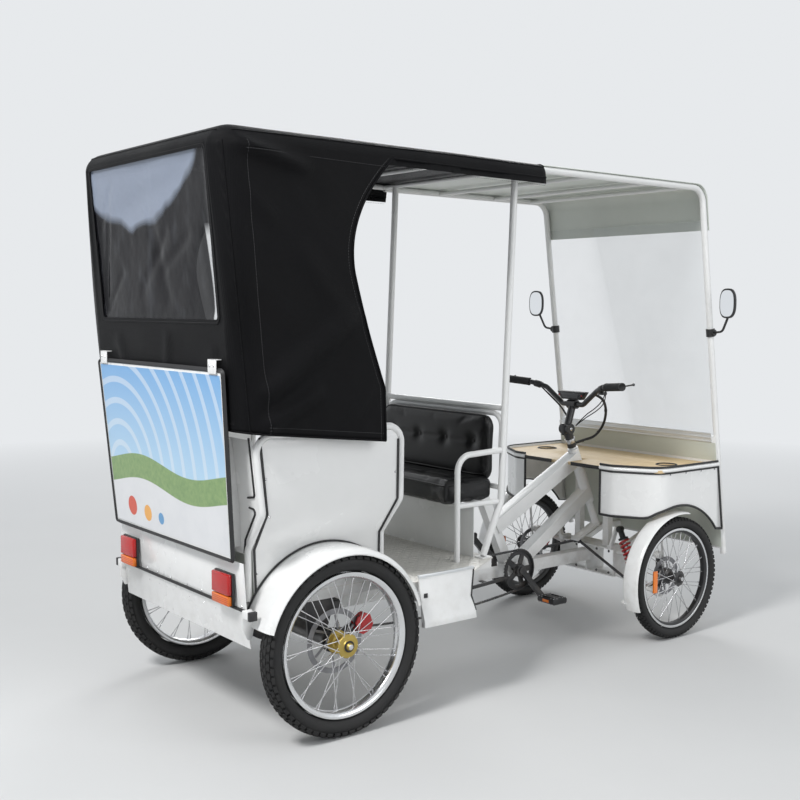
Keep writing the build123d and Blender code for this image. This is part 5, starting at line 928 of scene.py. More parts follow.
for name, side in SIDES:
    section = [(side * y, r) for y, r in guard_profile(0.3925, 0.539, 0.3122)]
    piece_of(f"rear_guard_{name}", [lathed(at(0, 0, REAR_RADIUS), section, 56, math.radians(17.2),
                                           math.radians(163))], panel_paint, "chassis",
             ["rear_mudguards"] if side > 0 else [])
    welt = [(side * y, r) for y, r in ((0.392, 0.3118), (0.392, 0.3185), (0.3955, 0.3185), (0.3985, 0.3145))]
    piece_of(f"rear_guard_welt_{name}", [lathed(at(0, 0, REAR_RADIUS), welt, 56, math.radians(19),
                                                math.radians(161))], black_rubber, "chassis")

FRONT_GUARD = [(-0.037, 0.2722), (-0.0385, 0.2705), (-0.037, 0.2692), (-0.0345, 0.2712), (-0.026, 0.2747),
               (0.0, 0.2764), (0.026, 0.2747), (0.0345, 0.2712), (0.037, 0.2692), (0.0385, 0.2705),
               (0.037, 0.2722), (0.0275, 0.2768), (0.0, 0.2788), (-0.0275, 0.2768)]
for name, side in SIDES:
    centre = at(WHEELBASE, side * FRONT_TRACK, FRONT_RADIUS)
    guard = [lathed(centre, FRONT_GUARD[::-1], 48, math.radians(79), math.radians(202))]
    stay_y = side * 0.3885
    hub = at(WHEELBASE, stay_y, FRONT_RADIUS)
    ring = [(-0.006, 0.0176), (-0.006, 0.0265), (0.0015, 0.0265), (0.0015, 0.0176)]
    guard.append(lathed(hub, [(side * y, r) for y, r in ring], 32))
    for angle in (97, 196):
        a = math.radians(angle)
        out = around_y(1, a)
        strip = bar_section(0.006, 0.0013)
        bend = [hub + out * 0.022, hub + out * 0.268, hub + out * 0.2735 + Vector((0, side * 0.006, 0)),
                hub + out * 0.2735 + Vector((0, side * 0.03, 0))]
        guard.append(carried(bend, strip, Vector((-math.sin(a), 0, math.cos(a)))))
    piece_of(f"front_guard_{name}", guard, panel_paint, f"knuckle_{name}",
             [f"front_mudguard_{name}"])

# %% [markdown]
# ## Canopy
# The cover is one black canvas: a roof, two sides cut back in a curve, and a rear wall with a window. It is
# made of grids wrapped round a level box and merged. Each point is first pushed on to the box's rounded
# edges, then let sag between the roof bars and fold on the walls, and last it is moved to the real taper.

# %% Canopy shape
CANOPY_REAR, CANOPY_FRONT = -0.376, 0.91
CANOPY_TOP, CANOPY_HEM, VALANCE_LOW = 1.905, 1.0, 1.858
CANOPY_HALF, CANOPY_TAPER, CANOPY_FLARE = 0.5, 0.031, 0.0442
CANOPY_FALL, HEM_FALL, HEM_RUN = 0.02, 0.058, 0.536
CANOPY_ROUND, FRONT_ROUND = 0.068, 0.034
LEAN_LOW, LEAN_HIGH, LEAN_REACH = 0.014, 0.064, 0.45
WALL_TAUT, ROOF_TAUT = 0.462, 0.46
EDGE_LOW = [(1.16, 0.15), (1.345, 0.084), (1.505, 0.041)]
EDGE_HIGH = [(1.505, 0.041), (1.70, 0.08), (1.858, 0.21)]
ROOF_BARS = (-0.376, -0.297, 0.0, 0.29, 0.58, 0.868, 0.91)
WINDOW_HALF, WINDOW_LOW, WINDOW_HIGH = 0.417, 1.328, 1.84
# Folds: start and end across the wall and up it, half width, height
SIDE_FOLDS = [(-0.35, 1.08, 0.06, 1.40, 0.034, 0.030), (-0.35, 1.00, -0.08, 1.15, 0.024, 0.020),
              (-0.36, 1.855, -0.10, 1.79, 0.022, 0.022), (-0.03, 1.01, 0.12, 1.17, 0.022, 0.005),
              (-0.36, 1.30, -0.29, 1.62, 0.02, 0.005), (0.00, 1.36, -0.17, 1.58, 0.04, 0.005),
              (-0.34, 1.74, -0.22, 1.62, 0.022, 0.005)]
REAR_FOLDS = [(-0.455, 1.40, -0.43, 1.80, 0.012, 0.005), (0.45, 1.36, 0.43, 1.78, 0.012, 0.005),
              (-0.30, 1.86, -0.18, 1.89, 0.012, 0.005), (0.05, 1.85, 0.14, 1.89, 0.012, 0.004),
              (-0.38, 1.24, -0.20, 1.10, 0.03, 0.006), (0.30, 1.28, 0.18, 1.06, 0.03, 0.006),
              (-0.08, 1.30, -0.03, 1.08, 0.025, 0.005)]


def through(points, z):
    """Value at z of the parabola through three (z, value) points."""
    total = 0.0
    for k, (zk, share) in enumerate(points):
        for j, (zj, _) in enumerate(points):
            if j != k:
                share *= (z - zj) / (zk - zj)
        total += share
    return total


def side_edge_x(w):
    """Front edge of the canopy's side at height w."""
    if w < EDGE_LOW[0][0]:
        return EDGE_LOW[0][1]
    return through(EDGE_LOW if w < EDGE_HIGH[0][0] else EDGE_HIGH, w)


def fold_height(folds, u, w):
    """Sum of soft ridges at (u, w) on a wall."""
    total = 0.0
    for u0, w0, u1, w1, width, height in folds:
        run = Vector((u1 - u0, w1 - w0))
        from_start = Vector((u - u0, w - w0))
        share = from_start.dot(run) / run.length_squared
        off = abs(from_start.x * run.y - from_start.y * run.x) / run.length
        ends = max(0.0, 1 - (2 * share - 1) ** 4)
        if 0 < share < 1:
            total += height * ends * math.exp(-((off / width) ** 2))
    return total


def slack(place, out):
    """How far the cloth stands off its box at a place, outwards."""
    x, y, w = place
    if out.z > 0.99:
        across = max(0.0, 1 - (y / ROOF_TAUT) ** 4)
        for a, b in zip(ROOF_BARS, ROOF_BARS[1:]):
            if a <= x <= b:
                ripple = 0.0015 * noise.noise(Vector((x * 9, y * 4, 0)))
                return (ripple - min(0.008, 0.03 * (b - a))
                        * math.sin(math.pi * (x - a) / (b - a)) ** 2) * across
    if abs(out.x) > 0.99:
        room = min(1.0, (WALL_TAUT - abs(y)) / 0.03, (CANOPY_TOP - w) / 0.05)
        gap = math.hypot(max(0.0, abs(y) - WINDOW_HALF), max(0.0, w - WINDOW_HIGH, WINDOW_LOW - w))
        near = min(1.0, gap / 0.03)
        soft = 0.003 + 0.004 * noise.noise(Vector((y * 6, 3.1, w * 3))) + fold_height(REAR_FOLDS, y, w)
        return max(0.0, room) * near * soft
    room = min(1.0, (x - CANOPY_REAR - 0.03) / 0.05, (CANOPY_TOP - w) / 0.06)
    folds = fold_height(SIDE_FOLDS, x, w)
    soft = 0.006 * noise.noise(Vector((x * 4.5 + w * 1.5, y, w * 2.2)))
    fine = 0.0018 * noise.noise(Vector((x * 15 + w * 9, y, w * 6)))
    return max(0.0, room) * (folds + soft + fine)


def lean_at(z):
    """How far the rear wall hangs back at height z: forward at the hem, back at the top."""
    return (LEAN_LOW + LEAN_HIGH) * (z - CANOPY_HEM) / (CANOPY_TOP - CANOPY_HEM) - LEAN_LOW


def canopy_point(x, v, w):
    """Point of the cover: x along, v from -1 on the right to 1 on the left, w the height on a level box."""
    corner = Vector((x, v * CANOPY_HALF, w))
    r = CANOPY_ROUND - (CANOPY_ROUND - FRONT_ROUND) * min(1.0, max(0.0, x - CANOPY_REAR) / 0.9)
    limit = CANOPY_HALF - r
    inner = Vector((max(x, CANOPY_REAR + r), min(max(corner.y, -limit), limit), min(w, CANOPY_TOP - r)))
    out = (corner - inner).normalized()
    place = inner + out * (r + slack(corner, out))
    along = (place.x - CANOPY_REAR) / (CANOPY_FRONT - CANOPY_REAR)
    top = CANOPY_TOP - CANOPY_FALL * along
    hem = CANOPY_HEM - HEM_FALL * min(1.0, (place.x - CANOPY_REAR) / HEM_RUN)
    z = hem + (place.z - CANOPY_HEM) / (CANOPY_TOP - CANOPY_HEM) * (top - hem)
    half = CANOPY_HALF - CANOPY_TAPER * along + CANOPY_FLARE * (top - z)
    lean = lean_at(z) * (1 - min(1.0, max(0.0, place.x - CANOPY_REAR) / LEAN_REACH)) ** 2
    bulge = 0.032 * math.sin(math.pi * min(1.0, max(0.0, (z - 1.0) / 0.9))) * max(0.0, v) ** 6
    return at(place.x - lean, place.y / CANOPY_HALF * half + bulge, z)


def steps(*stops):
    """Numbers from stop to stop: start, count, stop, count, stop and so on."""
    values = [stops[0]]
    for count, stop in zip(stops[1::2], stops[2::2]):
        start = values[-1]
        values += [start + (stop - start) * k / count for k in range(1, count + 1)]
    return values


def grid_part(rows):
    """Vertices and faces of a grid given as rows of points."""
    across = len(rows[0])
    verts = [point for row in rows for point in row]
    faces = []
    for k in range(len(rows) - 1):
        for j in range(across - 1):
            low = k * across + j
            faces.append((low, low + 1, low + across + 1, low + across))
    return verts, faces


# %% Canopy sheet
WALL_ROWS = steps(CANOPY_HEM, 24, WINDOW_LOW, 36, WINDOW_HIGH, 2, VALANCE_LOW)
BAND_ROWS = steps(VALANCE_LOW, 1, CANOPY_TOP - CANOPY_ROUND, 5, CANOPY_TOP)
ROOF_COLUMNS = steps(CANOPY_REAR, 5, CANOPY_REAR + CANOPY_ROUND, 36, side_edge_x(VALANCE_LOW), 46,
                     CANOPY_FRONT)


def wall_columns(w):
    return steps(CANOPY_REAR, 5, CANOPY_REAR + CANOPY_ROUND, 36, side_edge_x(w))


def rear_columns(w):
    """Shares across the rear wall at height w, with stops at the window's sides."""
    soft = 1 - CANOPY_ROUND / CANOPY_HALF
    window = WINDOW_HALF / (CANOPY_HALF + CANOPY_FLARE * (CANOPY_TOP - w))
    return steps(-1.0, 5, -soft, 4, -window, 58, window, 4, soft, 5, 1.0)


def flat_area(mesh):
    return sum(face.area for face in mesh.polygons)


def sheet_mesh(name, parts, inside, hole=None):
    """Grids merged into one open sheet whose faces point away from a point inside."""
    build = bmesh.new()
    for verts, faces in parts:
        made = [build.verts.new(v) for v in verts]
        for face in faces:
            middle = sum((verts[k] for k in face), Vector()) / 4
            if hole is None or not hole(middle):
                build.faces.new([made[k] for k in face])
    bmesh.ops.remove_doubles(build, verts=build.verts, dist=WELD)
    loose = [v for v in build.verts if not v.link_faces]
    bmesh.ops.delete(build, geom=loose, context="VERTS")
    build.normal_update()
    wrong = [face for face in build.faces if face.normal.dot(face.calc_center_median() - inside) < 0]
    bmesh.ops.reverse_faces(build, faces=wrong)
    mesh = bpy.data.meshes.new(name)
    build.to_mesh(mesh)
    build.free()
    for face in mesh.polygons:
        face.use_smooth = True
    return mesh


def thicken(piece, thickness):
    """Give an open sheet its wall, inwards."""
    wall = piece.modifiers.new("thickness", "SOLIDIFY")
    wall.thickness = thickness
    wall.offset = -1.0


def in_window(point):
    x, y, z = point
    return x < -0.36 - MIDDLE_X and abs(y) < WINDOW_HALF and WINDOW_LOW < z < WINDOW_HIGH


cover_parts = [grid_part([[canopy_point(CANOPY_REAR, v, w) for v in rear_columns(w)]
                          for w in WALL_ROWS + BAND_ROWS[1:]])]
cover_parts.append(grid_part([[canopy_point(x, v, CANOPY_TOP) for v in rear_columns(CANOPY_TOP)]
                              for x in ROOF_COLUMNS]))
for v in (-1, 1):
    cover_parts.append(grid_part([[canopy_point(x, v, w) for x in wall_columns(w)] for w in WALL_ROWS]))
    cover_parts.append(grid_part([[canopy_point(x, v, w) for x in ROOF_COLUMNS] for w in BAND_ROWS]))
cover_mesh = sheet_mesh("canopy_canvas", cover_parts, at(0.1, 0, 1.4), in_window)
canopy_canvas = own_object("canopy_canvas", cover_mesh, black_canvas, "chassis")
thicken(canopy_canvas, 0.0018)
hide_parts("canopy_cover")

# %% [markdown]
# ## Seams, hems and stitches
# Where two panels of canvas meet there is a corded seam, and every free edge is bound. Both are thin cords
# carried along the sheet's own edges, and the stitches beside them are laid out by the repeating tree.

# %% Canopy seams
CORD, BINDING, STITCH_PITCH = 0.0024, 0.0032, 0.009
hem_route = [(x, 1, CANOPY_HEM) for x in wall_columns(CANOPY_HEM)[::-1]]
hem_route += [(CANOPY_REAR, v, CANOPY_HEM) for v in rear_columns(CANOPY_HEM)[::-1][1:-1]]
hem_route += [(x, -1, CANOPY_HEM) for x in wall_columns(CANOPY_HEM)]
seam_routes = [[(CANOPY_REAR, v, CANOPY_TOP) for v in rear_columns(CANOPY_TOP)[3:-3]]]
edge_routes = [hem_route, [(CANOPY_FRONT, v, CANOPY_TOP) for v in rear_columns(CANOPY_TOP)]]
for v in (-1, 1):
    seam_routes.append([(CANOPY_REAR, v, w) for w in WALL_ROWS])
    seam_routes.append([(x, v, CANOPY_TOP) for x in ROOF_COLUMNS[3:]])
    edge_routes.append([(side_edge_x(w), v, w) for w in WALL_ROWS])
    edge_routes.append([(x, v, VALANCE_LOW) for x in ROOF_COLUMNS if x >= side_edge_x(VALANCE_LOW)])
cords = [carried([canopy_point(*p) for p in route], circle_section(CORD, 8)) for route in seam_routes]
cords += [carried([canopy_point(*p) for p in route], circle_section(BINDING, 8)) for route in edge_routes]
piece_of("canopy_seam_cords", cords, black_canvas, "chassis")


def spaced(route, pitch):
    """Points and directions every pitch along a route."""
    places, carry = [], pitch / 2
    for a, b in zip(route, route[1:]):
        run = (b - a).length
        while carry < run:
            places.append((a + (b - a) * (carry / run), (b - a).normalized()))
            carry += pitch
        carry -= run
    return places


def ring_route(half, low, high, corner, x):
    """Rounded rectangle in the rear wall, anticlockwise, as points of the frame."""
    route = []
    for sy, z0, turn in ((1, high, 0), (-1, high, 90), (-1, low, 180), (1, low, 270)):
        cz = z0 - corner if z0 == high else z0 + corner
        for k in range(7):
            a = math.radians(turn + 15 * k)
            z = cz + corner * math.sin(a)
            route.append(at(x - lean_at(z), sy * (half - corner) + corner * math.cos(a), z))
    return route


stitch_lines = [[canopy_point(CANOPY_REAR, v, CANOPY_HEM + 0.022) for v in rear_columns(CANOPY_HEM)[5:-5]]]
stitch_lines.append(ring_route(WINDOW_HALF + 0.006, WINDOW_LOW - 0.006, WINDOW_HIGH + 0.006, 0.02,
                               CANOPY_REAR - 0.0022))
for v in (-1, 1):
    stitch_lines.append([canopy_point(x, v, CANOPY_HEM + 0.022) for x in wall_columns(CANOPY_HEM)[5:]])
    stitch_lines.append([canopy_point(side_edge_x(w) - 0.018, v, w) for w in WALL_ROWS])
    stitch_lines.append([canopy_point(CANOPY_REAR + CANOPY_ROUND + 0.006, v, w) for w in WALL_ROWS])
    stitch_lines.append([canopy_point(x, v, CANOPY_TOP - CANOPY_ROUND - 0.006) for x in ROOF_COLUMNS[5:]])
stitches = [(place, run, None, 1) for line in stitch_lines for place, run in spaced(line, STITCH_PITCH)]
thread = plain_finish("black thread", (0.05, 0.05, 0.052), 0.7, tone=0.3)
repeated("canopy_stitches", stitches, "rod", (0.0055, 0.0006, 0.0006), thread, "chassis", 5)

# %% [markdown]
# ## Rear window
# Clear vinyl sewn behind the opening. It is never flat: it hangs a little loose, so it is a grid with slow
# ripples and a few long creases, and its reflections wander.

# %% Window sheet
WINDOW_LAP, VINYL, VINYL_EASE = 0.012, 0.0009, 0.006
CREASES = [(0.40, 1.36, 0.30, 1.74, 0.010, 0.004), (0.41, 1.34, 0.22, 1.50, 0.009, 0.003),
           (-0.39, 1.34, -0.36, 1.62, 0.016, 0.005), (-0.10, 1.36, 0.02, 1.70, 0.03, 0.004),
           (0.12, 1.40, -0.12, 1.62, 0.022, 0.004), (-0.30, 1.78, 0.32, 1.66, 0.045, 0.005),
           (-0.05, 1.48, -0.28, 1.60, 0.02, 0.004), (0.26, 1.80, 0.40, 1.62, 0.014, 0.003)]


def vinyl_point(y, z):
    inside = min(1.0, (WINDOW_HALF - abs(y)) / 0.03, (WINDOW_HIGH - z) / 0.03, (z - WINDOW_LOW) / 0.03)
    loose = 0.006 + 0.005 * noise.noise(Vector((y * 5, z * 5, 7.7))) + fold_height(CREASES, y, z)
    return at(CANOPY_REAR - lean_at(z) + 0.0035 + max(0.0, inside) * loose, y, z)


lap_y, lap_low, lap_high = WINDOW_HALF + WINDOW_LAP, WINDOW_LOW - WINDOW_LAP, WINDOW_HIGH + WINDOW_LAP
vinyl_rows = [[vinyl_point(y, z) for y in steps(-lap_y, 86, lap_y)] for z in steps(lap_low, 54, lap_high)]
vinyl_mesh = sheet_mesh("window_vinyl", [grid_part(vinyl_rows)], at(1.0, 0, 1.5))
vinyl_area = flat_area(vinyl_mesh)
window_vinyl = own_object("window_vinyl", vinyl_mesh, clear_vinyl, "chassis")
thicken(window_vinyl, VINYL)
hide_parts("rear_window")
window_band = ring_route(WINDOW_HALF + 0.004, WINDOW_LOW - 0.004, WINDOW_HIGH + 0.004, 0.02,
                         CANOPY_REAR - 0.0006)
band_section = [(-0.008, -0.0006), (0.008, -0.0006), (0.0075, 0.0008), (-0.0075, 0.0008)]
band_parts = [carried(window_band, [(u, -v) for u, v in band_section], AHEAD, closed=True)]
piece_of("window_binding", band_parts, black_canvas, "chassis")
print(f"window sheet: {vinyl_area:.3f} square metres")

# %% [markdown]
# ## Rear board, lower panel and tail lamps
# The board leans over the rear wall in a black rubber frame, hung on two white brackets. Its print is a
# free design of soft bands: sky, a green slope and pale ground. The lamps are red over amber in a black
# housing.

# %% Rear board
BOARD_LOW_Z, BOARD_TOP_Z = 0.598, 1.18
BOARD_LOW_HALF, BOARD_TOP_HALF = 0.418, 0.448
BOARD_X, BOARD_LEAN = -0.352, 0.046


def board_point(share, z, off):
    """Point of the board's rear face: share of its half width, height, distance outwards."""
    up = (z - BOARD_LOW_Z) / (BOARD_TOP_Z - BOARD_LOW_Z)
    half = BOARD_LOW_HALF + (BOARD_TOP_HALF - BOARD_LOW_HALF) * up
    return at(BOARD_X - BOARD_LEAN * up - off, share * half, z)


def print_finish():
    """Bands of sky, slope and ground with pale arcs and two dots, laid out on the board in Y and Z."""
    material, tree, principled, coordinates = shader("printed board")
    split = tree.nodes.new("ShaderNodeSeparateXYZ")
    tree.links.new(coordinates, split.inputs[0])
    y, z = split.outputs["Y"], split.outputs["Z"]

    def far_from(cy, cz):
        across, up = maths(tree, "SUBTRACT", y, cy), maths(tree, "SUBTRACT", z, cz)
        return maths(tree, "SQRT", maths(tree, "ADD", maths(tree, "MULTIPLY", across, across),
                                         maths(tree, "MULTIPLY", up, up)))

    sky = blended(tree, between(tree, z, 0.85, 1.16), (0.42, 0.62, 0.80), (0.16, 0.38, 0.68))
    arcs = maths(tree, "SINE", maths(tree, "MULTIPLY", far_from(0.32, 0.80), 84.0))
    sky = blended(tree, between(tree, arcs, 0.55, 0.7, 0.0, 0.5), sky, (0.70, 0.76, 0.82))
    hill = maths(tree, "ADD", 0.845,
                 maths(tree, "MULTIPLY", maths(tree, "SINE", maths(tree, "MULTIPLY", y, 9.0)), 0.022))
    leaf = noise_of(tree, coordinates, 60.0, 5.0)
    slope = blended(tree, leaf, (0.10, 0.22, 0.07), (0.30, 0.42, 0.16))
    ground = blended(tree, noise_of(tree, coordinates, 14.0), (0.66, 0.67, 0.69), (0.76, 0.76, 0.77))
    colour = blended(tree, between(tree, maths(tree, "SUBTRACT", z, hill), -0.001, 0.001), slope, sky)
    low_hill = maths(tree, "SUBTRACT", hill, 0.085)
    colour = blended(tree, between(tree, maths(tree, "SUBTRACT", z, low_hill), -0.001, 0.001), ground, colour)
    for cy, cz, radius, tint in ((0.27, 0.675, 0.034, (0.62, 0.07, 0.03)),
                                 (0.15, 0.665, 0.028, (0.80, 0.38, 0.07)),
                                 (0.05, 0.66, 0.02, (0.10, 0.30, 0.55))):
        inside = between(tree, far_from(cy, cz), radius - 0.001, radius + 0.001, 1.0, 0.0)
        colour = blended(tree, inside, colour, tint)
    wired(tree, principled, {"Base Color": colour, "Roughness": 0.28, "Coat Weight": 0.3})
    return material


printed_board = print_finish()
dress("rear_board", panel_paint)
MARGIN, PRINT = 0.972, 0.0006
print_corners = [(1, BOARD_TOP_Z - 0.014), (-1, BOARD_TOP_Z - 0.014), (-1, BOARD_LOW_Z + 0.012),
                 (1, BOARD_LOW_Z + 0.012)]
front_ring = [board_point(s * MARGIN, z, PRINT) for s, z in print_corners]
back_ring = [board_point(s * MARGIN, z, -0.0002) for s, z in print_corners]
ring_faces = [(0, 1, 2, 3), (7, 6, 5, 4)] + [(k, (k + 1) % 4, 4 + (k + 1) % 4, 4 + k) for k in range(4)]
piece_of("board_print", [(front_ring + back_ring, ring_faces)], printed_board, "chassis")
frame_corners = [board_point(s, z, -0.003) for s, z in ((1, BOARD_TOP_Z), (-1, BOARD_TOP_Z),
                                                        (-1, BOARD_LOW_Z), (1, BOARD_LOW_Z))]
rubber_u = bar_section(0.0062, 0.0055)
frame_route = rounded([(frame_corners[3] + frame_corners[0]) / 2] + frame_corners
                      + [(frame_corners[3] + frame_corners[0]) / 2], [0.012] * 4)
piece_of("board_rubber_frame", [carried(frame_route[:-1], rubber_u, closed=True)], black_rubber, "chassis")
clips = []
for y in (-0.395, 0.395):
    clips.append(box_part(at(-0.4035, y - 0.026, 1.170), at(-0.4005, y + 0.026, 1.214)))
    clips.append(box_part(at(-0.4035, y - 0.026, 1.211), at(-0.382, y + 0.026, 1.214)))
piece_of("board_brackets", clips, white_paint, "chassis", bevel=0.0014)

# %% Tail lamps
red_lens = plain_finish("red lamp lens", (0.42, 0.003, 0.003), 0.2, tone=0.15, coat=0.3)
amber_lens = plain_finish("amber lamp lens", (0.72, 0.16, 0.006), 0.2, tone=0.15, coat=0.3)
LAMP_Y, LAMP_Z, LAMP_SPLIT, LAMP_BACK, LENS_RIB = (0.283, 0.395), (0.447, 0.551), 0.482, -0.3395, 0.006
lamp_ribs = []
for name, side in SIDES:
    low_y, high_y = sorted((side * LAMP_Y[0], side * LAMP_Y[1]))
    housing = [side_block(side, (-0.340, -0.3305), LAMP_Y, LAMP_Z),
               side_block(side, (-0.3425, LAMP_BACK), LAMP_Y, (LAMP_Z[0], LAMP_Z[0] + 0.003)),
               side_block(side, (-0.345, LAMP_BACK), LAMP_Y, (LAMP_SPLIT - 0.0008, LAMP_SPLIT + 0.0008))]
    piece_of(f"lamp_housing_{name}", housing, black_plastic, "chassis", ["tail_lamps"]
             if side > 0 else [], 0.0012)
    for lens, z0, z1, finish in (("amber", LAMP_Z[0] + 0.003, LAMP_SPLIT - 0.001, amber_lens),
                                 ("red", LAMP_SPLIT + 0.001, LAMP_Z[1] - 0.002, red_lens)):
        block = [box_part(at(-0.3535, low_y + 0.003, z0), at(LAMP_BACK, high_y - 0.003, z1))]
        piece_of(f"lamp_{lens}_{name}", block, finish, "chassis", bevel=0.004)
        for k in range(int((z1 - z0 - LENS_RIB) / LENS_RIB)):
            z = z0 + LENS_RIB + LENS_RIB * k
            middle = at(-0.3536, (low_y + high_y) / 2, z)
            lamp_ribs.append((middle, LEFT, None, 1))
repeated("lamp_lens_ribs", lamp_ribs, "rod", (0.1, 0.0008, 0.0008), red_lens, "chassis", 6)

# %% [markdown]
# ## Black rubber lines on the white body
# Every cut edge of the white panels wears a black rubber strip. They are what draws the body's outline in
# the photo, so each runs as a small flat profile along the real edge of its panel.

# %% Rubber trim
STRIP_WIDE = [(-0.004, -0.0022), (0.004, -0.0022), (0.0032, 0.0022), (-0.0032, 0.0022)]
SIDE_REAR_EDGE = [(-0.2905, 0.4805, 0.978), (-0.2655, 0.4805, 0.742), (-0.2605, 0.3925, 0.617),
                  (-0.2555, 0.3925, 0.474)]
SIDE_FRONT_EDGE = [(0.2365, 0.4805, 0.940), (0.2335, 0.4805, 0.742), (0.2245, 0.3925, 0.617),
                   (0.2205, 0.3925, 0.474)]
WALL_STEP = [(-0.3085, 0.446, 0.975), (-0.2885, 0.446, 0.792), (-0.2885, 0.405, 0.786)]
WALL_NOTCH = [(-0.2835, 0.405, 0.754), (-0.2835, 0.449, 0.752), (-0.2795, 0.373, 0.648),
              (-0.279, 0.366, 0.606)]
trims = []
for route, up in ((SIDE_REAR_EDGE, (1, 0, 0)), (SIDE_FRONT_EDGE, (1, 0, 0)), (WALL_STEP, None),
                  (WALL_NOTCH, None)):
    for side in sides_of(route):
        points = rounded([at(*p) for p in side], [0.012] * (len(side) - 2))
        if up:
            lies = [(v, u) for u, v in STRIP_WIDE]
            trims.append(carried(points, lies, Vector(up)))
        else:
            trims.append(carried(points, circle_section(0.0034, 8)))
for x0, x1, z in ((-0.2555, -0.205, 0.474), (0.2205, 0.17, 0.474)):
    for y in (-0.3925, 0.3925):
        trims.append(box_part(at(min(x0, x1), y - 0.0022, z - 0.004), at(max(x0, x1), y + 0.0022, z + 0.004)))
skirt_tops = []
for y in (-0.4996, 0.4996):
    skirt_tops.append(box_part(at(0.309, y - 0.0045, 0.4645), at(0.555, y + 0.0045, 0.4745)))
    trims.append(carried([at(0.5535, y, 0.47), at(0.544, y, 0.372), at(0.5535, y + math.copysign(0.014, y),
                                                                       0.32)], bar_section(0.0028, 0.0045),
                         LEFT))
crease = [(-0.3215, -0.442, 0.442), (-0.3215, 0.442, 0.442)]
trims.append(carried([at(*p) for p in crease], bar_section(0.0045, 0.003), AHEAD))
piece_of("body_rubber_lines", trims, black_rubber, "chassis")
piece_of("skirt_top_strips", skirt_tops, strip_alloy, "chassis", bevel=0.0008)
stubs, plugs = [], []
for side in (-1, 1):
    plugs.append(side_block(side, (0.331, 0.347), (0.5015, 0.5055), (0.394, 0.410)))
    stubs.append(side_block(side, (-0.330, -0.305), (0.436, 0.470), (0.421, 0.446)))
    plugs.append(side_block(side, (-0.3315, -0.3035), (0.4705, 0.484), (0.4195, 0.4475)))
    plate = [(-0.334, 0.4475), (-0.300, 0.4475), (-0.288, 0.405), (-0.300, 0.352), (-0.316, 0.352),
             (-0.334, 0.39)]
    near, far = side * 0.4415, side * 0.4445
    verts = [at(x, y, z) for y in (near, far) for x, z in plate]
    count = len(plate)
    sides = [tuple(range(count)), tuple(range(count, 2 * count))]
    sides += [(k, (k + 1) % count, count + (k + 1) % count, count + k) for k in range(count)]
    stubs.append((verts, sides))
piece_of("valance_stubs", stubs, white_paint, "chassis", bevel=0.0015)
piece_of("valance_plugs", plugs, black_plastic, "chassis", bevel=0.002)

# %% [markdown]
# ## Seats
# Vinyl stretched over foam: crowned faces, sides that pull in between the corners, buttons pulled deep and
# a welt round the edge. Each pad starts as a smaller block, is remeshed to even quads and blown up by cloth
# pressure, and only then gets its buttons, because remeshing would erase them.


# %% Swollen pads
PAD_PRESSURE, CLOTH_FRAMES, WELT = 4.0, 20, 0.0032


def slab_part(outline, half):
    """Outline in X and Z carried across from -half to half."""
    count = len(outline)
    verts = [at(x, y, z) for y in (-half, half) for x, z in outline]
    faces = [tuple(range(count)), tuple(range(count, 2 * count))[::-1]]
    faces += [(k, count + k, count + (k + 1) % count, (k + 1) % count) for k in range(count)]
    return verts, faces


def swollen(name, part, voxel, cap):
    """Closed block remeshed to even quads, then blown up by cloth pressure with each move capped."""
    pad = bpy.data.objects.new(name, joined_mesh(name, [part], 0.006, 30))
    bpy.context.scene.collection.objects.link(pad)
    remesh = pad.modifiers.new("even quads", "REMESH")
    remesh.mode = "VOXEL"
    remesh.voxel_size = voxel
    mesh = bpy.data.meshes.new_from_object(pad.evaluated_get(bpy.context.evaluated_depsgraph_get()))
    pad.modifiers.clear()
    pad.data = mesh
    start = [v.co.copy() for v in mesh.vertices]
    cloth = pad.modifiers.new("cloth", "CLOTH")
    cloth.settings.use_pressure = True
    cloth.settings.uniform_pressure_force = PAD_PRESSURE
    cloth.settings.effector_weights.gravity = 0.0
    cloth.settings.quality = 4
    for number in range(1, CLOTH_FRAMES + 1):
        bpy.context.scene.frame_set(number)
    puffed = bpy.data.meshes.new_from_object(pad.evaluated_get(bpy.context.evaluated_depsgraph_get()))
    pad.modifiers.clear()
    for vertex, before, after in zip(mesh.vertices, start, puffed.vertices):
        move = after.co - before
        vertex.co = before + move * min(1.0, cap / max(move.length, 1e-6))
    bpy.context.scene.frame_set(1)
    bpy.data.objects.remove(pad)
    print(name, "has", len(mesh.polygons), "faces")
    return mesh


def dimpled(mesh, spots, facing, depth, radius):
    """Pull the face that looks along facing in at each spot, with soft creases between neighbours."""
    for vertex in mesh.vertices:
        if vertex.normal.dot(facing) < 0.3:
            continue
        pull = 0.0
        for spot in spots:
            away = vertex.co - spot
            off = (away - facing * away.dot(facing)).length
            pull = max(pull, depth * math.exp(-((off / radius) ** 2)))
        for a, b in zip(spots, spots[1:]):
            run = b - a
            share = (vertex.co - a).dot(run) / run.length_squared
            away = vertex.co - a - run * share
            off = (away - facing * away.dot(facing)).length
            if 0 < share < 1 and run.length < 0.25:
                pull = max(pull, 0.35 * depth * math.exp(-((off / 0.008) ** 2)))
        vertex.co -= facing * pull
    mesh.update()


def finish_pad(name, mesh, nodes):
    """One subdivision, smooth faces, and the piece in seat vinyl on the chassis, standing for its nodes."""
    for face in mesh.polygons:
        face.use_smooth = True
    piece = own_object(name, mesh, seat_vinyl, "chassis")
    finer = piece.modifiers.new("finer", "SUBSURF")
    finer.levels = finer.render_levels = 1
    if nodes:
        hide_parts(*nodes)
    return piece


def surface_of(mesh):
    build = bmesh.new()
    build.from_mesh(mesh)
    tree = BVHTree.FromBMesh(build)
    build.free()
    return tree


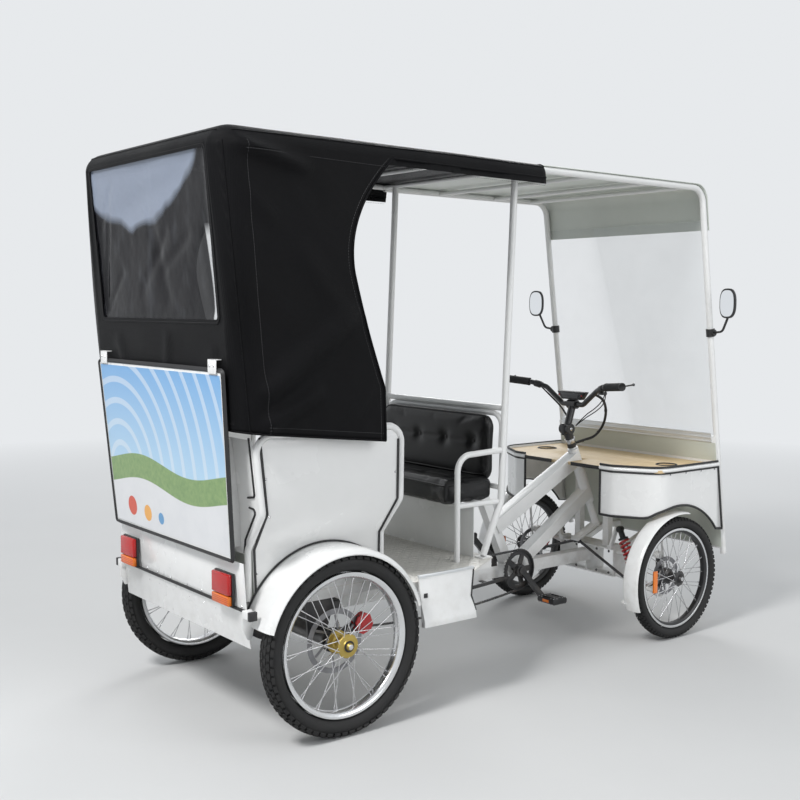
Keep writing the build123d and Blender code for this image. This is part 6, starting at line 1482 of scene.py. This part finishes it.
def welt_on(mesh, corners, bend):
    """Closed piping snapped to the pad's surface near a loop of corners."""
    middle = (corners[-1] + corners[0]) / 2
    loop = rounded([middle] + corners + [middle], [bend] * len(corners))[:-1]
    even = [place for place, _ in spaced(loop + [loop[0]], 0.012)]
    tree = surface_of(mesh)
    snapped = []
    for point in even:
        place, normal, _, _ = tree.find_nearest(point)
        snapped.append(place + normal * WELT * 0.4)
    for _ in range(3):
        snapped = [(snapped[k - 1] + p * 2 + snapped[(k + 1) % len(snapped)]) / 4 for k,
                   p in enumerate(snapped)]
    return carried(snapped, circle_section(WELT, 8), closed=True)


# %% Bench and rear seat
VOXEL, REAR_VOXEL, PAD_FILL = 0.007, 0.009, 0.8
BUTTON_ROW = (-0.24, -0.08, 0.08, 0.24)
BUTTON_DEPTH, BUTTON_REACH, REST_LEAN = 0.011, 0.026, 0.0443


def rest_part(x, half, low, high, bend, thickness):
    """Upright pad with round corners that leans back as it rises; x is its seating face at the foot."""
    corners = [Vector((0, y, z)) for y, z in ((half, low), (half, high), (-half, high), (-half, low))]
    middle = (corners[3] + corners[0]) / 2
    ring = rounded([middle] + corners + [middle], [bend] * 4)[:-1]
    return skin([[at(x + REST_LEAN * (p.z - low) + deep, p.y, p.z) for p in ring]
                 for deep in (0.0, thickness)])


bench_pad = swollen("bench_cushion_pad", slab_part([(0.568, 0.668), (0.798, 0.668), (0.798, 0.736),
                                                    (0.568, 0.736)], 0.336), VOXEL, 0.012)
bench_rest = swollen("bench_backrest_pad", rest_part(0.774, 0.333, 0.718, 0.980, 0.05, 0.027), VOXEL, 0.010)
rear_pad = swollen("rear_cushion_pad", slab_part([(-0.224, 0.688), (0.153, 0.688), (0.153, 0.752),
                                                  (-0.224, 0.752)], 0.354), REAR_VOXEL, 0.012)
rear_rest = swollen("rear_backrest_pad", slab_part([(-0.292, 0.942), (-0.269, 0.742), (-0.267, 0.700),
                                                    (-0.247, 0.700), (-0.249, 0.742), (-0.270, 0.942)],
                                                   0.354), REAR_VOXEL, 0.010)
buttons = []
for mesh, x, z, facing in ((bench_rest, 0.775, 0.872, -AHEAD), (bench_pad, 0.68, 0.742, UP),
                           (rear_rest, -0.255, 0.86, AHEAD), (rear_pad, -0.03, 0.76, UP)):
    spots = [at(x, y, z) for y in BUTTON_ROW]
    dimpled(mesh, spots, facing, BUTTON_DEPTH, BUTTON_REACH)
    tree = surface_of(mesh)
    for spot in spots:
        place, _, _, _ = tree.ray_cast(spot + facing * 0.1, -facing)
        buttons.append((place + facing * 0.001, facing, None, 1))
welts = [welt_on(bench_pad, [at(0.566, -0.338, 0.729), at(0.798, -0.338, 0.729), at(0.798, 0.338, 0.729),
                             at(0.566, 0.338, 0.729)], 0.03),
         welt_on(bench_rest, [at(0.772, -0.334, 0.752), at(0.780, -0.334, 0.984), at(0.780, 0.334, 0.984),
                              at(0.772, 0.334, 0.752)], 0.035),
         welt_on(rear_pad, [at(-0.23, -0.36, 0.749), at(0.16, -0.36, 0.749), at(0.16, 0.36, 0.749),
                            at(-0.23, 0.36, 0.749)], 0.03)]
for name, mesh, nodes in (("bench_cushion", bench_pad, ["bench_seat"]), ("bench_backrest", bench_rest, []),
                          ("rear_cushion", rear_pad, ["rear_seat"]), ("rear_backrest", rear_rest, [])):
    finish_pad(name, mesh, nodes)
piece_of("seat_welts", welts, seat_vinyl, "chassis")
repeated("seat_buttons", buttons, "rod", (0.005, 0.009, 0.006), seat_vinyl, "chassis", 14)

# %% Saddle
SADDLE_X, SADDLE_LOW, SADDLE_HIGH = 0.9627, 0.852, 0.899
SADDLE_HALF = [(-0.122, 0.05), (-0.106, 0.085), (-0.02, 0.066), (0.07, 0.022), (0.125, 0.012)]
outline = SADDLE_HALF + [(x, -y) for x, y in SADDLE_HALF[::-1]]
rings = [[at(SADDLE_X + x * scale, y * scale, z) for x, y in outline] for z,
         scale in ((SADDLE_LOW, 0.86), (SADDLE_LOW + 0.014, 1.0), (SADDLE_HIGH - 0.014, 1.0),
                   (SADDLE_HIGH, 0.9))]
saddle_pad = swollen("saddle_pad", skin(rings), 0.005, 0.006)
finish_pad("saddle_cover", saddle_pad, ["saddle"])

# %% [markdown]
# ## Fairing, shelf and screen foot
# The white wings carry black rubber on every edge. The shelf between them is plywood with a black lip and
# cup rings, and the screen stands on a ribbed aluminium strip above a grey-green lining.


# %% Fairing trim
HOOP_FOOT, HOOP_LEAN = (2.0389, 0.335), 0.1352
WING_X, WING_TURN_X, WING_STOP = 1.502, 1.602, 0.016
WING_INNER, WING_CORNER, WING_OUTER = 0.222, 0.282, 0.4605


def hoop_at(z, back):
    """X of the hoop's centre line at height z, moved back."""
    return HOOP_FOOT[0] - (z - HOOP_FOOT[1]) * HOOP_LEAN - back


ARCH_CENTRE, ARCH, PANEL_LOW, PANEL_TOP = (WHEELBASE, FRONT_RADIUS), 0.3045, 0.512, 0.722


def fairing_line(s, z, out=0.0):
    """Plan line of one wing at height z, moved outwards: straight rear, soft corner, straight side."""
    corners = [at(WING_X - out, s * WING_INNER, z), at(WING_X - out, s * (WING_CORNER + out / 2), z),
               at(WING_TURN_X - out / 2, s * (WING_OUTER + out), z),
               at(hoop_at(z, WING_STOP), s * (WING_OUTER + out), z)]
    return rounded(corners, [0.055, 0.11])


def panel_foot(point):
    """Height of the wing's lower edge: level at the rear, then up into the wheel arch."""
    x = point.x + MIDDLE_X
    share = min(1.0, max(0.0, (x - 1.555) / 0.05))
    share = share * share * (3 - 2 * share)
    across = x - ARCH_CENTRE[0]
    arch = ARCH_CENTRE[1] + math.sqrt(max(0.0, ARCH * ARCH - across * across))
    return PANEL_LOW + (max(0.343, arch) - PANEL_LOW) * share


skin_parts, wing_edges, rims, shelf_lips = [], [], [], []
for s in (-1, 1):
    line = fairing_line(s, PANEL_TOP)
    columns = [line[0]] + [place for place, _ in spaced(line, 0.009)] + [line[-1]]
    rows = []
    for k in range(25):
        row = []
        for foot in columns:
            z = panel_foot(foot) + (PANEL_TOP - panel_foot(foot)) * k / 24
            row.append(Vector((min(foot.x + 0.045, hoop_at(z, WING_STOP) - MIDDLE_X) if foot is columns[-1]
                               else foot.x, foot.y, z)))
        rows.append(row)
    skin_parts.append(grid_part(rows))
    front = [row[-1] for row in rows]
    edge = [row[0] for row in rows[::-1]] + rows[0][1:-1] + front
    wing_edges.append(carried([p + Vector((-0.001, s * 0.001, 0)) for p in edge[2:-1]],
                              circle_section(0.005, 8)))
    rims.append(carried(fairing_line(s, 0.709, 0.002), circle_section(0.0078, 12)))
    for z, radius in ((0.7225, 0.0046), (0.6975, 0.0042)):
        wing_edges.append(carried(fairing_line(s, z, 0.001), circle_section(radius, 8)))
    cup = at(1.768, s * 0.352, 0.7125)
    ring = [cup + Vector((0.0425 * math.cos(math.tau * k / 40), 0.0425 * math.sin(math.tau * k / 40), 0))
            for k in range(40)]
    shelf_lips.append(carried(ring, circle_section(0.0028, 8), closed=True))
    shelf_lips.append(side_block(s, (1.4965, 1.5005), (0.058, 0.222), (0.6985, 0.7135)))
fairing_mesh = sheet_mesh("fairing_skin", skin_parts, at(1.8, 0, 0.55))
fairing_skin = own_object("fairing_skin", fairing_mesh, panel_paint, "chassis")
thicken(fairing_skin, 0.004)
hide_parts("fairing_sides")
piece_of("fairing_rims", rims, panel_paint, "chassis")
piece_of("fairing_rubber", wing_edges, black_rubber, "chassis")
piece_of("shelf_lips", shelf_lips, black_rubber, "chassis")


def leaning(z0, z1, near, far, half):
    """Slab parallel to the hoop's posts, between two heights and two distances behind their centre line."""
    return slab_part([(hoop_at(z0, far), z0), (hoop_at(z1, far), z1), (hoop_at(z1, near), z1),
                      (hoop_at(z0, near), z0)], half)


strip = [leaning(0.800, 0.842, 0.0170, 0.0195, 0.4368)]
strip += [leaning(z, z + 0.006, 0.0190, 0.0215, 0.4368) for z in (0.801, 0.818, 0.835)]
piece_of("screen_foot_strip", strip, strip_alloy, "chassis", bevel=0.0006)
piece_of("front_panel_lining", [leaning(0.7235, 0.7995, 0.0168, 0.0176, 0.455),
                                leaning(0.345, 0.698, 0.0168, 0.0176, 0.455)], grey_print, "chassis")

# %% [markdown]
# ## Handlebar, levers, display and cables
# One swept bar on a folding stem, with ribbed grips, bent brake levers, a dark display and a sleeve of
# three cables that bows forward from the bar and comes back to the stem's foot.

# %% Handlebar
BAR = [(1.495, -0.335, 1.05), (1.53, -0.215, 1.04), (1.556, -0.15, 1.022), (1.566, -0.06, 0.954),
       (1.566, 0.06, 0.954), (1.556, 0.15, 1.022), (1.53, 0.215, 1.04), (1.495, 0.335, 1.05)]
bar_parts = [tube(BAR, 0.011, [0.06, 0.04, 0.03, 0.03, 0.04, 0.06])]
bar_parts.append(tube([(1.5660, 0, 0.7690), (1.5304, 0, 0.8488)], 0.02, sides=24))
bar_parts.append(tube([(1.5304, 0, 0.8488), (1.566, 0, 0.954)], 0.016, sides=24))
bar_parts.append(tube([(1.5304, -0.026, 0.8488), (1.5304, 0.026, 0.8488)], 0.023, sides=28))
bar_parts.append(tube([(1.566, -0.024, 0.954), (1.566, 0.024, 0.954)], 0.0195, sides=28))
piece_of("bar_and_stem", bar_parts, black_paint, "steering", ["handlebar"])
stem_metal = [tube([(1.5304, -0.0285, 0.8488), (1.5304, 0.0285, 0.8488)], 0.008, sides=6),
              tube([(1.5575, 0, 0.7882), (1.5495, 0, 0.8062)], 0.0215, sides=28)]
piece_of("stem_bolt_and_collar", stem_metal, bright_steel, "steering", bevel=0.0006)
latch = [box_part(at(1.5065, -0.009, 0.822), at(1.5125, 0.009, 0.872)), box_part(at(1.512, -0.007, 0.8455),
                                                                                 at(1.520, 0.007, 0.8525))]
piece_of("stem_latch", latch, black_plastic, "steering", bevel=0.0015)

grip_ribs, grip_sleeves, lever_parts, clamp_parts = [], [], [], []
for s in (-1, 1):
    before, corner, end = [at(x, s * y, z) for x, y, z in ((1.556, 0.15, 1.022), (1.53, 0.215, 1.04),
                                                           (1.495, 0.335, 1.05))]
    run, grip_run = (corner - before).normalized(), (end - corner).normalized()
    ahead = grip_run.cross(UP).normalized() * s
    grip_start, grip_end = corner + grip_run * 0.012, end + grip_run * 0.006
    grip_sleeves.append(carried([grip_start, grip_end], circle_section(0.0155, 20)))
    grip_sleeves.append(carried([grip_end - grip_run * 0.006, grip_end], circle_section(0.017, 20)))
    grip_sleeves.append(carried([grip_start, grip_start + grip_run * 0.005], circle_section(0.0175, 20)))
    grip_ribs += [(grip_start + grip_run * (0.009 + 0.0055 * k), grip_run, None, 1) for k in range(18)]
    clamp_end = corner - run * 0.014
    clamp_start = clamp_end - run * 0.03
    clamp_parts.append(carried([clamp_start, clamp_end], circle_section(0.015, 20)))
    middle = (clamp_start + clamp_end) / 2
    pivot = middle + ahead * 0.026
    knee = corner + ahead * 0.059 + grip_run * 0.03
    tip = end + ahead * 0.059 + Vector((0, 0, 0.008))
    clamp_parts.append(carried([middle, middle + ahead * 0.031], bar_section(0.0115, 0.006),
                               UP))
    blade = bar_section(0.0052, 0.0028)
    lever_parts.append(carried(rounded([pivot, knee, tip], [0.03]), blade, UP))
    lever_parts.append(carried([tip - grip_run * 0.006, tip], circle_section(0.0062, 12)))
piece_of("grip_sleeves", grip_sleeves, black_rubber, "steering", ["grips"])
repeated("grip_ribs", grip_ribs, "rod", (0.0032, 0.0169, 0.0169), black_rubber, "steering", 20)
piece_of("lever_clamps", clamp_parts, black_plastic, "steering", ["controls"], bevel=0.001)
piece_of("brake_levers", lever_parts, black_paint, "steering", bevel=0.0014)
case = [at(1.549 + dx, y, z) for dx, inset in ((0.0, 0.004), (0.004, 0.0), (0.030, 0.0), (0.034, 0.004))
        for y, z in ((-0.081 + inset, 1.0100 - inset), (0.081 - inset, 1.0100 - inset),
                     (0.055 - inset, 0.9748 + inset), (-0.055 + inset, 0.9748 + inset))]
piece_of("display_case", [skin([case[k:k + 4] for k in range(0, 16, 4)])], black_plastic, "steering",
         bevel=0.002)
glass = plain_finish("display glass", (0.012, 0.014, 0.018), 0.08, tone=0.1, coat=0.5)
face_part = [at(x, y, z) for x in (1.5478, 1.5492) for y, z in ((-0.058, 1.0035), (0.058, 1.0035),
                                                                (0.042, 0.982), (-0.042, 0.982))]
piece_of("display_face", [skin([face_part[:4], face_part[4:]])], glass, "steering",
         bevel=0.0004)
piece_of("display_buttons", [box_part(at(1.5475, y - 0.004, 0.9905), at(1.5495, y + 0.004, 0.9965))
                             for y in (-0.066, 0.066)], red_lens, "steering", bevel=0.0008)
shifter = [box_part(at(1.538, -0.196, 1.006), at(1.566, -0.170, 1.018)), box_part(at(1.520, -0.192, 1.010),
                                                                                  at(1.540, -0.186, 1.016))]
piece_of("thumb_shifter", shifter, black_plastic, "steering", bevel=0.002)

# %% Cable bundle
BUNDLE = [(1.568, -0.1318, 1.0008), (1.598, -0.145, 0.988), (1.643, -0.125, 0.931), (1.669, -0.085, 0.862),
          (1.652, -0.052, 0.812), (1.603, -0.034, 0.797), (1.5751, -0.0131, 0.7866)]


def spline_points(points, resolution=10):
    """Points of the smooth NURBS line that has these control points."""
    curve = bpy.data.curves.new("route", "CURVE")
    curve.dimensions = "3D"
    spline = curve.splines.new("NURBS")
    spline.points.add(len(points) - 1)
    for knot, point in zip(spline.points, points):
        knot.co = (*point, 1.0)
    spline.use_endpoint_u = True
    spline.order_u = 3
    spline.resolution_u = resolution
    holder = bpy.data.objects.new("route", curve)
    mesh = bpy.data.meshes.new_from_object(holder)
    route = [v.co.copy() for v in mesh.vertices]
    bpy.data.objects.remove(holder)
    return route


sleeve_route = spline_points([at(*p) for p in BUNDLE])
cable_parts = []
for number in range(3):
    turned = []
    for k, point in enumerate(sleeve_route):
        before, after = sleeve_route[max(0, k - 1)], sleeve_route[min(len(sleeve_route) - 1, k + 1)]
        tangent = (after - before).normalized()
        side = tangent.cross(UP).normalized()
        a = math.tau * (number / 3 + 0.9 * k / len(sleeve_route))
        turned.append(point + (side * math.cos(a) + tangent.cross(side) * math.sin(a)) * 0.0036)
    cable_parts.append(carried(turned, circle_section(0.0027, 10)))
for share in (0.3, 0.62, 0.9):
    k = int(share * (len(sleeve_route) - 1))
    cable_parts.append(carried([sleeve_route[k],
                                sleeve_route[k] + (sleeve_route[k + 1] - sleeve_route[k]).normalized()
                                * 0.006], circle_section(0.0068, 14)))
for s in (-1, 1):
    for drop, reach in ((0.0, 0.012), (0.012, 0.022)):
        loose = [(1.556, s * 0.196, 1.028), (1.572 + reach, s * 0.165, 0.990 - drop),
                 (1.585 + reach, s * 0.11, 0.945 - drop), (1.583, s * 0.05, 0.905 - drop),
                 (1.574, s * 0.012, 0.860)]
        cable_parts.append(carried(spline_points([at(*p) for p in loose], 6), circle_section(0.0023, 8)))
piece_of("cable_sleeve", cable_parts, black_rubber, "steering", ["cable_bundle"])

# %% Mirrors
mirror_glass = plain_finish("mirror glass", (0.86, 0.88, 0.9), 0.04, metallic=1.0, tone=0.01, peel=0.0)
mirror_parts = []
for s in (-1, 1):
    mirror_parts.append(tube([(1.9127, s * 0.466, 1.268), (1.9067, s * 0.514, 1.274),
                              (1.8987, s * 0.554, 1.352)], 0.005, [0.026], 12))
    mirror_parts.append(tube([(1.9127, s * 0.445, 1.268), (1.9127, s * 0.472, 1.268)], 0.014, sides=16))
    mirror_parts.append(tube([(1.9155, s * 0.45, 1.252), (1.9111, s * 0.45, 1.284)], 0.0185, sides=20))
    centre, normal = at(1.8887, s * 0.554, 1.390), Vector((1, s * 0.12, 0)).normalized()
    side, rise = UP.cross(normal), UP
    mirror_rings = []
    for depth, scale in ((-0.009, 0.95), (-0.0085, 1.0), (0.0, 1.0), (0.005, 0.93), (0.008, 0.76),
                         (0.009, 0.5)):
        ring = []
        for k in range(40):
            a = math.tau * k / 40
            u = math.copysign(abs(math.cos(a)) ** 0.72, math.cos(a)) * 0.041
            v = math.copysign(abs(math.sin(a)) ** 0.72, math.sin(a)) * 0.061
            ring.append(centre + side * u * scale + rise * v * scale + normal * depth)
        mirror_rings.append(ring)
    mirror_parts.append(skin(mirror_rings))
    face = [[p + normal * d for p in [centre + (q - centre - normal * -0.009) * 0.93 + normal * -0.009
                                      for q in mirror_rings[0]]] for d in (-0.0012, 0.0002)]
    piece_of(f"mirror_glass_{'left' if s > 0 else 'right'}", [skin(face)], mirror_glass, "chassis")
piece_of("mirror_arms", mirror_parts, black_plastic, "chassis", ["mirrors"], limit=30)

# %% [markdown]
# ## Springs, brakes and drive
# The coil springs are helices carried round the damper's axis. The chain is a loop of link plates and
# rollers laid out by the repeating tree, and the chainring gets its teeth the same way.

# %% Coil springs
spring_parts, damper_parts, seat_parts = [], [], []
for s in (-1, 1):
    low, high = at(1.663, s * 0.292, 0.232), at(1.663, s * 0.196, 0.424)
    along = (high - low).normalized()
    side = along.orthogonal().normalized()
    across = along.cross(side)
    helix, turns, pitch, per_turn = [], 7, 0.017, 20
    for k in range(turns * per_turn + 1):
        a = math.tau * k / per_turn
        climb = 0.049 + pitch * k / per_turn
        helix.append(low + along * climb + (side * math.cos(a) + across * math.sin(a)) * 0.0205)
    spring_parts.append(carried(helix, circle_section(0.0046, 10)))
    length = (high - low).length
    for start, stop, radius in ((0.0, 0.040, 0.012), (0.040, 0.150, 0.010), (0.150, length, 0.007)):
        damper_parts.append(carried([low + along * start, low + along * stop], circle_section(radius, 20)))
    for start, stop, radius in ((0.040, 0.046, 0.022), (0.168, 0.176, 0.0215),
                                (0.176, length - 0.004, 0.0125)):
        seat_parts.append(carried([low + along * start, low + along * stop], circle_section(radius, 24)))
    for point in (low, high):
        seat_parts.append(carried([point - Vector((0.012, 0, 0)), point + Vector((0.012, 0, 0))],
                                  circle_section(0.0132, 20)))
piece_of("coil_springs", spring_parts, red_paint, "chassis", ["shock_absorbers"], limit=50)
piece_of("damper_rods", damper_parts, bright_steel, "chassis")
piece_of("damper_seats", seat_parts, black_plastic, "chassis", bevel=0.0008)

# %% Brake calipers
CALIPER_HALF, CALIPER_FAR, CALIPER_CUT = 0.0314, 0.1488, 0.014
caliper_parts = []
for s in (-1, 1):
    turn = Matrix.Rotation(math.radians(-20), 3, "Y")
    axle = at(0, 0, REAR_RADIUS)
    for inner, y0, y1 in ((0.0872, 0.4366, 0.4509), (0.0872, 0.4591, 0.4678), (0.1130, 0.4500, 0.4600)):
        cut = CALIPER_CUT if inner < 0.1 else 0.0
        near_far, near_half = CALIPER_FAR - CALIPER_CUT, CALIPER_HALF - CALIPER_CUT
        outline = [(inner + cut, -CALIPER_HALF), (near_far, -CALIPER_HALF), (CALIPER_FAR, -near_half),
                   (CALIPER_FAR, near_half), (near_far, CALIPER_HALF), (inner + cut, CALIPER_HALF),
                   (inner, CALIPER_HALF - cut), (inner, cut - CALIPER_HALF)]
        outline = outline if cut else outline[:6]
        rings = [[axle + turn @ Vector((x, s * y, z)) for x, z in outline] for y in (y0, y1)]
        caliper_parts.append(skin(rings))
piece_of("caliper_covers", caliper_parts, red_paint, "chassis", bevel=0.0015)

# %% Chain and chainring
CRANK, AXLE_Z, CHAIN_Y = (1.187, 0.291), REAR_RADIUS, -0.068
RING_R, COG_R, SAG_Z, LINK, TEETH = 0.083, 0.050, 0.176, 0.0127, 38


def arc_through(a, b, c, count):
    """Points of the circle arc from a through b to c, in the XZ plane."""
    (ax, az), (bx, bz), (cx, cz) = a, b, c
    d = 2 * (ax * (bz - cz) + bx * (cz - az) + cx * (az - bz))
    ux = ((ax * ax + az * az) * (bz - cz) + (bx * bx + bz * bz) * (cz - az) + (cx * cx + cz * cz)
          * (az - bz)) / d
    uz = ((ax * ax + az * az) * (cx - bx) + (bx * bx + bz * bz) * (ax - cx) + (cx * cx + cz * cz)
          * (bx - ax)) / d
    radius = math.hypot(ax - ux, az - uz)
    start, middle, stop = (math.atan2(z - uz, x - ux) for x, z in (a, b, c))
    span = (stop - start) % math.tau
    if (middle - start) % math.tau > span:
        span -= math.tau
    return [(ux + radius * math.cos(start + span * k / count),
             uz + radius * math.sin(start + span * k / count)) for k in range(count + 1)]


loop = [(CRANK[0], CRANK[1] + RING_R), (0.0, AXLE_Z + COG_R)]
loop += arc_through((0.0, AXLE_Z + COG_R), (-COG_R, AXLE_Z), (0.0, AXLE_Z - COG_R), 24)[1:]
loop += arc_through((0.0, AXLE_Z - COG_R), (CRANK[0] / 2, SAG_Z), (CRANK[0], CRANK[1] - RING_R), 90)[1:]
loop += arc_through((CRANK[0], CRANK[1] - RING_R), (CRANK[0] + RING_R, CRANK[1]),
                    (CRANK[0], CRANK[1] + RING_R), 36)[1:]
chain_line = [at(x, CHAIN_Y, z) for x, z in loop]
chain_length = sum((b - a).length for a, b in zip(chain_line, chain_line[1:]))
pins = spaced(chain_line, chain_length / round(chain_length / LINK))
plates, rollers = [], []
for k, (place, run) in enumerate(pins):
    rollers.append((place, LEFT, None, 1))
    next_place = pins[(k + 1) % len(pins)][0]
    offset = 0.0031 if k % 2 else 0.0022
    for s in (-1, 1):
        plates.append(((place + next_place) / 2 + LEFT * s * offset, run.cross(LEFT), next_place - place, 1))
chain_piece = repeated("chain_plates", plates, "block", (0.0185, 0.0009, 0.0078), black_paint, "chassis")
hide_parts("chain")
repeated("chain_rollers", rollers, "rod", (0.0068, 0.0036, 0.0036), bright_steel, "chassis", 8)
teeth = []
for k in range(TEETH):
    a = math.tau * k / TEETH
    out = around_y(1, a)
    teeth.append((at(CRANK[0], CHAIN_Y, CRANK[1]) + out * 0.0795, out, None, 1))
repeated("chainring_teeth", teeth, "rod", (0.007, 0.0042, 0.0018), black_paint, "crankset", 4)
guard_ring = [(-0.004, 0.0765), (-0.004, 0.0835), (-0.0015, 0.0835), (-0.0015, 0.0765)]
piece_of("chainring_guard", [lathed(at(CRANK[0], CHAIN_Y - 0.0035, CRANK[1]), guard_ring, 72)],
         black_plastic, "crankset")
orange_reflector = plain_finish("orange reflector", (0.85, 0.20, 0.01), 0.15, tone=0.15, coat=0.6)
for name, s, x, z in (("right", -1, 1.2933, 0.1687), ("left", 1, 1.0807, 0.4133)):
    blocks = []
    for dx in (-0.0395, 0.0365):
        blocks.append(side_block(s, (x + dx, x + dx + 0.003), (0.142, 0.178), (z - 0.006, z + 0.006)))
    piece_of(f"pedal_reflectors_{name}", blocks, orange_reflector, f"pedal_{name}",
             bevel=0.0008)
    pins_here = []
    for dz in (-0.0128, 0.0128):
        for dx in (-0.0345, -0.0155, 0.0155, 0.0345):
            for dy in (0.118, 0.134, 0.186, 0.202):
                pins_here.append((at(x + dx, s * dy, z + dz), Vector((0, 0, math.copysign(1, dz))), None, 1))
    repeated(f"pedal_pins_{name}", pins_here, "rod", (0.003, 0.0018, 0.0012), bright_steel, f"pedal_{name}",
             6)
for name, s in SIDES:
    block = side_block(s, (WHEELBASE - 0.146, WHEELBASE - 0.120), (0.449, 0.456), (0.207, 0.299))
    piece_of(f"spoke_reflector_{name}", [block], orange_reflector, f"front_wheel_{name}",
             bevel=0.003)
stand = [slab_part([(1.074, 0.311), (1.105, 0.311), (1.098, 0.350), (1.056, 0.392), (1.046, 0.382),
                    (1.078, 0.345)], 0.0016)]
stand = [([v + Vector((0, -0.0265, 0)) for v in verts], faces) for verts, faces in stand]
bar = slab_part([(0.925, 0.250), (1.12, 0.262), (1.12, 0.277), (0.925, 0.265)], 0.002)
stand.append(([v + Vector((0, -0.080, 0)) for v in bar[0]], bar[1]))
stand.append(box_part(at(1.005, -0.079, 0.258), at(1.025, -0.0255, 0.2625)))
piece_of("chain_cover_bar", stand, black_paint, "chassis", bevel=0.0008)

# %% [markdown]
# ## Checker plate and screws
# The floor's raised lozenges alternate by a right angle, and small domed screws hold the panels. Both are
# laid out by the repeating tree from short rules.

# %% Checker plate
LOZENGE_PITCH, DECK_Z, DECK_MARGIN = 0.026, 0.4551, 0.012


def on_deck(x, y):
    half = 0.384 if x < 0.292 else 0.497 if x < 0.555 else 0.497 - (x - 0.555) / 0.205 * 0.122
    return -0.262 < x - DECK_MARGIN and x + DECK_MARGIN < 0.76 and abs(y) + DECK_MARGIN < half


lozenges = []
for row in range(int(1.022 / LOZENGE_PITCH)):
    for column in range(-20, 21):
        x, y = -0.25 + LOZENGE_PITCH * row, LOZENGE_PITCH * column
        if on_deck(x, y):
            lean = math.radians(45 if (row + column) % 2 else -45)
            lozenges.append((at(x, y, DECK_Z + 0.0001), UP, Vector((math.cos(lean), math.sin(lean), 0)),
                             (1, 0.26, 1)))
repeated("floor_lozenges", lozenges, "rod", (0.0016, 0.0115, 0.0085), floor_metal, "chassis",
         8)

# %% Screws
screws = []
for s in (-1, 1):
    for x, y, z in SIDE_REAR_EDGE[:1] + [(-0.278, 0.4805, 0.86), (-0.2655, 0.4805, 0.742),
                                         (-0.258, 0.3925, 0.55), (0.2345, 0.4805, 0.84),
                                         (0.226, 0.3925, 0.55)]:
        screws.append((at(x + (0.009 if x < 0 else -0.009), s * (y + 0.001), z - 0.01), Vector((0, s, 0)),
                       None, 1))
    for y in (0.06, 0.16, 0.24, 0.42):
        screws.append((at(-0.3225, s * y, 0.452), -AHEAD, None, 0.8))
        screws.append((at(-0.3125, s * y, 0.410), -AHEAD, None, 0.8))
    for dy in (-0.013, 0.013):
        screws.append((at(-0.4045, s * 0.395 + dy, 1.194), -AHEAD, None, 1.1))
    for x in (1.66, 1.76, 1.86, 1.95):
        screws.append((at(x, s * 0.4625, 0.69), Vector((0, s, 0)), None, 1))
    for x, z in ((1.675, 0.222), (1.675, 0.316), (1.769, 0.222), (1.769, 0.316)):
        for y in (0.06, 0.13):
            screws.append((at(1.6665, s * y, z), -AHEAD, None, 1.5))
repeated("panel_screws", screws, "rod", (0.0022, 0.0042, 0.0026), bright_steel, "chassis", 12)

# %% Frame, panels and small parts in their finishes
FINISHES = {
    white_paint: ["main_frame", "deck_frame", "front_subframe", "wishbones", "steering_column"],
    panel_paint: ["side_panels", "step_skirts", "rear_panels", "front_panel", "bench_riser"],
    black_paint: ["rear_axle", "crankset", "seat_post"],
    dark_metal: ["drive_motor", "knuckle_left", "knuckle_right", "tie_rod_left", "tie_rod_right"],
    black_plastic: ["battery_pack", "pedal_left", "pedal_right"],
    clear_screen: ["screen"],
    roof_plastic: ["rider_roof"],
    floor_metal: ["floor_deck"],
    plywood: ["shelf"],
    grey_print: ["rear_seat_box"],
}
for material, nodes in FINISHES.items():
    for node in nodes:
        dress(node, material)
print("dressed nodes:", sum(map(len, FINISHES.values())))
